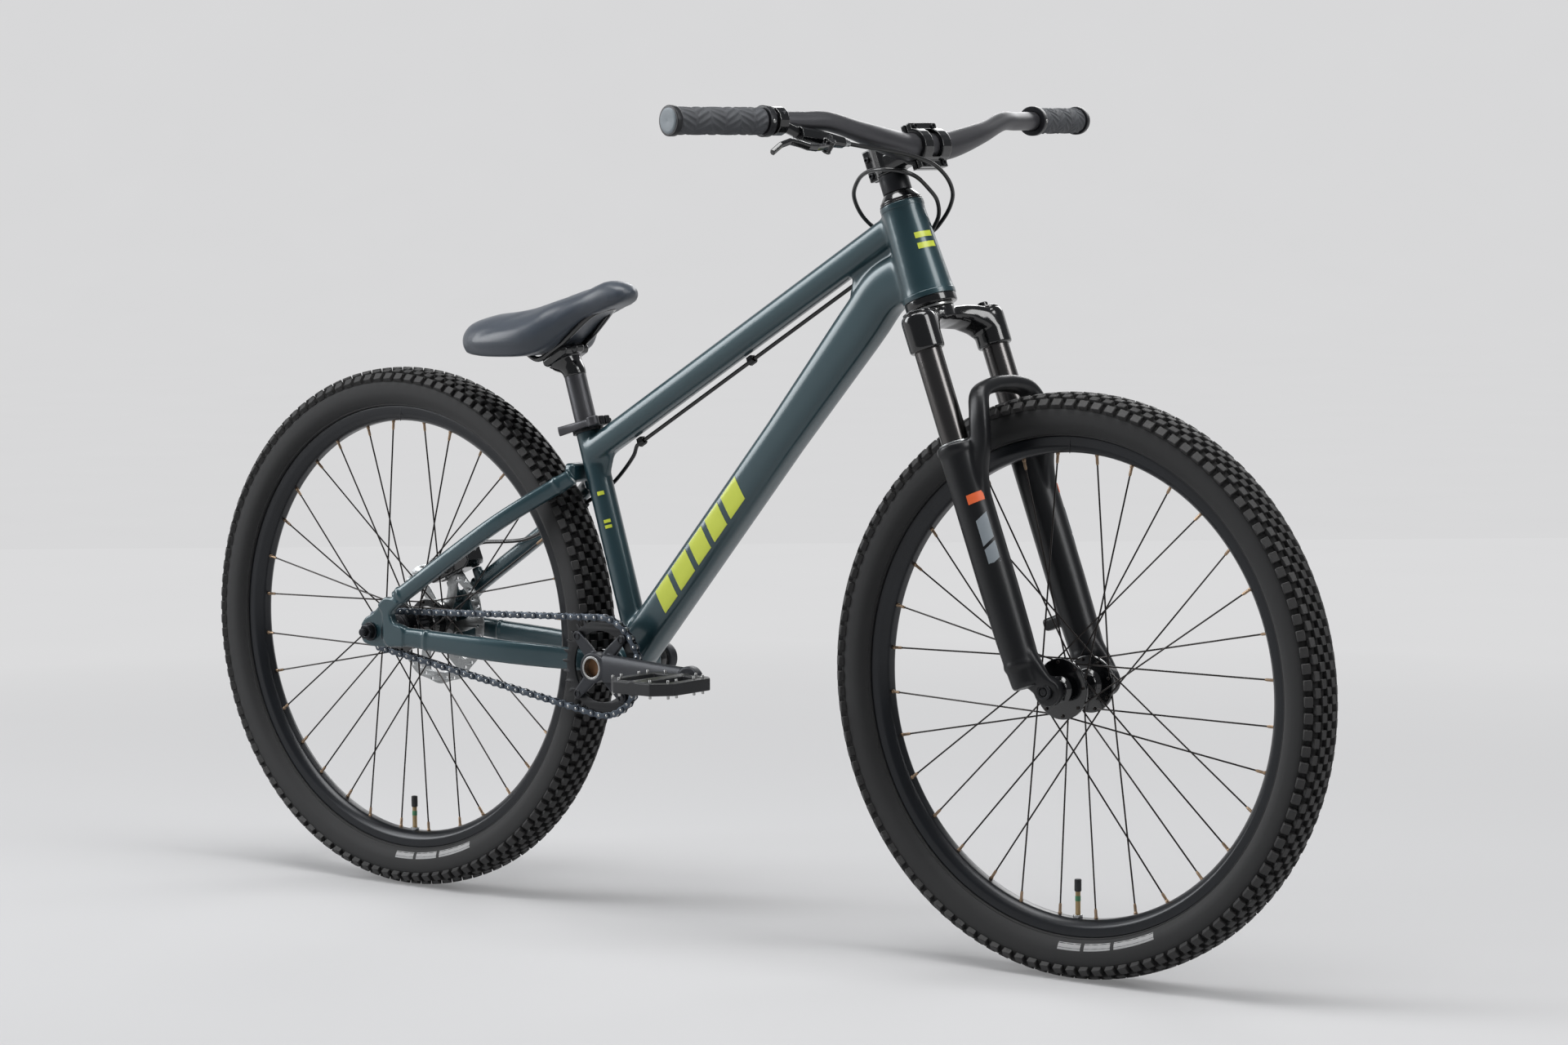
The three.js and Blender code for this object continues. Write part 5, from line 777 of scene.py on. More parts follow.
def make_tyre(name, centre, body, node):
    """Casing, tread bed painted dark as the shade between the knobs, plain label, bead lines and the rows of
    knobs.
    """
    casing = make_object(name + "_casing", turned(tyre_profile(), centre, ACROSS, 160), rubber_grey)
    ride(casing, body, "tyre", node)
    # The tread bed sits just above the casing and shows between the knobs in a painted shade colour.
    ground = [casing_point(i / 16) for i in range(14)]
    ground = [(r + 0.35, y) for r, y in ground]
    bed = [*[(r, -y) for r, y in reversed(ground[1:])], *ground]
    bed += [(r - 1.2, y) for r, y in reversed(bed)]
    ride(make_object(name + "_tread_bed", turned(bed, centre, ACROSS, 160), painted_gap_shade), body, "tyre")
    for part, (start, end) in enumerate(LABEL_ANGLES):
        label = wall_band(centre, -1, 291.5, 299.5, math.radians(start), math.radians(end), 0.12)
        ride(make_object(f"{name}_label_{part}", label, label_white), body, "tyre")
    bead = ring_profile(286.4, 288.1, 17.3, 18.5, 0.4)
    beads = together(turned(bead, centre, ACROSS, 160),
                     turned([(r, -y) for r, y in bead], centre, ACROSS, 160))
    ride(make_object(name + "_bead_line", beads, rubber_grey), body, "tyre")
    for row, (side, length, width, height) in enumerate(KNOB_ROWS):
        slope = (casing_radius(side + 0.5) - casing_radius(side - 0.5)) if side else 0.0
        lean = math.atan(-slope)
        root = casing_radius(side)
        form = moved(block((length, width, height + 1.6), 0.7), Matrix.Translation((0, 0, height / 2 - 0.8)))
        places = []
        for sign in ((1, -1) if side else (1,)):
            for j in range(KNOBS_ROUND):
                angle = (j + (row % 2) / 2) / KNOBS_ROUND * 2 * math.pi
                out = Vector((math.cos(angle), 0, math.sin(angle)))
                normal = out * math.cos(lean) + ACROSS * sign * math.sin(lean)
                point = centre + out * root + ACROSS * side * sign
                places.append(place_at(point, normal, out.cross(ACROSS)))
        knobs = repeat(f"{name}_knobs_{row}", form, places, tread_grey)
        ride(knobs, body, "tyre")


def make_rim(name, centre, body, node):
    """The rim's hoop, and the line of its joint opposite the valve."""
    r, half, wall, inner, nose = (RIM[k] for k in ("radius", "half", "wall", "inner", "nose"))
    outer = [(inner, -nose), (inner + 3.2, -nose - 4.6), (inner + 8.5, -half + 0.6), (r - 3, -half),
             (r, -half), (r, -half + wall), (r - 6, -half + wall), (r - 8.5, -nose), (r - 8.5, nose),
             (r - 6, half - wall), (r, half - wall), (r, half), (r - 3, half), (inner + 8.5, half - 0.6),
             (inner + 3.2, nose + 4.6), (inner, nose)]
    rim = make_object(name, turned(rounded(outer, 2.2, 4), centre, ACROSS, 160), rim_grey, math.radians(50))
    ride(rim, body, "black_satin", node)
    joint = slab([(-0.4, -r), (0.4, -r), (0.4, -inner), (-0.4, -inner)], -half - 0.05, -half + 0.4,
                 bevel=0.05)
    opposite = Matrix.Translation(centre) @ Matrix.Rotation(math.pi, 4, "Y")
    ride(make_object(name + "_joint", moved(joint, opposite), satin_black), body, "black_satin")


def spoke_ends(flange_y, flange_radius, first, lean):
    """Head and tip of each spoke of one side, round the wheel's centre."""
    ends = []
    for k in range(SPOKES_A_SIDE):
        outward = 1 if k % 2 == 0 else -1
        rim_angle = first + k * 2 * math.pi / SPOKES_A_SIDE
        hub_angle = rim_angle + outward * math.radians(67.5)
        radius = flange_radius - 4
        y_head = flange_y + outward * 1.3
        tip_radius = RIM["inner"] - 0.6
        head = Vector((radius * math.cos(hub_angle), y_head, radius * math.sin(hub_angle)))
        tip = Vector((tip_radius * math.cos(rim_angle), lean * 2.5 + outward * 1.3,
                      tip_radius * math.sin(rim_angle)))
        ends.append((head, tip))
    return ends


def make_spokes(name, centre, body, hub):
    """Spokes, with their heads at the flanges and their nipples at the rim."""
    quarter = math.pi / (2 * SPOKES_A_SIDE)
    heads, nipples = [], []
    for side, (flange_y, radius, first, lean) in {
            "right": (hub["right"], hub["right_radius"], quarter, -1),
            "left": (hub["left"], hub["left_radius"], 3 * quarter, 1)}.items():
        ends = spoke_ends(flange_y, radius, first, lean)
        length = (ends[0][1] - ends[0][0]).length
        wire = rod(ORIGIN, Vector((0, 0, length)), 1.0, 0.3, 8)
        places = [place_at(centre + head, tip - head) for head, tip in ends]
        ride(repeat(f"{name}_{side}", wire, places, spoke_black), body, "black_satin")
        for k, (head, tip) in enumerate(ends):
            outward = 1 if k % 2 == 0 else -1
            heads.append(place_at(centre + head + ACROSS * outward * 1.6, ACROSS * outward))
            back = (head - tip).normalized()
            nipples.append(place_at(centre + tip, back))
    button = rod(Vector((0, 0, -1)), Vector((0, 0, 1.2)), 2.0, 0.8, 12)
    ride(repeat(name + "_heads", button, heads, spoke_black), body, "black_satin")
    nipple = turned([(0, -1.5), (1.2, -1.5), (2.3, -1), (2.3, 1.2), (1.75, 2.2), (1.75, 9.5), (1.35, 11.5),
                     (0, 11.5)], ORIGIN, UP, 10)
    ride(repeat(name + "_nipples", nipple, nipples, nipple_bronze, math.radians(25)), body, "bright_steel")


def hub_profile(hub):
    """The section of a hub's shell, from its right end to its left."""
    right, left = hub["right"], hub["left"]
    thick = 4.8
    line = [(hub["bore"], -hub["right_end"]), (hub["end"], -hub["right_end"]),
            (hub["end"], right - thick - 3), (hub["shell"], right - thick),
            (hub["shell"] + 2, right - thick / 2), (hub["right_radius"], right - thick / 2),
            (hub["right_radius"], right + thick / 2),
            (hub["shell"] + 5, right + thick / 2), (hub["shell"] + 1, right + thick + 2),
            (hub["shell"], right + thick * 2), (hub["shell"], left - thick * 2),
            (hub["shell"] + 1, left - thick - 2), (hub["shell"] + 5, left - thick / 2),
            (hub["left_radius"], left - thick / 2), (hub["left_radius"], left + thick / 2),
            (hub["seat"], left + thick / 2 + 1), (hub["seat"], hub["face"]), (hub["end"] + 8, hub["face"]),
            (hub["end"], hub["face"] + 2), (hub["end"], hub["left_end"]), (hub["bore"], hub["left_end"])]
    return rounded(line, 1.2, 3)


FRONT_HUB = {"bore": 7.9, "end": 11, "shell": 13, "right": -31, "right_radius": 35, "left": 24,
             "left_radius": 33, "seat": 25, "face": 39.5, "right_end": 50, "left_end": 50}
REAR_HUB = {"bore": 5.4, "end": 9, "shell": 17, "right": -20.5, "right_radius": 33, "left": 32,
            "left_radius": 33, "seat": 29, "face": 50.1, "right_end": 24, "left_end": 67.5}


def make_hub(name, centre, body, hub, node):
    """The shell of one hub."""
    shell = turned(hub_profile(hub), centre, ACROSS, 64)
    ride(make_object(name, shell, gloss_black), body, "black_gloss", node)


def make_valve(name, centre, body, node):
    """The inner tube, with valve, nut, band and cap at the foot of the wheel."""
    tube = turned([(304 + 17.5 * math.cos(a), 17.5 * math.sin(a)) for a in
                   (i / 16 * 2 * math.pi for i in range(16))], centre, ACROSS, 96)
    ride(make_object(name + "_inner_tube", tube, rubber_grey), body, "tyre", node)
    down = Vector((0, 0, -1))
    at = lambda radius: centre + down * radius
    ride(make_object(name + "_stem", rod(at(290), at(234), 3.0, 0.4, 20), valve_brass), body, "bright_steel")
    ride(make_object(name + "_nut", rod(at(266.3), at(262.6), 5.6, 0.8, 24), brushed_steel), body,
         "bright_steel")
    ride(make_object(name + "_band", rod(at(247), at(241), 3.25, 0.3, 20), valve_green), body,
         "black_plastic")
    ride(make_object(name + "_cap", rod(at(236), at(221.5), 4.1, 1.4, 20), moulded_plastic), body,
         "black_plastic")


def make_wheels():
    """Both wheels, part by part."""
    make_tyre("front_tyre", FRONT_AXLE, "front_wheel", "front_tyre")
    make_tyre("rear_tyre", REAR_AXLE, "rear_wheel", "rear_tyre")
    make_rim("front_rim_hoop", FRONT_AXLE, "front_wheel", "front_rim")
    make_rim("rear_rim_hoop", REAR_AXLE, "rear_wheel", "rear_rim")
    make_hub("front_hub_shell", FRONT_AXLE, "front_wheel", FRONT_HUB, "front_hub")
    make_hub("rear_hub_shell", REAR_AXLE, "rear_wheel", REAR_HUB, "rear_hub")
    make_spokes("front_spokes", FRONT_AXLE, "front_wheel", FRONT_HUB)
    make_spokes("rear_spokes", REAR_AXLE, "rear_wheel", REAR_HUB)
    make_valve("front_valve", FRONT_AXLE, "front_wheel", "front_inner_tube")
    make_valve("rear_valve", REAR_AXLE, "rear_wheel", "rear_inner_tube")


# Rear brake
ROTOR = {"radius": 79, "band": 14, "thickness": 1.9, "low": 50.4, "arms": 6, "waves": 12, "wave": 1.2,
         "bolt_circle": 26.3}


def make_rotor():
    """The brake rotor with its waves, windows and vents, and its bolts."""
    steps = ROTOR["waves"] * 12
    wave = lambda base, swing: [((base + swing * math.cos(ROTOR["waves"] * a)) * math.cos(a),
                                 (base + swing * math.cos(ROTOR["waves"] * a)) * math.sin(a))
                                for a in (i / steps * 2 * math.pi for i in range(steps))]
    inner = ROTOR["radius"] - ROTOR["band"]
    windows = []
    for i in range(ROTOR["arms"]):
        start, span = i / ROTOR["arms"] * 2 * math.pi, 2 * math.pi / ROTOR["arms"] * 0.72
        lean = span * 0.35
        at = lambda radius, share, more: (radius * math.cos(start + share * span + more),
                                          radius * math.sin(start + share * span + more))
        corners = [at(30, 0.12, 0), at(31, 0.5, 0), at(30, 0.88, 0), at(48, 0.98, lean / 2),
                   *(at(inner, share, lean) for share in (1, 0.75, 0.5, 0.25, 0)), at(48, 0.04, lean / 2)]
        windows.append(rounded(corners, 3, 3))
    vents = []
    for i in range(ROTOR["waves"] * 3):
        angle = i / (ROTOR["waves"] * 3) * 2 * math.pi
        reach = ROTOR["radius"] - ROTOR["band"] / 2 + (i % 3 - 1) * 3.2
        vents.append(circle(1.9, 12, reach * math.cos(angle), reach * math.sin(angle)))
    outline = wave(ROTOR["radius"], ROTOR["wave"])
    plate = slab(outline, ROTOR["low"], ROTOR["low"] + ROTOR["thickness"],
                 [*windows, *vents, circle(22.4, 48)], bevel=0.25, steps=1)
    piece = make_object("rotor_disc", moved(plate, Matrix.Translation(REAR_AXLE)), brushed_steel)
    ride(piece, "rear_wheel", "bright_steel", "brake_rotor")
    out = ROTOR["bolt_circle"]
    places = [place_at(REAR_AXLE + Vector((out * math.cos(a), 52.2, out * math.sin(a))), ACROSS)
              for a in (i / 6 * 2 * math.pi + 0.3 for i in range(6))]
    bolt = turned([(0, -1), (3.6, -1), (3.6, 1.4), (2.8, 2.2), (1.7, 2.2), (1.5, 0.8), (0, 0.8)],
                  ORIGIN, UP, 20)
    ride(repeat("rotor_bolts", bolt, places, satin_black), "rear_wheel", "black_satin")


CALIPER_TILT = math.radians(23)


def caliper_point(ahead, up, left=0.0):
    """A point given along, up and beside the tilted caliper."""
    centre = REAR_AXLE + Vector((25, 0, 78))
    forward = Vector((math.cos(CALIPER_TILT), 0, math.sin(CALIPER_TILT)))
    return centre + forward * ahead + Vector((-forward.z, 0, forward.x)) * up + ACROSS * left


def make_caliper():
    """The rear caliper with its screws, cover and hose fitting."""
    ride(casting("caliper_body", "brake_caliper", 0.8, 5, gloss_black), "root", "black_gloss",
         "brake_caliper")
    screw = turned([(0, -1), (4.2, -1), (4.2, 2.2), (3.4, 3), (2, 3), (1.8, 1.2), (0, 1.2)],
                   ORIGIN, UP, 24)
    places = [place_at(caliper_point(x, z, 66.2), ACROSS) for x, z in ((-33, -8), (33, -9))]
    ride(repeat("caliper_screws", screw, places, brushed_steel), "root", "bright_steel")
    cover = turned([(0, 0), (11.6, 0), (11.6, 1.6), (10.4, 2.4), (7, 2.4), (6.4, 1.4), (0, 1.4)],
                   caliper_point(0, 0, 65.8), ACROSS, 40)
    ride(make_object("caliper_cover", cover, satin_black), "root", "black_satin")
    banjo = rod(caliper_point(34, 7.5, 52), caliper_point(44, 7.5, 52), 5.2, 0.8, 24)
    ride(make_object("caliper_fitting", banjo, brushed_steel), "root", "bright_steel")


# Chain and cranks
PITCH = 12.7
CHAIN_LINE = 51
RING_TEETH, COG_TEETH = 30, 12
RING_RADIUS = PITCH / (2 * math.sin(math.pi / RING_TEETH))
COG_RADIUS = PITCH / (2 * math.sin(math.pi / COG_TEETH))
DRIVE_ANGLE = math.atan2(BRACKET.z - REAR_AXLE.z, BRACKET.x - REAR_AXLE.x)
# One tooth: height over the pitch circle, and distance beside its middle
TOOTH = ((-4.1, -2.3), (-1.2, -2.0), (2.4, -1.1), (3.1, 0), (2.4, 1.1), (-1.2, 2.0), (-4.1, 2.3))
RING_BOLT_CIRCLE = 50.5
# Half the width of a spider arm at distances from the axis
SPIDER_EDGE = ((0, 9.5), (30, 8.2), (46, 6.6), (55, 5.5))


def chain_pins():
    """The middles of the chain's pins, once round ring and cog."""
    def arc(centre, radius, teeth, middle, rollers):
        """Pins that lie in the teeth, round a middle angle."""
        step = 2 * math.pi / teeth
        angles = [DRIVE_ANGLE + middle + (i - (rollers - 1) / 2) * step for i in range(rollers)]
        return [centre + Vector((radius * math.cos(a), 0, radius * math.sin(a))) for a in angles]

    def run(start, end):
        """Pins between two toothed wheels."""
        links = round((end - start).length / PITCH)
        return [start.lerp(end, (i + 1) / links) for i in range(links - 1)]

    ring = arc(BRACKET, RING_RADIUS, RING_TEETH, 0, RING_TEETH // 2 + 1)
    cog = arc(REAR_AXLE, COG_RADIUS, COG_TEETH, math.pi, COG_TEETH // 2)
    return [*ring, *run(ring[-1], cog[0]), *cog, *run(cog[-1], ring[0])]


def link_outline(radius, waist):
    """A chain plate: two round ends and a waist."""
    half = PITCH / 2
    line = []
    for sign in (1, -1):
        for i in range(13):
            angle = math.radians(-105 + 210 * i / 12) + (0 if sign > 0 else math.pi)
            line.append((sign * half + radius * math.cos(angle), radius * math.sin(angle)))
        line.append((0, sign * waist))
    return line


def make_chain():
    """Outer and inner plates, rivets and rollers."""
    pins = chain_pins()
    outer, inner = [], []
    for i, (here, there) in enumerate(zip(pins, pins[1:] + pins[:1])):
        middle = (here + there) / 2 - ACROSS * CHAIN_LINE
        place = place_at(middle, (there - here).cross(ACROSS), there - here)
        (outer if i % 2 == 0 else inner).append(place)
    plates = lambda y, line: together(slab(line, y, y + 1.0, bevel=0.22, steps=1),
                                      slab(line, -y - 1.0, -y, bevel=0.22, steps=1))
    outer_form = plates(2.85, link_outline(4.2, 2.7))
    inner_form = plates(1.7, link_outline(4.2, 3.0))
    ride(repeat("chain_outer_plates", outer_form, outer, chain_blue), "root", "chain_steel", "chain")
    ride(repeat("chain_inner_plates", inner_form, inner, chain_blue), "root", "chain_steel")
    rivet = turned([(0, -4.3), (1.2, -4.3), (1.75, -3.9), (1.75, 3.9), (1.2, 4.3), (0, 4.3)],
                   ORIGIN, UP, 14)
    places = [place_at(pin - ACROSS * CHAIN_LINE, ACROSS) for pin in pins]
    ride(repeat("chain_rivets", rivet, places, bright_steel), "root", "chain_steel")
    roller = turned([(0, -1.6), (3.8, -1.6), (3.8, 1.6), (0, 1.6)], ORIGIN, UP, 16)
    ride(repeat("chain_rollers", roller, places, bright_steel), "root", "chain_steel")


def teeth_outline(teeth, radius, start):
    """The outline of a toothed wheel."""
    line = []
    for i in range(teeth):
        middle = start + i / teeth * 2 * math.pi
        for out, half in TOOTH:
            reach = radius + out
            angle = middle + math.asin(half / reach)
            line.append((reach * math.cos(angle), reach * math.sin(angle)))
    return line


def make_chainring():
    """The chainring and its four bolts."""
    quarters = [math.pi / 4 + i * math.pi / 2 for i in range(4)]
    bolts = [(RING_BOLT_CIRCLE * math.cos(a), RING_BOLT_CIRCLE * math.sin(a)) for a in quarters]
    holes = [circle(44, 96)] + [circle(4, 20, x, z) for x, z in bolts]
    ring = slab(teeth_outline(RING_TEETH, RING_RADIUS, DRIVE_ANGLE), -CHAIN_LINE - 1.5, -CHAIN_LINE + 1.5,
                holes, bevel=0.35, steps=1)
    piece = make_object("chainring_plate", moved(ring, Matrix.Translation(BRACKET)), matte_charcoal)
    ride(piece, "cranks", "black_gloss", "chainring")
    head = turned([(0, -3), (5.2, -3), (5.2, 0.6), (4.4, 1.4), (3, 1.4), (2.6, -0.6), (0, -0.6)],
                  ORIGIN, UP, 28)
    places = [place_at(BRACKET + Vector((x, -57.2, z)), -ACROSS) for x, z in bolts]
    ride(repeat("chainring_bolts", head, places, satin_black), "cranks", "black_satin")


def make_cog():
    """The cog and the sleeve of its driver."""
    plate = slab(teeth_outline(COG_TEETH, COG_RADIUS, DRIVE_ANGLE + math.pi), -CHAIN_LINE - 1.4,
                 -CHAIN_LINE + 1.4, [circle(5.4, 24)], bevel=0.35, steps=1)
    ride(make_object("cog_plate", moved(plate, Matrix.Translation(REAR_AXLE)), bright_steel), "cog_body",
         "bright_steel", "cog")
    line = [(5.4, -66.8), (12.5, -66.8), (16, -63.5), (16, -54), (15, -53.4), (15, -48.6), (16, -48),
            (16, -27.8), (19, -27.8), (19, -24.3), (5.4, -24.3)]
    sleeve = turned(rounded(line, 0.8, 3), REAR_AXLE, ACROSS, 48)
    ride(make_object("cog_sleeve", sleeve, satin_black), "cog_body", "bright_steel")


CRANK = {"length": 170, "boss": 19, "boss_in": 57, "boss_out": 71, "end": 16, "end_in": 77, "end_out": 91}


def crank_forms():
    """Arm, boss and pedal end of the right crank, round the bracket's middle."""
    middle = lambda a, b: -(a + b) / 2
    root, end = middle(CRANK["boss_in"], CRANK["boss_out"]), middle(CRANK["end_in"], CRANK["end_out"])
    length = CRANK["length"]
    path = spline([Vector((15.4, root, 0)), Vector((length * 0.3, mix(root, end, 0.2), 0)),
                   Vector((length * 0.75, mix(root, end, 0.8), 0)), Vector((length, end, 0))], 24)
    arm = sweep(path, lambda s: oval(13, mix(36, 27, s), 2.7, 36))
    boss = turned(ring_profile(13.2, CRANK["boss"], -CRANK["boss_out"], -CRANK["boss_in"], 2), ORIGIN,
                  ACROSS, 64)
    tip = rod(Vector((length, -CRANK["end_in"], 0)), Vector((length, -CRANK["end_out"], 0)),
              CRANK["end"], 2, 48)
    return [arm, boss, tip]


def spider_forms():
    """The four arms that carry the chainring."""
    arms = []
    for i in range(4):
        angle = (i + 0.5) * math.pi / 2
        corner = lambda out, across: (out * math.cos(angle) - across * math.sin(angle),
                                      out * math.sin(angle) + across * math.cos(angle))
        line = [corner(out, -half) for out, half in SPIDER_EDGE] + [corner(58, 0)]
        line += [corner(out, half) for out, half in reversed(SPIDER_EDGE)]
        arms.append(slab(rounded(line, 3, 3), -57.6, -52.8, bevel=1.2))
    return arms


def make_cranks():
    """Both cranks, the hollow spindle with its brown bore, and the bracket cups."""
    right = together(*crank_forms(), *spider_forms(),
                     rod(Vector((0, -52.8, 0)), Vector((0, -60, 0)), CRANK["boss"], 0.5, 48))
    piece = fused("crank_arm_right", moved(right, Matrix.Translation(BRACKET)), 1.1, 5, crank_grey)
    ride(piece, "cranks", "black_satin", "crank_right")
    flip = Matrix.Translation(BRACKET) @ Matrix.Rotation(math.pi, 4, "Y")
    left = mirrored(together(*crank_forms()))
    piece = fused("crank_arm_left", moved(left, flip), 1.2, 5, crank_grey)
    ride(piece, "cranks", "black_satin", "crank_left")
    ring = ring_profile(11.6, 14.4, -71.5, 71.5, 0.6)
    ride(make_object("spindle_tube", turned(ring, BRACKET, ACROSS, 56), bright_steel), "cranks",
         "bright_steel", "crank_spindle")
    core = turned([(0, -62.5), (11.5, -62.5), (11.5, 62.5), (0, 62.5)], BRACKET, ACROSS, 40)
    ride(make_object("spindle_core", core, bore_brown), "cranks", "bright_steel")
    for side, sign in (("right", -1), ("left", 1)):
        line = rounded([(14.9, 22.5 + GAP), (17.3, 22.5), (17.3, 36.8), (21.5, 36.8), (21.5, 45.6),
                        (19.8, 46.3), (14.9, 46.3)], 0.7, 3)
        cup = turned([(r, sign * y) for r, y in line], BRACKET, ACROSS, 64)
        ride(make_object("bracket_cup_" + side, cup, gloss_black), "root", "black_gloss", "bb_cup_" + side)


# Places of the pedal's pins, ahead of its axle and out from the frame's middle
PIN_PLACES = ((-43, 112), (-43, 128), (-43, 160), (-43, 175), (43, 112), (43, 128), (43, 160), (43, 175),
              (-24, 102), (24, 102), (-24, 185.5), (24, 185.5))


def make_pedals():
    """Platforms, axles and pins."""
    for side, sign, x in (("right", -1, CRANK["length"]), ("left", 1, -CRANK["length"])):
        centre = BRACKET + Vector((x, 0, 0))
        body = f"pedal_{side}_body"
        platform = casting(f"pedal_platform_{side}", "pedal_" + side, 1.0, 3, moulded_plastic)
        ride(platform, body, "black_plastic", "pedal_" + side)
        at = lambda y: centre + ACROSS * sign * y
        axle = together(rod(at(78), at(179.5), 5.8, 0.6, 32), rod(at(91), at(95.2), 8.3, 0.6, 32))
        ride(make_object("pedal_spindle_" + side, axle, bright_steel), "cranks", "bright_steel",
             "pedal_axle_" + side)
        places = []
        for level in (1, -1):
            for px, py in PIN_PLACES:
                places.append(place_at(centre + Vector((px, sign * py, level * 6.6)), Vector((0, 0, level))))
        pin = turned([(0, 0), (1.7, 0), (1.7, 4.2), (1.3, 4.8), (0, 4.8)], ORIGIN, UP, 12)
        ride(repeat("pedal_pins_" + side, pin, places, bright_steel), body, "bright_steel")


# Frame
TOP_ENTRY = HEAD_LOW + 98
TOP_FRONT, TOP_REAR = steer(0, 0, TOP_ENTRY), seat(0, 0, 270)
TOP_BACK = (TOP_REAR - TOP_FRONT).normalized()
TOP_DOWN = Vector((-TOP_BACK.z, 0, TOP_BACK.x))
DOWN_START = steer(0, 0, HEAD_LOW + 34)
DOWN_KNEE = steer(-54, 0, HEAD_LOW + 31)
DOWN_BEND = steer(-96, 0, HEAD_LOW + 9)


def top_tube_point(distance, below=0.0, left=0.0):
    """A point given along, below and beside the top tube's middle line."""
    return TOP_FRONT + TOP_BACK * distance + TOP_DOWN * below + ACROSS * left


def down_tube_path():
    """The down tube's middle line, bent under the head tube."""
    straight = [DOWN_BEND.lerp(BRACKET, share) for share in (0.06, 0.16)]
    bent = spline([DOWN_START, DOWN_KNEE, DOWN_BEND, *straight], 26)
    return bent + [bent[-1].lerp(BRACKET, share) for share in (0.2, 0.4, 0.6, 0.8, 1)]


def web(points, thickness, bevel):
    """A flat gusset with the given corners."""
    return slab(rounded([(p.x, p.z) for p in points], 4, 3), -thickness / 2, thickness / 2, bevel=bevel)


def make_front_triangle():
    """Tubes and gussets as one welded skin, and the rims of the head tube."""
    head_line = [(0, HEAD_LOW), (31.6, HEAD_LOW), (31.6, HEAD_LOW + 7), (30.6, HEAD_LOW + 9),
                 (25.4, HEAD_TOP - 9), (26.2, HEAD_TOP - 7), (26.2, HEAD_TOP), (0, HEAD_TOP)]
    head = turned(rounded(head_line, 0.9, 3), STEER_FOOT, STEER_UP, 72)
    path = down_tube_path()
    reach = [0.0]
    for a, b in zip(path, path[1:]):
        reach.append(reach[-1] + (b - a).length)
    shares = [r / reach[-1] for r in reach]
    height = lambda s: along((0, 0.18, 0.42, 1), (58, 58, 50, 50), shares[round(s * (len(path) - 1))])
    down = sweep(path, lambda s: oval(43, height(s), 3.6, 56))
    steps = [TOP_FRONT.lerp(TOP_REAR, i / 10) for i in range(11)]
    top = sweep(steps, lambda s: oval(34, mix(34, 33, s), 3, 48))
    tube = rod(SEAT_FOOT, seat(0, 0, 308), 15.9, 0.5, 56)
    shell = rod(BRACKET - ACROSS * 36.5, BRACKET + ACROSS * 36.5, 23, 0.8, 64)
    gusset = web([TOP_FRONT, top_tube_point(84), DOWN_BEND.lerp(BRACKET, 0.1), DOWN_START], 10, 2)
    reach_ahead = 45.9
    seat_web = web([TOP_REAR, TOP_REAR - TOP_BACK * reach_ahead, seat(0, 0, 270 - 58)], 14, 4)
    frame_skin = fused("front_frame", [head, down, top, tube, shell, gusset, seat_web], 1.8, 30, teal_paint)
    ride(frame_skin, "root", "frame_paint", "front_triangle")
    bands = ((31.6, HEAD_LOW, HEAD_LOW + 6), (26.2, HEAD_TOP - 6.8, HEAD_TOP - 0.8))
    rims = [turned(rounded([(20, low), (radius, low), (radius, high), (radius - 0.6, high + 0.8),
                            (20, high + 0.8)], 0.5, 3), STEER_FOOT, STEER_UP, 72)
            for radius, low, high in bands]
    ride(make_object("head_tube_rims", together(*rims), teal_paint), "root", "frame_paint")


def tube_patch(start, ahead, outline_at, spans, slant, lift, across=12, length=6):
    """A thin plain bar laid on a tube: spans are (from, to) along it and (from, to) round its section."""
    (near, far), (low, high) = spans
    rings = []
    for i in range(across + 1):
        v = mix(low, high, i / across)
        outer, inner = [], []
        for j in range(length + 1):
            place = mix(near, far, j / length) + slant * (v - low) / (high - low)
            outer.append(start + ahead * place + outline_at(v, lift, place))
            inner.append(start + ahead * place + outline_at(v, -0.6, place))
        rings.append(outer + inner[::-1])
    return loft(rings)


def round_face(axis, toward, radius_at):
    """The face of a round tube; v is the angle from a direction."""
    side = (toward - axis * axis.dot(toward)).normalized()
    rise = axis.cross(side)
    return lambda v, lift, place: (side * math.cos(v) + rise * math.sin(v)) * (radius_at(place) + lift)


def down_tube_face(v, lift, place):
    """The drive side of the boxy down tube; v is the height from its middle line.

    The tube keeps its size, so the place along it, which every face is asked with, changes nothing."""
    half, high = 21.5, 25
    bulge = half * (1 - (abs(v) / high) ** 3.6) ** (1 / 3.6)
    return Vector((-DOWN_ALONG.z, 0, DOWN_ALONG.x)) * v - ACROSS * (bulge + lift)


DOWN_ALONG = (DOWN_BEND - BRACKET).normalized()


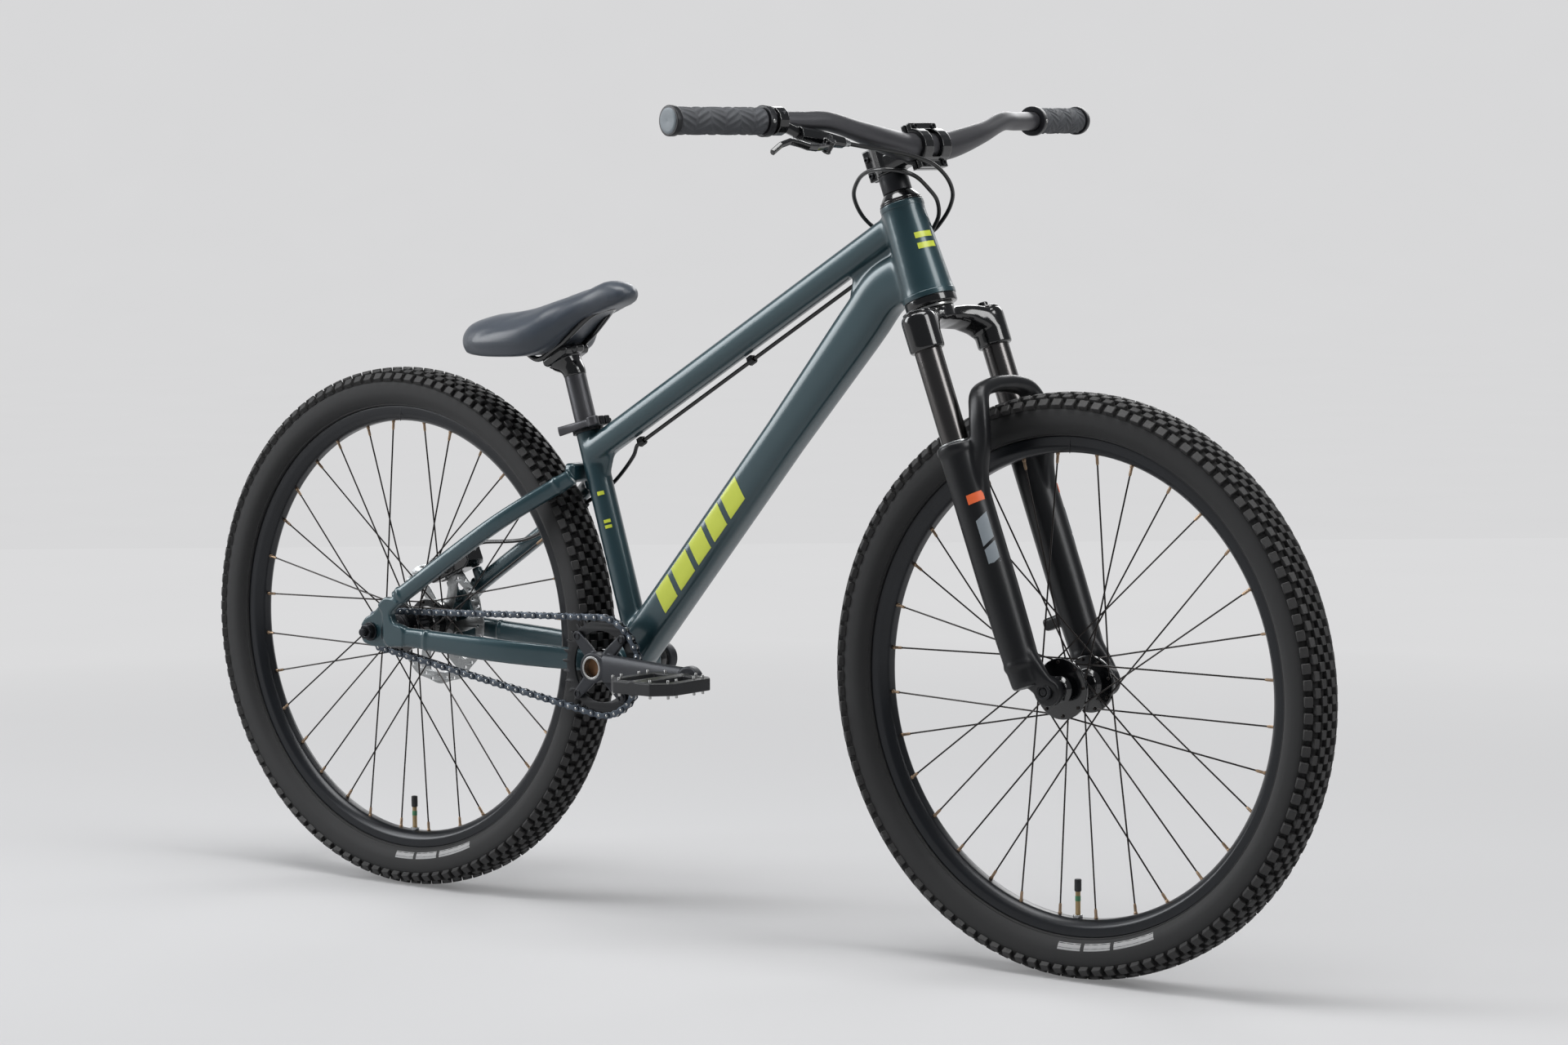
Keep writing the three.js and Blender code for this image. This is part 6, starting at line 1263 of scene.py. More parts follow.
def make_marks():
    """Plain bars on the frame and on the fork's legs."""
    bars = [tube_patch(BRACKET, DOWN_ALONG, down_tube_face, ((near, near + long), (-14, 15)), 9, 0.22)
            for near, long in ((102, 30), (141, 34), (184, 30), (223, 30), (262, 34))]
    ride(make_object("down_tube_bars", together(*bars), lime_mark), "root", "frame_paint")
    head_face = round_face(STEER_UP, Vector((0.94, -0.34, 0)), lambda up: mix(30.7, 25.4, (up - 489) / 100))
    forms = [tube_patch(STEER_FOOT, STEER_UP, head_face, ((low, low + 7), (-0.42, 0.42)), 0, 0.4)
             for low in (536, 549)]
    seat_face = round_face(SEAT_UP, Vector((0.5, -0.86, 0)), lambda up: 15.9)
    forms += [tube_patch(SEAT_FOOT, SEAT_UP, seat_face, ((low, high), (-0.25, 0.3)), 0, 0.3)
              for low, high in ((214, 219), (172, 176), (179, 183))]
    ride(make_object("frame_marks", together(*forms), lime_mark), "root", "frame_paint")
    tags, stripes = [], []
    for sign in (1, -1):
        foot = steer(LEG_AHEAD, sign * LEG_SPREAD, 0)
        face = round_face(STEER_UP, Vector((0.72, -0.69 if sign < 0 else 0.69, 0)),
                          lambda up: mix(19.5, 22.3, min(1, (up - 62) / 110)))
        tags.append(tube_patch(foot, STEER_UP, face, ((226, 237), (-0.42, 0.5)), 2, 0.35))
        for low, long in ((104, 18), (126, 22), (152, 20), (176, 30)):
            stripes.append(tube_patch(foot, STEER_UP, face, ((low, low + long), (-0.3, 0.36)), 8, 0.35))
    ride(make_object("fork_tags", together(*tags), orange_mark), "lowers", "black_satin")
    ride(make_object("fork_stripes", together(*stripes), grey_mark), "lowers", "black_satin")


def weld_collar(path_point, along_tube, section, width=7.0, lift=1.5):
    """A raised band round a stay where it is welded on."""
    line = [path_point + along_tube * (i / 6 - 0.5) * width for i in range(7)]
    swell = lambda s: [(x * (1 + lift * 2 / abs(section[0]) * math.sin(s * math.pi)),
                        y * (1 + lift * 2 / abs(section[1]) * math.sin(s * math.pi)))
                       for x, y in oval(section[0], section[1], section[2], 36)]
    return sweep(line, swell)


def rear_point(ahead, up, side=0.0):
    """A point given ahead of, above and beside the rear axle."""
    return REAR_AXLE + Vector((ahead, side, up))


SEATSTAY_HIGH, SEATSTAY_LOW = seat(0, 0, 252), rear_point(43, 44)
SEATSTAY_SHARES, SEATSTAY_SPREADS = (0, 0.6, 0.93), (71, 60, 24)
CHAINSTAY_LOW = rear_point(58, -3.5)


def seatstay_centre(share):
    """A point on the right seatstay's middle line."""
    spread = along(SEATSTAY_SHARES, SEATSTAY_SPREADS, share)
    point = SEATSTAY_LOW.lerp(SEATSTAY_HIGH, share)
    return Vector((point.x, -spread, point.z))


def chainstay_centre(share, spread):
    """A point on the right chainstay's middle line, at a distance from the frame's middle."""
    point = CHAINSTAY_LOW.lerp(BRACKET, share)
    return Vector((point.x, -spread, point.z))


def rear_side():
    """The right side: stays, dropout with its slot, hood and weld bands."""
    stay_line = spline([seatstay_centre(share) for share in SEATSTAY_SHARES], 30)
    seatstay = sweep(stay_line, lambda s: oval(16, 21, 3, 32))
    line = spline([chainstay_centre(*place) for place in ((0, 71), (0.5, 60), (0.78, 38), (1, 29))], 36)
    shares = (0, 0.4, 0.7, 1)
    chainstay = sweep(line, lambda s: oval(along(shares, (15, 15, 10, 10), s),
                                           along(shares, (24, 29, 29, 25), s), 3.6, 32))
    nose = 19
    slot_half, slot_front = 5.3, 8
    flat = [(-0.9, 0.45), (-0.55, 0.9), (0.2, 1.25), (0.75, 1.75), (1.4, 2.35), (2.3, 2.3), (2.9, 2.1),
            (1.95, 1.35), (2.2, 0.75), (3.2, 0.5), (3.2, -0.85), (1.7, -0.95), (0.6, -1.02), (0, -1),
            (-0.75, -0.8)]
    slot = [(-1.0, -slot_half / nose), (slot_front / nose, -slot_half / nose),
            (slot_front / nose, slot_half / nose), (-1.0, slot_half / nose)]
    outline = [(REAR_AXLE.x + x * nose, REAR_AXLE.z + z * nose) for x, z in flat + slot]
    hood = [(0.75, 1.85), (1.5, 2.45), (2.3, 2.4), (2.9, 2.1), (1.95, 1.35), (2.2, 0.75), (3.2, 0.5),
            (3.2, -0.85), (1.7, -0.95), (1.3, -0.5), (1.25, 1.3)]
    hood_line = [(REAR_AXLE.x + x * nose, REAR_AXLE.z + z * nose) for x, z in hood]
    bands = [weld_collar(line[i], (line[i + 1] - line[i]).normalized(), (w, h, 3.6))
             for i, w, h in ((4, 15, 25), (31, 10, 26))]
    bands += [weld_collar(stay_line[i], (stay_line[i + 1] - stay_line[i]).normalized(), (16, 21, 3))
              for i in (1, 27)]
    plate = slab(rounded(outline, 3, 3), -75.8, -67.8, bevel=1.0)
    cover = slab(rounded(hood_line, 4, 3), -79.8, -67.8, bevel=1.6)
    return together(seatstay, chainstay, plate, cover, *bands)


def caliper_posts():
    """The two posts that carry the caliper on the left stay."""
    posts = []
    for ahead, length in ((26, 19), (-24, 28)):
        corners = [caliper_point(ahead + x, -15 - y)
                   for x, y in ((-6, length), (6, length), (6, 0.4), (-6, 0.4))]
        posts.append(slab(rounded([(p.x, p.z) for p in corners], 1.5, 2), 60, 70, bevel=1.2))
    return together(*posts)


def make_rear_triangle():
    """Both sides and their bridges as one welded skin, and the tensioners."""
    right = rear_side()
    cross = lambda centre, x, z, y, bevel: moved(block((x, y, z), bevel), Matrix.Translation(centre))
    bridge = cross(seat(-27, 0, 252), 16, 24, 48, 3)
    yoke = cross(BRACKET + Vector((-27, 0, 0)), 9, 24, 76, 2)
    piece = fused("rear_frame", [right, mirrored(right), bridge, yoke, caliper_posts()], 1.4, 10, teal_paint)
    ride(piece, "root", "frame_paint", "rear_triangle")
    for side, sign in (("right", -1), ("left", 1)):
        middle = rear_point(21, 0, sign * 71.8)
        screw = rod(middle - Vector((0, 0, 8.5)), middle + Vector((0, 0, 8.5)), 4.3, 0.6, 24)
        ride(make_object("tensioner_" + side, screw, dark_steel), "root", "bright_steel",
             "chain_tensioner_" + side)


def make_axles():
    """Both wheel axles, the rear one with washers and nuts."""
    flip = {"right": -1, "left": 1}
    forms = [rod(REAR_AXLE - ACROSS * 92.4, REAR_AXLE + ACROSS * 92.4, 4.9, 0.8, 32)]
    for sign in flip.values():
        washer = ring_profile(5.2, 12, 76.2, 78.4, 0.5)
        forms.append(turned([(r, sign * y) for r, y in washer], REAR_AXLE, ACROSS, 40))
        nut = slab([(x + REAR_AXLE.x, z + REAR_AXLE.z) for x, z in rounded(circle(10, 6), 0.8, 2)],
                   *sorted((sign * 78.4, sign * 86.4)), [circle(4.95, 24, REAR_AXLE.x, REAR_AXLE.z)],
                   bevel=0.8)
        forms.append(nut)
    ride(make_object("rear_axle_bolt", together(*forms), dark_steel), "rear_wheel", "bright_steel",
         "rear_axle")
    bolt = rod(FRONT_AXLE - ACROSS * 64, FRONT_AXLE + ACROSS * 64.9, 7.4, 0.8, 40)
    head_line = rounded([(0, -68), (4.4, -68), (4.4, -64.5), (5, -64), (5.5, -64.5), (5.5, -68), (8.6, -68),
                         (9.4, -67), (9.4, -63.4), (0, -63.4)], 0.4, 2)
    head = turned(head_line, FRONT_AXLE, ACROSS, 40)
    ride(make_object("front_axle_bolt", together(bolt, head), satin_black), "front_wheel", "black_satin",
         "front_axle")


# Fork
LEG_AHEAD, LEG_SPREAD = 23.5, 65


def crown_forms():
    """Two clamps joined by an arm that arches up to the steerer, round on top and hollow below."""
    sides = (0, 0.3, 0.5, 0.68, 0.84, 1)
    tops, lows = (467, 467, 466, 463.5, 460, 456), (447, 446, 441, 431, 419, 412)
    widths = (48, 44, 39, 37, 39, 41)
    rings = []
    for i in range(65):
        side = -1 + i / 32
        top, low, width = (along(sides, values, abs(side)) for values in (tops, lows, widths))
        middle, ahead = (top + low) / 2, LEG_AHEAD * smooth_step(abs(side), 0.08, 0.95)
        rings.append([steer(ahead + x, side * LEG_SPREAD, middle + y)
                      for x, y in oval(width, top - low, 2.6, 40)])
    clamp_line = rounded([(0, 412), (19.6, 412), (20.6, 414), (20.6, 450), (18.5, 456), (0, 456)], 2.5, 4)
    clamps = [turned(clamp_line, steer(LEG_AHEAD, y, 0), STEER_UP, 56) for y in (LEG_SPREAD, -LEG_SPREAD)]
    seat_ring = rod(steer(0, 0, 452), steer(0, 0, 467.5), 24.5, 1.5, 56)
    tube = rod(steer(0, 0, 460), steer(0, 0, 669), 14.3, 0.5, 48)
    return [loft(rings), *clamps, seat_ring, tube]


def leg_profile():
    """The section of a lower leg, from its foot to the seal."""
    return rounded([(0, 11), (17, 11), (18.8, 14), (19.8, 33), (21.6, 35), (21.6, 40), (20.6, 42), (21.4, 70),
                    (22.3, 130), (22.3, 286), (22.8, 289), (24, 290), (24, 297), (22.6, 299.6),
                    (16.2, 299.6), (16.2, 296), (0, 296)], 1.6, 3)


def arch_path():
    """The middle line of the fork's arch, from leg to leg ahead of the crown."""
    sides, rises, aheads = (0.95, 0.9, 0.72, 0.35, 0), (0, 0.5, 0.86, 0.98, 1), (0.55, 0.98, 1, 1, 1)
    half = [steer(27, 0.99 * LEG_SPREAD, 222), steer(40, 0.98 * LEG_SPREAD, 262)]
    half += [steer(mix(43, 62.5, ahead), side * LEG_SPREAD, mix(290, 356, rise))
             for side, rise, ahead in zip(sides, rises, aheads)]
    other = [Vector((p.x, -p.y, p.z)) for p in reversed(half[:-1])]
    return spline(half + other, 60)


def make_fork():
    """Crown, legs with arch, stanchions, lips, caps and adjuster."""
    piece = fused("fork_crown", crown_forms(), 1.1, 14, gloss_black)
    ride(piece, "steering", "black_gloss", "crown_steerer")
    legs = []
    for sign in (1, -1):
        centre = steer(LEG_AHEAD, sign * LEG_SPREAD, 0)
        legs.append(turned(leg_profile(), centre, STEER_UP, 56))
        boss = rod(FRONT_AXLE + ACROSS * sign * 50.4, FRONT_AXLE + ACROSS * sign * 63, 17.5, 1.6, 48)
        path = spline([steer(FORK_OFFSET, sign * 56.7, 0),
                       steer(mix(FORK_OFFSET, LEG_AHEAD, 0.35), sign * 63, 17.5),
                       steer(LEG_AHEAD + 3, sign * LEG_SPREAD, 52),
                       steer(LEG_AHEAD, sign * LEG_SPREAD, 84)], 18)
        shape = lambda s: oval(mix(12.6, 36, s), mix(35, 36, s), 2.5, 32)
        legs.append(together(boss, sweep(path, shape, Vector((1, 0, 0)))))
    foot = lambda s: abs(2 * s - 1) ** 5
    arch = sweep(arch_path(), lambda s: oval(mix(18, 30, foot(s)), mix(24.5, 33, foot(s)), 2.8, 40),
                 steer(1, 0, 0) - STEER_FOOT)
    tabs = []
    for up in (13, 87.2):
        middle = steer(FORK_OFFSET - 46, LEG_SPREAD - 6, up) + Vector((8, 0, 0))
        place = Matrix.Translation(middle) @ Matrix.Rotation(-HEAD_LEAN, 4, "Y")
        tabs.append(moved(block((44, 15, 15), 2.5), place))
    lowers = fused("fork_legs", [*legs, arch, *tabs], 1.4, 12, matte_charcoal)
    ride(lowers, "lowers", "black_satin", "fork_lowers")
    for side, sign in (("right", -1), ("left", 1)):
        at = lambda up: steer(LEG_AHEAD, sign * LEG_SPREAD, up)
        tube = rod(at(172), at(456.4), 16, 0.8, 56)
        ride(make_object("stanchion_tube_" + side, tube, mirror_black), "steering", "bright_steel",
             "stanchion_" + side)
        lip = turned(ring_profile(16.15, 19.2, 298.6, 301.4, 0.6), at(0), STEER_UP, 56)
        ride(make_object("wiper_lip_" + side, lip, brushed_steel), "lowers", "bright_steel")
        cap = turned(rounded([(0, 456), (16.4, 456), (16.4, 458.4), (14.6, 459.4), (0, 459.4)], 0.7, 3),
                     at(0), STEER_UP, 48)
        ride(make_object("stanchion_cap_" + side, cap, gloss_black), "steering", "black_gloss")
    at = lambda up: steer(LEG_AHEAD, LEG_SPREAD, up)
    knob = together(rod(at(456.3), at(460.8), 10, 0.8, 40), rod(at(460), at(465.8), 6, 0.8, 24))
    ride(make_object("adjuster_knob", knob, gloss_black), "steering", "black_gloss", "fork_adjuster")


def make_headset():
    """Cups, race, cover, spacer and top cap."""
    turn = lambda line, segments=64: turned(rounded(line, 0.7, 3), STEER_FOOT, STEER_UP, segments)
    lower = turn([(19.6, 471.3), (30.2, 471.3), (30.8, 473), (30.8, 480.3), (27.6, 480.3), (27.6, 492),
                  (19.6, 492)])
    ride(make_object("lower_cup", lower, gloss_black), "root", "black_gloss", "headset_lower_cup")
    upper = turn([(14.8, 586), (22.6, 586), (22.6, 597.9), (25.6, 597.9), (25.6, 599.7), (14.8, 599.7)])
    ride(make_object("upper_cup", upper, gloss_black), "root", "black_gloss", "headset_upper_cup")
    race = turn([(19.4, 467.3), (24.8, 467.3), (25, 470.6), (19.4, 470.6)])
    ride(make_object("race_ring", race, bright_steel), "steering", "bright_steel", "crown_race")
    cover = turn([(14.6, COVER_LOW + 0.2), (24.4, COVER_LOW + 0.2), (24.4, COVER_LOW + 2),
                  (21.5, COVER_LOW + 6), (17.8, COVER_TOP - 0.5), (14.6, COVER_TOP - 0.2)])
    ride(make_object("headset_cap", cover, gloss_black), "steering", "black_gloss", "headset_cover")
    spacer = turn([(14.6, COVER_TOP + GAP), (17.4, COVER_TOP + GAP), (17.4, SPACER_TOP), (14.6, SPACER_TOP)])
    ride(make_object("steerer_spacer", spacer, satin_black), "steering", "black_satin", "stem_spacer")
    cap = turn([(0, STEM_TOP + GAP), (16.3, STEM_TOP + GAP), (16.3, STEM_TOP + 2.6), (14.2, STEM_TOP + 4.6),
                (4.4, STEM_TOP + 4.6), (4.2, STEM_TOP + 2.4), (0, STEM_TOP + 2.4)])
    ride(make_object("stem_cap", cap, gloss_black), "steering", "black_gloss", "top_cap")


def make_stem():
    """Stem, faceplate and their bolts."""
    ride(casting("stem_body", "stem", 0.8, 5, gloss_black), "steering", "black_gloss", "stem")
    ride(casting("stem_plate", "stem_faceplate", 0.7, 4, gloss_black), "steering", "black_gloss",
         "stem_faceplate")
    bolt = turned([(0, -2), (3.4, -2), (3.4, 2.2), (2.7, 3), (1.7, 3), (1.6, 1), (0, 1)],
                  ORIGIN, UP, 24)
    ahead = steer(1, 0, 0) - STEER_FOOT
    places = [place_at(steer(55 + 6.2, y, BAR_UP + up), ahead) for y in (-17, 17) for up in (-22.5, 22.5)]
    places += [place_at(steer(-24, sign * 6.5, up), ACROSS * sign) for sign, up in ((-1, 661), (-1, 641))]
    ride(repeat("stem_bolts", bolt, places, satin_black), "steering", "black_satin")


# Handlebar, grips and brake lever
BAR = {"reach": 55, "sweep": 42, "rise": 48, "half": 385, "top_side": 168, "top_rise": 31, "grip": 134}
GRIP_START = BAR["half"] - BAR["grip"]


def bar_point(side, share):
    """A point on the outer part of the bar, from its bend at share 0 to its tip at share 1."""
    tip = Vector((BAR["reach"] - BAR["sweep"], side * BAR["half"], BAR_UP + BAR["rise"]))
    bend = Vector((BAR["reach"], side * BAR["top_side"], BAR_UP + BAR["top_rise"]))
    point = bend.lerp(tip, share)
    return steer(point.x, point.y, point.z)


def bar_at(side, y):
    """The point on the outer part of the bar at a distance from its middle."""
    return bar_point(side, (y - BAR["top_side"]) / (BAR["half"] - BAR["top_side"]))


def make_bar():
    """One tube, thick in the clamp and narrower towards the grips."""
    half = [steer(55, 38, BAR_UP), steer(59, 112, BAR_UP + 15), bar_point(1, 0), bar_point(1, 0.15)]
    inner = steer(55, 0, BAR_UP)
    side = spline([steer(55, 20, BAR_UP), *half], 40) + [bar_point(1, s) for s in (0.3, 0.6, 1)]
    other = [Vector((p.x, -p.y, p.z)) for p in reversed(side)]
    path = [*other, inner, *side]
    radius = lambda s: mix(15.9, 11.1, smooth_step(abs(path[round(s * (len(path) - 1))].y), 40, 150))
    ride(make_object("bar_tube", pipe(path, radius, 40), bar_black), "steering", "black_satin", "handlebar")


def grip_form(side):
    """The rubber sleeve: bands of slanting ribs between plain rings."""
    start, tip = bar_at(side, GRIP_START), bar_point(side, 1)
    axis = (tip - start).normalized()
    length = (tip - start).length
    across = axis.orthogonal().normalized()
    rise = axis.cross(across)
    around, steps = 96, 150
    bands, ribs, slant = 6, 12, 0.42
    low, high = 9.4, length - 5.2
    rings = [[start + axis * low + (across * math.cos(a) + rise * math.sin(a)) * 11.3
              for a in (j / around * 2 * math.pi for j in range(around))]]
    for i in range(steps + 1):
        height = mix(low, high, i / steps)
        band = (height - low) / (high - low)
        ring = []
        for j in range(around):
            angle = j / around * 2 * math.pi
            edge = smooth_step(band, 0.0, 0.03) * (1 - smooth_step(band, 0.97, 1.0))
            row = (band * bands) % 1.0
            plain = smooth_step(row, 0.0, 0.08) * (1 - smooth_step(row, 0.84, 0.92))
            lean = 1 if int(band * bands) % 2 == 0 else -1
            rib = math.sin(ribs * angle + lean * height * slant)
            radius = 14.2 + edge * (0.7 + 0.7 * plain * max(-0.4, min(1.0, rib * 1.6)))
            ring.append(start + axis * height + (across * math.cos(angle) + rise * math.sin(angle)) * radius)
        rings.append(ring)
    rings.append([start + axis * high + (across * math.cos(a) + rise * math.sin(a)) * 11.3
                  for a in (j / around * 2 * math.pi for j in range(around))])
    return loft(rings), start, axis, length


def make_grips():
    """Sleeve, collars, plug and screw of each grip."""
    for name, side in (("right", -1), ("left", 1)):
        sleeve, start, axis, length = grip_form(side)
        ride(make_object("grip_sleeve_" + name, sleeve, grip_rubber, math.radians(60)), "steering",
             "grip_rubber", "grip_" + name)
        collar = together(
            turned(ring_profile(11.3, 17.8, 0, 9, 1.0), start, axis, 48),
            turned(ring_profile(11.3, 17.2, length - 5, length + 2.6, 1.0), start, axis, 48))
        ride(make_object("grip_collars_" + name, collar, satin_black), "steering", "black_satin")
        plug = turned(rounded([(0, length), (14.4, length + 1), (14.4, length + 3.4), (12, length + 4.2),
                               (0, length + 4.2)], 0.8, 3), start, axis, 48)
        ride(make_object("grip_plug_" + name, plug, grey_mark if side < 0 else moulded_plastic), "steering",
             "black_plastic")
        screw = rod(Vector((0, 0, -1)), Vector((0, 0, 1.2)), 2.2, 0.5, 20)
        out = axis.cross(UP).normalized()
        ahead = out if out.x > 0 else -out
        places = [place_at(start + axis * 4.5 + ahead * 17.6, ahead)]
        ride(repeat("grip_screws_" + name, screw, places, bright_steel), "steering", "bright_steel")


LEVER_CLAMP = (41.3, -239, 684.8)


def lever_point(ahead, inboard, drop):
    """A point given ahead of, inboard of and below the lever's clamp."""
    return steer(LEVER_CLAMP[0] + ahead, LEVER_CLAMP[1] + inboard, LEVER_CLAMP[2] - drop)


def lever_port():
    """Where the hose leaves the lever's body, and its direction there."""
    port = lever_point(18, 84, 33)
    return port, (port - lever_point(13, 14, 21)).normalized()


def make_lever():
    """Housing, blade, hose fitting and clamp screw."""
    ride(casting("lever_housing", "brake_lever_body", 0.7, 6, gloss_black), "steering", "black_gloss",
         "brake_lever_body")
    ride(casting("lever_blade", "brake_lever_blade", 0.6, 6, gloss_black), "brake_lever", "black_gloss",
         "brake_lever_blade")
    port, toward = lever_port()
    fitting = together(rod(port - toward, port + toward * 5, 4.6, 0.6, 6),
                       rod(port, port + toward * 9.4, 3.5, 0.6, 24))
    ride(make_object("lever_fitting", fitting, brushed_steel), "steering", "bright_steel")
    clamp = rod(lever_point(14, -2, -2), lever_point(14, -2, -6), 2.6, 0.5, 20)
    ride(make_object("lever_clamp_screw", clamp, satin_black), "steering", "black_satin")


# Hoses and clips
# Points of the front hose from lever to frame, listed as in the CAD
FRONT_HOSE_ROUTE = [
    (320, -122, 946.5), (329, -80, 941), (337, -48, 934), (340, -22, 926), (340, 3, 910), (334, 21, 893),
    (321, 33, 877), (306, 38, 861), (290, 40, 848), (262, 40, 840), (235, 34, 842), (219, 22, 852),
    (211, 7, 868), (214, -11, 890), (232, -26, 908), (257, -40, 918), (286, -48, 921), (308, -43, 919),
    (317, -28, 913), (317, -2, 898), (313, 19, 884), (306, 31, 867), (297, 33.5, 853), (283, 33.5, 834),
    (262, 32, 816), (236, 24, 802)]
HOSE_RADIUS = 2.5
CLIP_DROP, CLIP_SIDE, CLIP_LENGTH = 23, 10.7, 9


def stay_point(share, inboard, drop):
    """A point given inboard of and below the left seatstay's middle line."""
    centre = seatstay_centre(share)
    return Vector((centre.x, -centre.y - inboard, centre.z - drop))


def make_hoses():
    """Both stretches of the hose, and the clips that hold them."""
    port, toward = lever_port()
    clip_front = top_tube_point(89, CLIP_DROP, CLIP_SIDE)
    front_route = [port + toward * 9.3, *(Vector(p) for p in FRONT_HOSE_ROUTE),
                   clip_front + TOP_BACK * -2 * CLIP_LENGTH, clip_front - TOP_BACK * CLIP_LENGTH]
    front = make_object("front_hose", pipe(spline(front_route, 220), HOSE_RADIUS, 14), hose_black)
    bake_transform(front, "steering", "root", start=tuple(Vector(FRONT_HOSE_ROUTE[3]) * MM),
             end=tuple(Vector(FRONT_HOSE_ROUTE[23]) * MM))
    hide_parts("brake_hose_front")
    clip_middle, clip_rear = (top_tube_point(d, CLIP_DROP, CLIP_SIDE) for d in (295, 500))
    clip_stay = stay_point(0.82, 4, 20.5)
    stay_along = (SEATSTAY_LOW - SEATSTAY_HIGH).normalized()
    rear_route = [clip_front + TOP_BACK * (GAP - CLIP_LENGTH), clip_front, clip_middle, clip_rear,
                  top_tube_point(509, CLIP_DROP, CLIP_SIDE),
                  top_tube_point(526, CLIP_DROP + 6, CLIP_SIDE + 6),
                  seat(-8, 27, 228), clip_stay - stay_along * CLIP_LENGTH, clip_stay,
                  clip_stay + stay_along * CLIP_LENGTH, stay_point(0.42, 15, 0), caliper_point(59, 7.5, 52),
                  caliper_point(50.3, 7.5, 52)]
    rear = make_object("rear_hose", pipe(spline(rear_route, 200), HOSE_RADIUS, 14), hose_black)
    ride(rear, "root", "black_plastic", "brake_hose_rear")
    for name in ("front", "middle", "rear", "stay"):
        ride(casting("hose_holder_" + name, "hose_clip_" + name, 0.5, 3, moulded_plastic), "root",
             "black_plastic", "hose_clip_" + name)


# Seat
CRADLE_UP, CRADLE_BACK = 404, 9
RAIL_TILT = math.radians(30)
RAIL_RADIUS = 3.5


def saddle_point(ahead, left, up):
    """A point given from the middle of the rail cradle."""
    return seat(-CRADLE_BACK, 0, CRADLE_UP) + Vector((ahead, left, up))


def rail_path():
    """The bent wire of the rails, from the tail round the nose and back."""
    flat = lambda share: (share * 40 * math.cos(RAIL_TILT), 22, share * 40 * math.sin(RAIL_TILT))
    half = [(-63, 24, 14.5), (-29, 22, -10), flat(-0.5), flat(0), flat(0.5), (29, 22, 18.5), (65, 15, 47.5),
            (83, 0, 54.5)]
    other = [(x, -y, z) for x, y, z in reversed(half[:-1])]
    return spline([saddle_point(*p) for p in half + other], 120)


SADDLE = {"length": 250, "half": 67, "tail": 134, "rise": 88, "swell": 2.0}
SHELL_SHORTER, SHELL_FIXED_AT = 0.9, 66
# Sections from tail to nose: half width, top and edge are shares of the sizes above
STATIONS = (0, 0.05, 0.16, 0.29, 0.435, 0.54, 0.635, 0.745, 0.87, 0.96, 1)
WIDTHS = (0.5, 0.8, 0.95, 1, 0.98, 0.88, 0.62, 0.43, 0.36, 0.3, 0.12)
TOPS = (0.3, 0.41, 0.48, 0.52, 0.59, 0.68, 0.77, 0.88, 1, 0.96, 0.87)
EDGES = (0.02, -0.06, -0.09, -0.09, -0.07, 0, 0.22, 0.45, 0.59, 0.69, 0.77)
# Half a section from its edge to its top
CROWN = ((0.86, 0), (1, 0.28), (0.95, 0.6), (0.72, 0.86), (0.38, 0.97), (0, 1))


def saddle_form():
    """Sections from tail to nose, smoothed along and across."""
    lines = [spline([Vector((station, value, 0)) for station, value in zip(STATIONS, values)], 120)
             for values in (WIDTHS, TOPS, EDGES)]
    read = [lambda x, line=line: along([p.x for p in line], [p.y for p in line], x) for line in lines]
    crown = spline([Vector((*pair, 0)) for pair in CROWN], 16)
    rings = []
    for i in range(61):
        station = 0.5 - 0.5 * math.cos(math.pi * i / 60)
        width, top, edge = (f(station) for f in read)
        ahead = SADDLE["length"] * station - SADDLE["tail"]
        half, low, depth = SADDLE["half"] * width, SADDLE["rise"] * edge, SADDLE["rise"] * (top - edge)
        side = [(p.x * half, low + p.y * depth) for p in crown]
        ring = side + [(-y, z) for y, z in reversed(side[:-1])]
        rings.append([saddle_point(ahead, y, z) for y, z in ring])
    return loft(rings)


def make_saddle_cover():
    """The padded cover swells under pressure, held where it grips the shell."""
    piece = fused("saddle_cover", saddle_form(), 4.5, 0, saddle_vinyl)
    mesh = piece.data
    rest = [v.co.copy() for v in mesh.vertices]
    middle_x = sum(p.x for p in rest) / len(rest)
    group = piece.vertex_groups.new(name="held")
    free = []
    for vertex in mesh.vertices:
        n, p = vertex.normal, vertex.co
        inward = n.z < -0.15 or n.y * math.copysign(1, p.y) < -0.25 or (p.x < middle_x - 0.1 and n.x > 0.35)
        free.append(0.0 if inward else 1.0)
        if inward:
            group.add([vertex.index], 1.0, "REPLACE")
    cloth = piece.modifiers.new("swell", "CLOTH")
    cloth.settings.use_pressure = True
    cloth.settings.uniform_pressure_force = 4
    cloth.settings.vertex_group_mass = "held"
    cloth.settings.effector_weights.gravity = 0
    cloth.settings.tension_stiffness = cloth.settings.compression_stiffness = 30
    for step in range(1, 21):
        bpy.context.scene.frame_set(step)
    graph = bpy.context.evaluated_depsgraph_get()
    swollen = [v.co.copy() for v in piece.evaluated_get(graph).data.vertices]
    piece.modifiers.clear()
    cap = SADDLE["swell"] * MM
    for vertex, start, end, share in zip(mesh.vertices, rest, swollen, free):
        move = end - start
        if move.length > cap:
            move *= cap / move.length
        vertex.co = start + move * share
    bpy.context.scene.frame_set(1)
    soften = piece.modifiers.new("soften", "SMOOTH")
    soften.factor, soften.iterations = 0.5, 3
    finer = piece.modifiers.new("finer", "SUBSURF")
    finer.levels = finer.render_levels = 1
    baked(piece)
    piece.data.shade_smooth()
    ride(piece, "seat", "saddle_cover", "saddle_cushion")


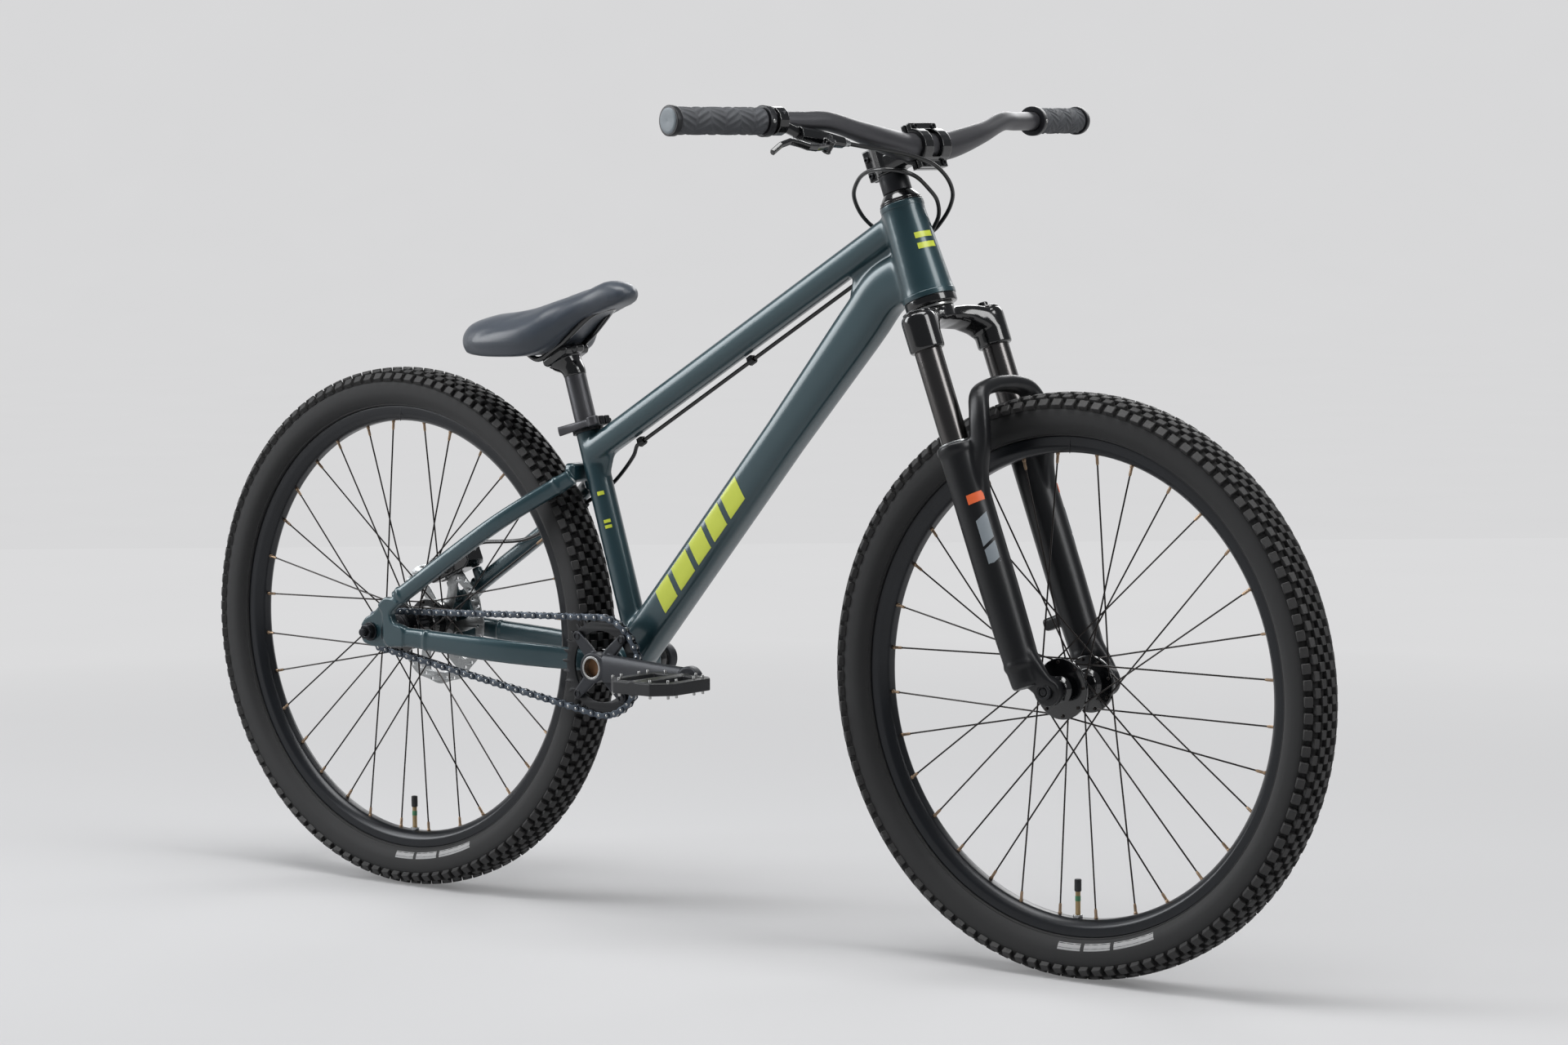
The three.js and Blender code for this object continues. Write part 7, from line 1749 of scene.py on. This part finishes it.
def make_post():
    """A plain tube with a forged head: a round neck that spreads into the rail cradle."""
    top = CRADLE_UP - 33
    tube = rod(seat(0, 0, 112), seat(0, 0, top), 13.6, 0.5, 48)
    ride(make_object("post_tube", tube, bar_black), "seat", "black_satin", "seatpost")
    lean = Matrix.Rotation(-RAIL_TILT, 4, "Y")
    centre = saddle_point(0, 0, 0)
    neck_top = seat(-CRADLE_BACK, 0, CRADLE_UP - 12)
    path = spline([seat(0, 0, top - 3), seat(0, 0, top + 3), seat(-3.5, 0, top + 12), neck_top], 20)
    neck = sweep(path, lambda s: oval(along((0, 0.2, 0.5, 1), (28.4, 28.4, 29, 40), s),
                                      along((0, 0.2, 0.5, 1), (28.4, 28.4, 28, 38), s), mix(2, 2.8, s), 40),
                 Vector((1, 0, 0)))
    bed_place = Matrix.Translation(centre) @ lean @ Matrix.Translation((0, 0, -7.4))
    bed = moved(block((44, 50, 13), 4.5), bed_place)
    ears = [moved(block((13, 20, 13), 4), Matrix.Translation(centre) @ lean @ Matrix.Translation((x, 0, -8)))
            for x in (-21, 21)]
    head = fused("post_head", [neck, bed, *ears], 1.0, 5, gloss_black)
    ride(head, "seat", "black_satin")
    lid = moved(block((34, 54, 8), 3), Matrix.Translation(centre) @ lean @ Matrix.Translation((0, 0, 4.7)))
    ride(fused("rail_clamp", [lid], 0.9, 4, gloss_black), "seat", "black_gloss", "saddle_clamp")


def make_collar_lever():
    """A cam with a curved paddle that lies along the collar."""
    at = lambda x, y, z=0.0: seat(26.5 + x, -17.5 + y, 304 + z)
    path = spline([at(2, 0), at(-17.5, -4.2), at(-36, -6.6), at(-50, -9.8)], 24)
    arm = sweep(path, lambda s: oval(mix(8, 4.4, s), mix(8.6, 12, s), 2.6, 28), SEAT_UP)
    cam = rod(at(0, 0, -5.8), at(0, 0, 5.8), 7.9, 1.2, 40)
    ride(fused("collar_lever", [arm, cam], 0.6, 4, bar_black), "seat_lever", "black_satin",
         "seat_clamp_lever")


def make_seat():
    """Saddle, rails, post, collar and their bolts."""
    make_saddle_cover()
    shell = casting("saddle_base", "saddle_shell", 1.4, 3, moulded_plastic)
    pivot = saddle_point(SHELL_FIXED_AT, 0, 0).x * MM
    for vertex in shell.data.vertices:
        vertex.co.x = pivot + (vertex.co.x - pivot) * SHELL_SHORTER
    ride(shell, "seat", "black_plastic", "saddle_shell")
    ride(make_object("rail_wire", pipe(rail_path(), RAIL_RADIUS, 20), gloss_black), "seat", "black_gloss",
         "saddle_rails")
    make_post()
    ride(casting("collar_ring", "seat_collar", 0.6, 5, matte_charcoal), "root", "black_satin", "seat_collar")
    make_collar_lever()
    head = turned([(0, -2), (4.6, -2), (4.6, 2.4), (3.6, 3.4), (2.2, 3.4), (2, 1.2), (0, 1.2)],
                  ORIGIN, UP, 28)
    up = Vector((-math.sin(RAIL_TILT), 0, math.cos(RAIL_TILT)))
    ahead = Vector((up.z, 0, -up.x))
    centre = saddle_point(0, 0, 0)
    places = [place_at(centre + ahead * a + up * 9.4, up) for a in (-11, 11)]
    ride(repeat("clamp_bolts", head, places, bright_steel), "seat", "bright_steel")


# Everything, in the order in which it is made
set_camera()
set_stage()
make_hoses()
make_front_triangle()
make_rear_triangle()
make_marks()
make_axles()
make_wheels()
make_rotor()
make_caliper()
make_chain()
make_chainring()
make_cog()
make_cranks()
make_pedals()
make_fork()
make_headset()
make_stem()
make_bar()
make_grips()
make_lever()
make_seat()

# The CAD box and the visual model's box, for comparison
visual_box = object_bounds()
{"cad": [list(corner) for corner in cad_box], "visual": [list(corner) for corner in visual_box]}
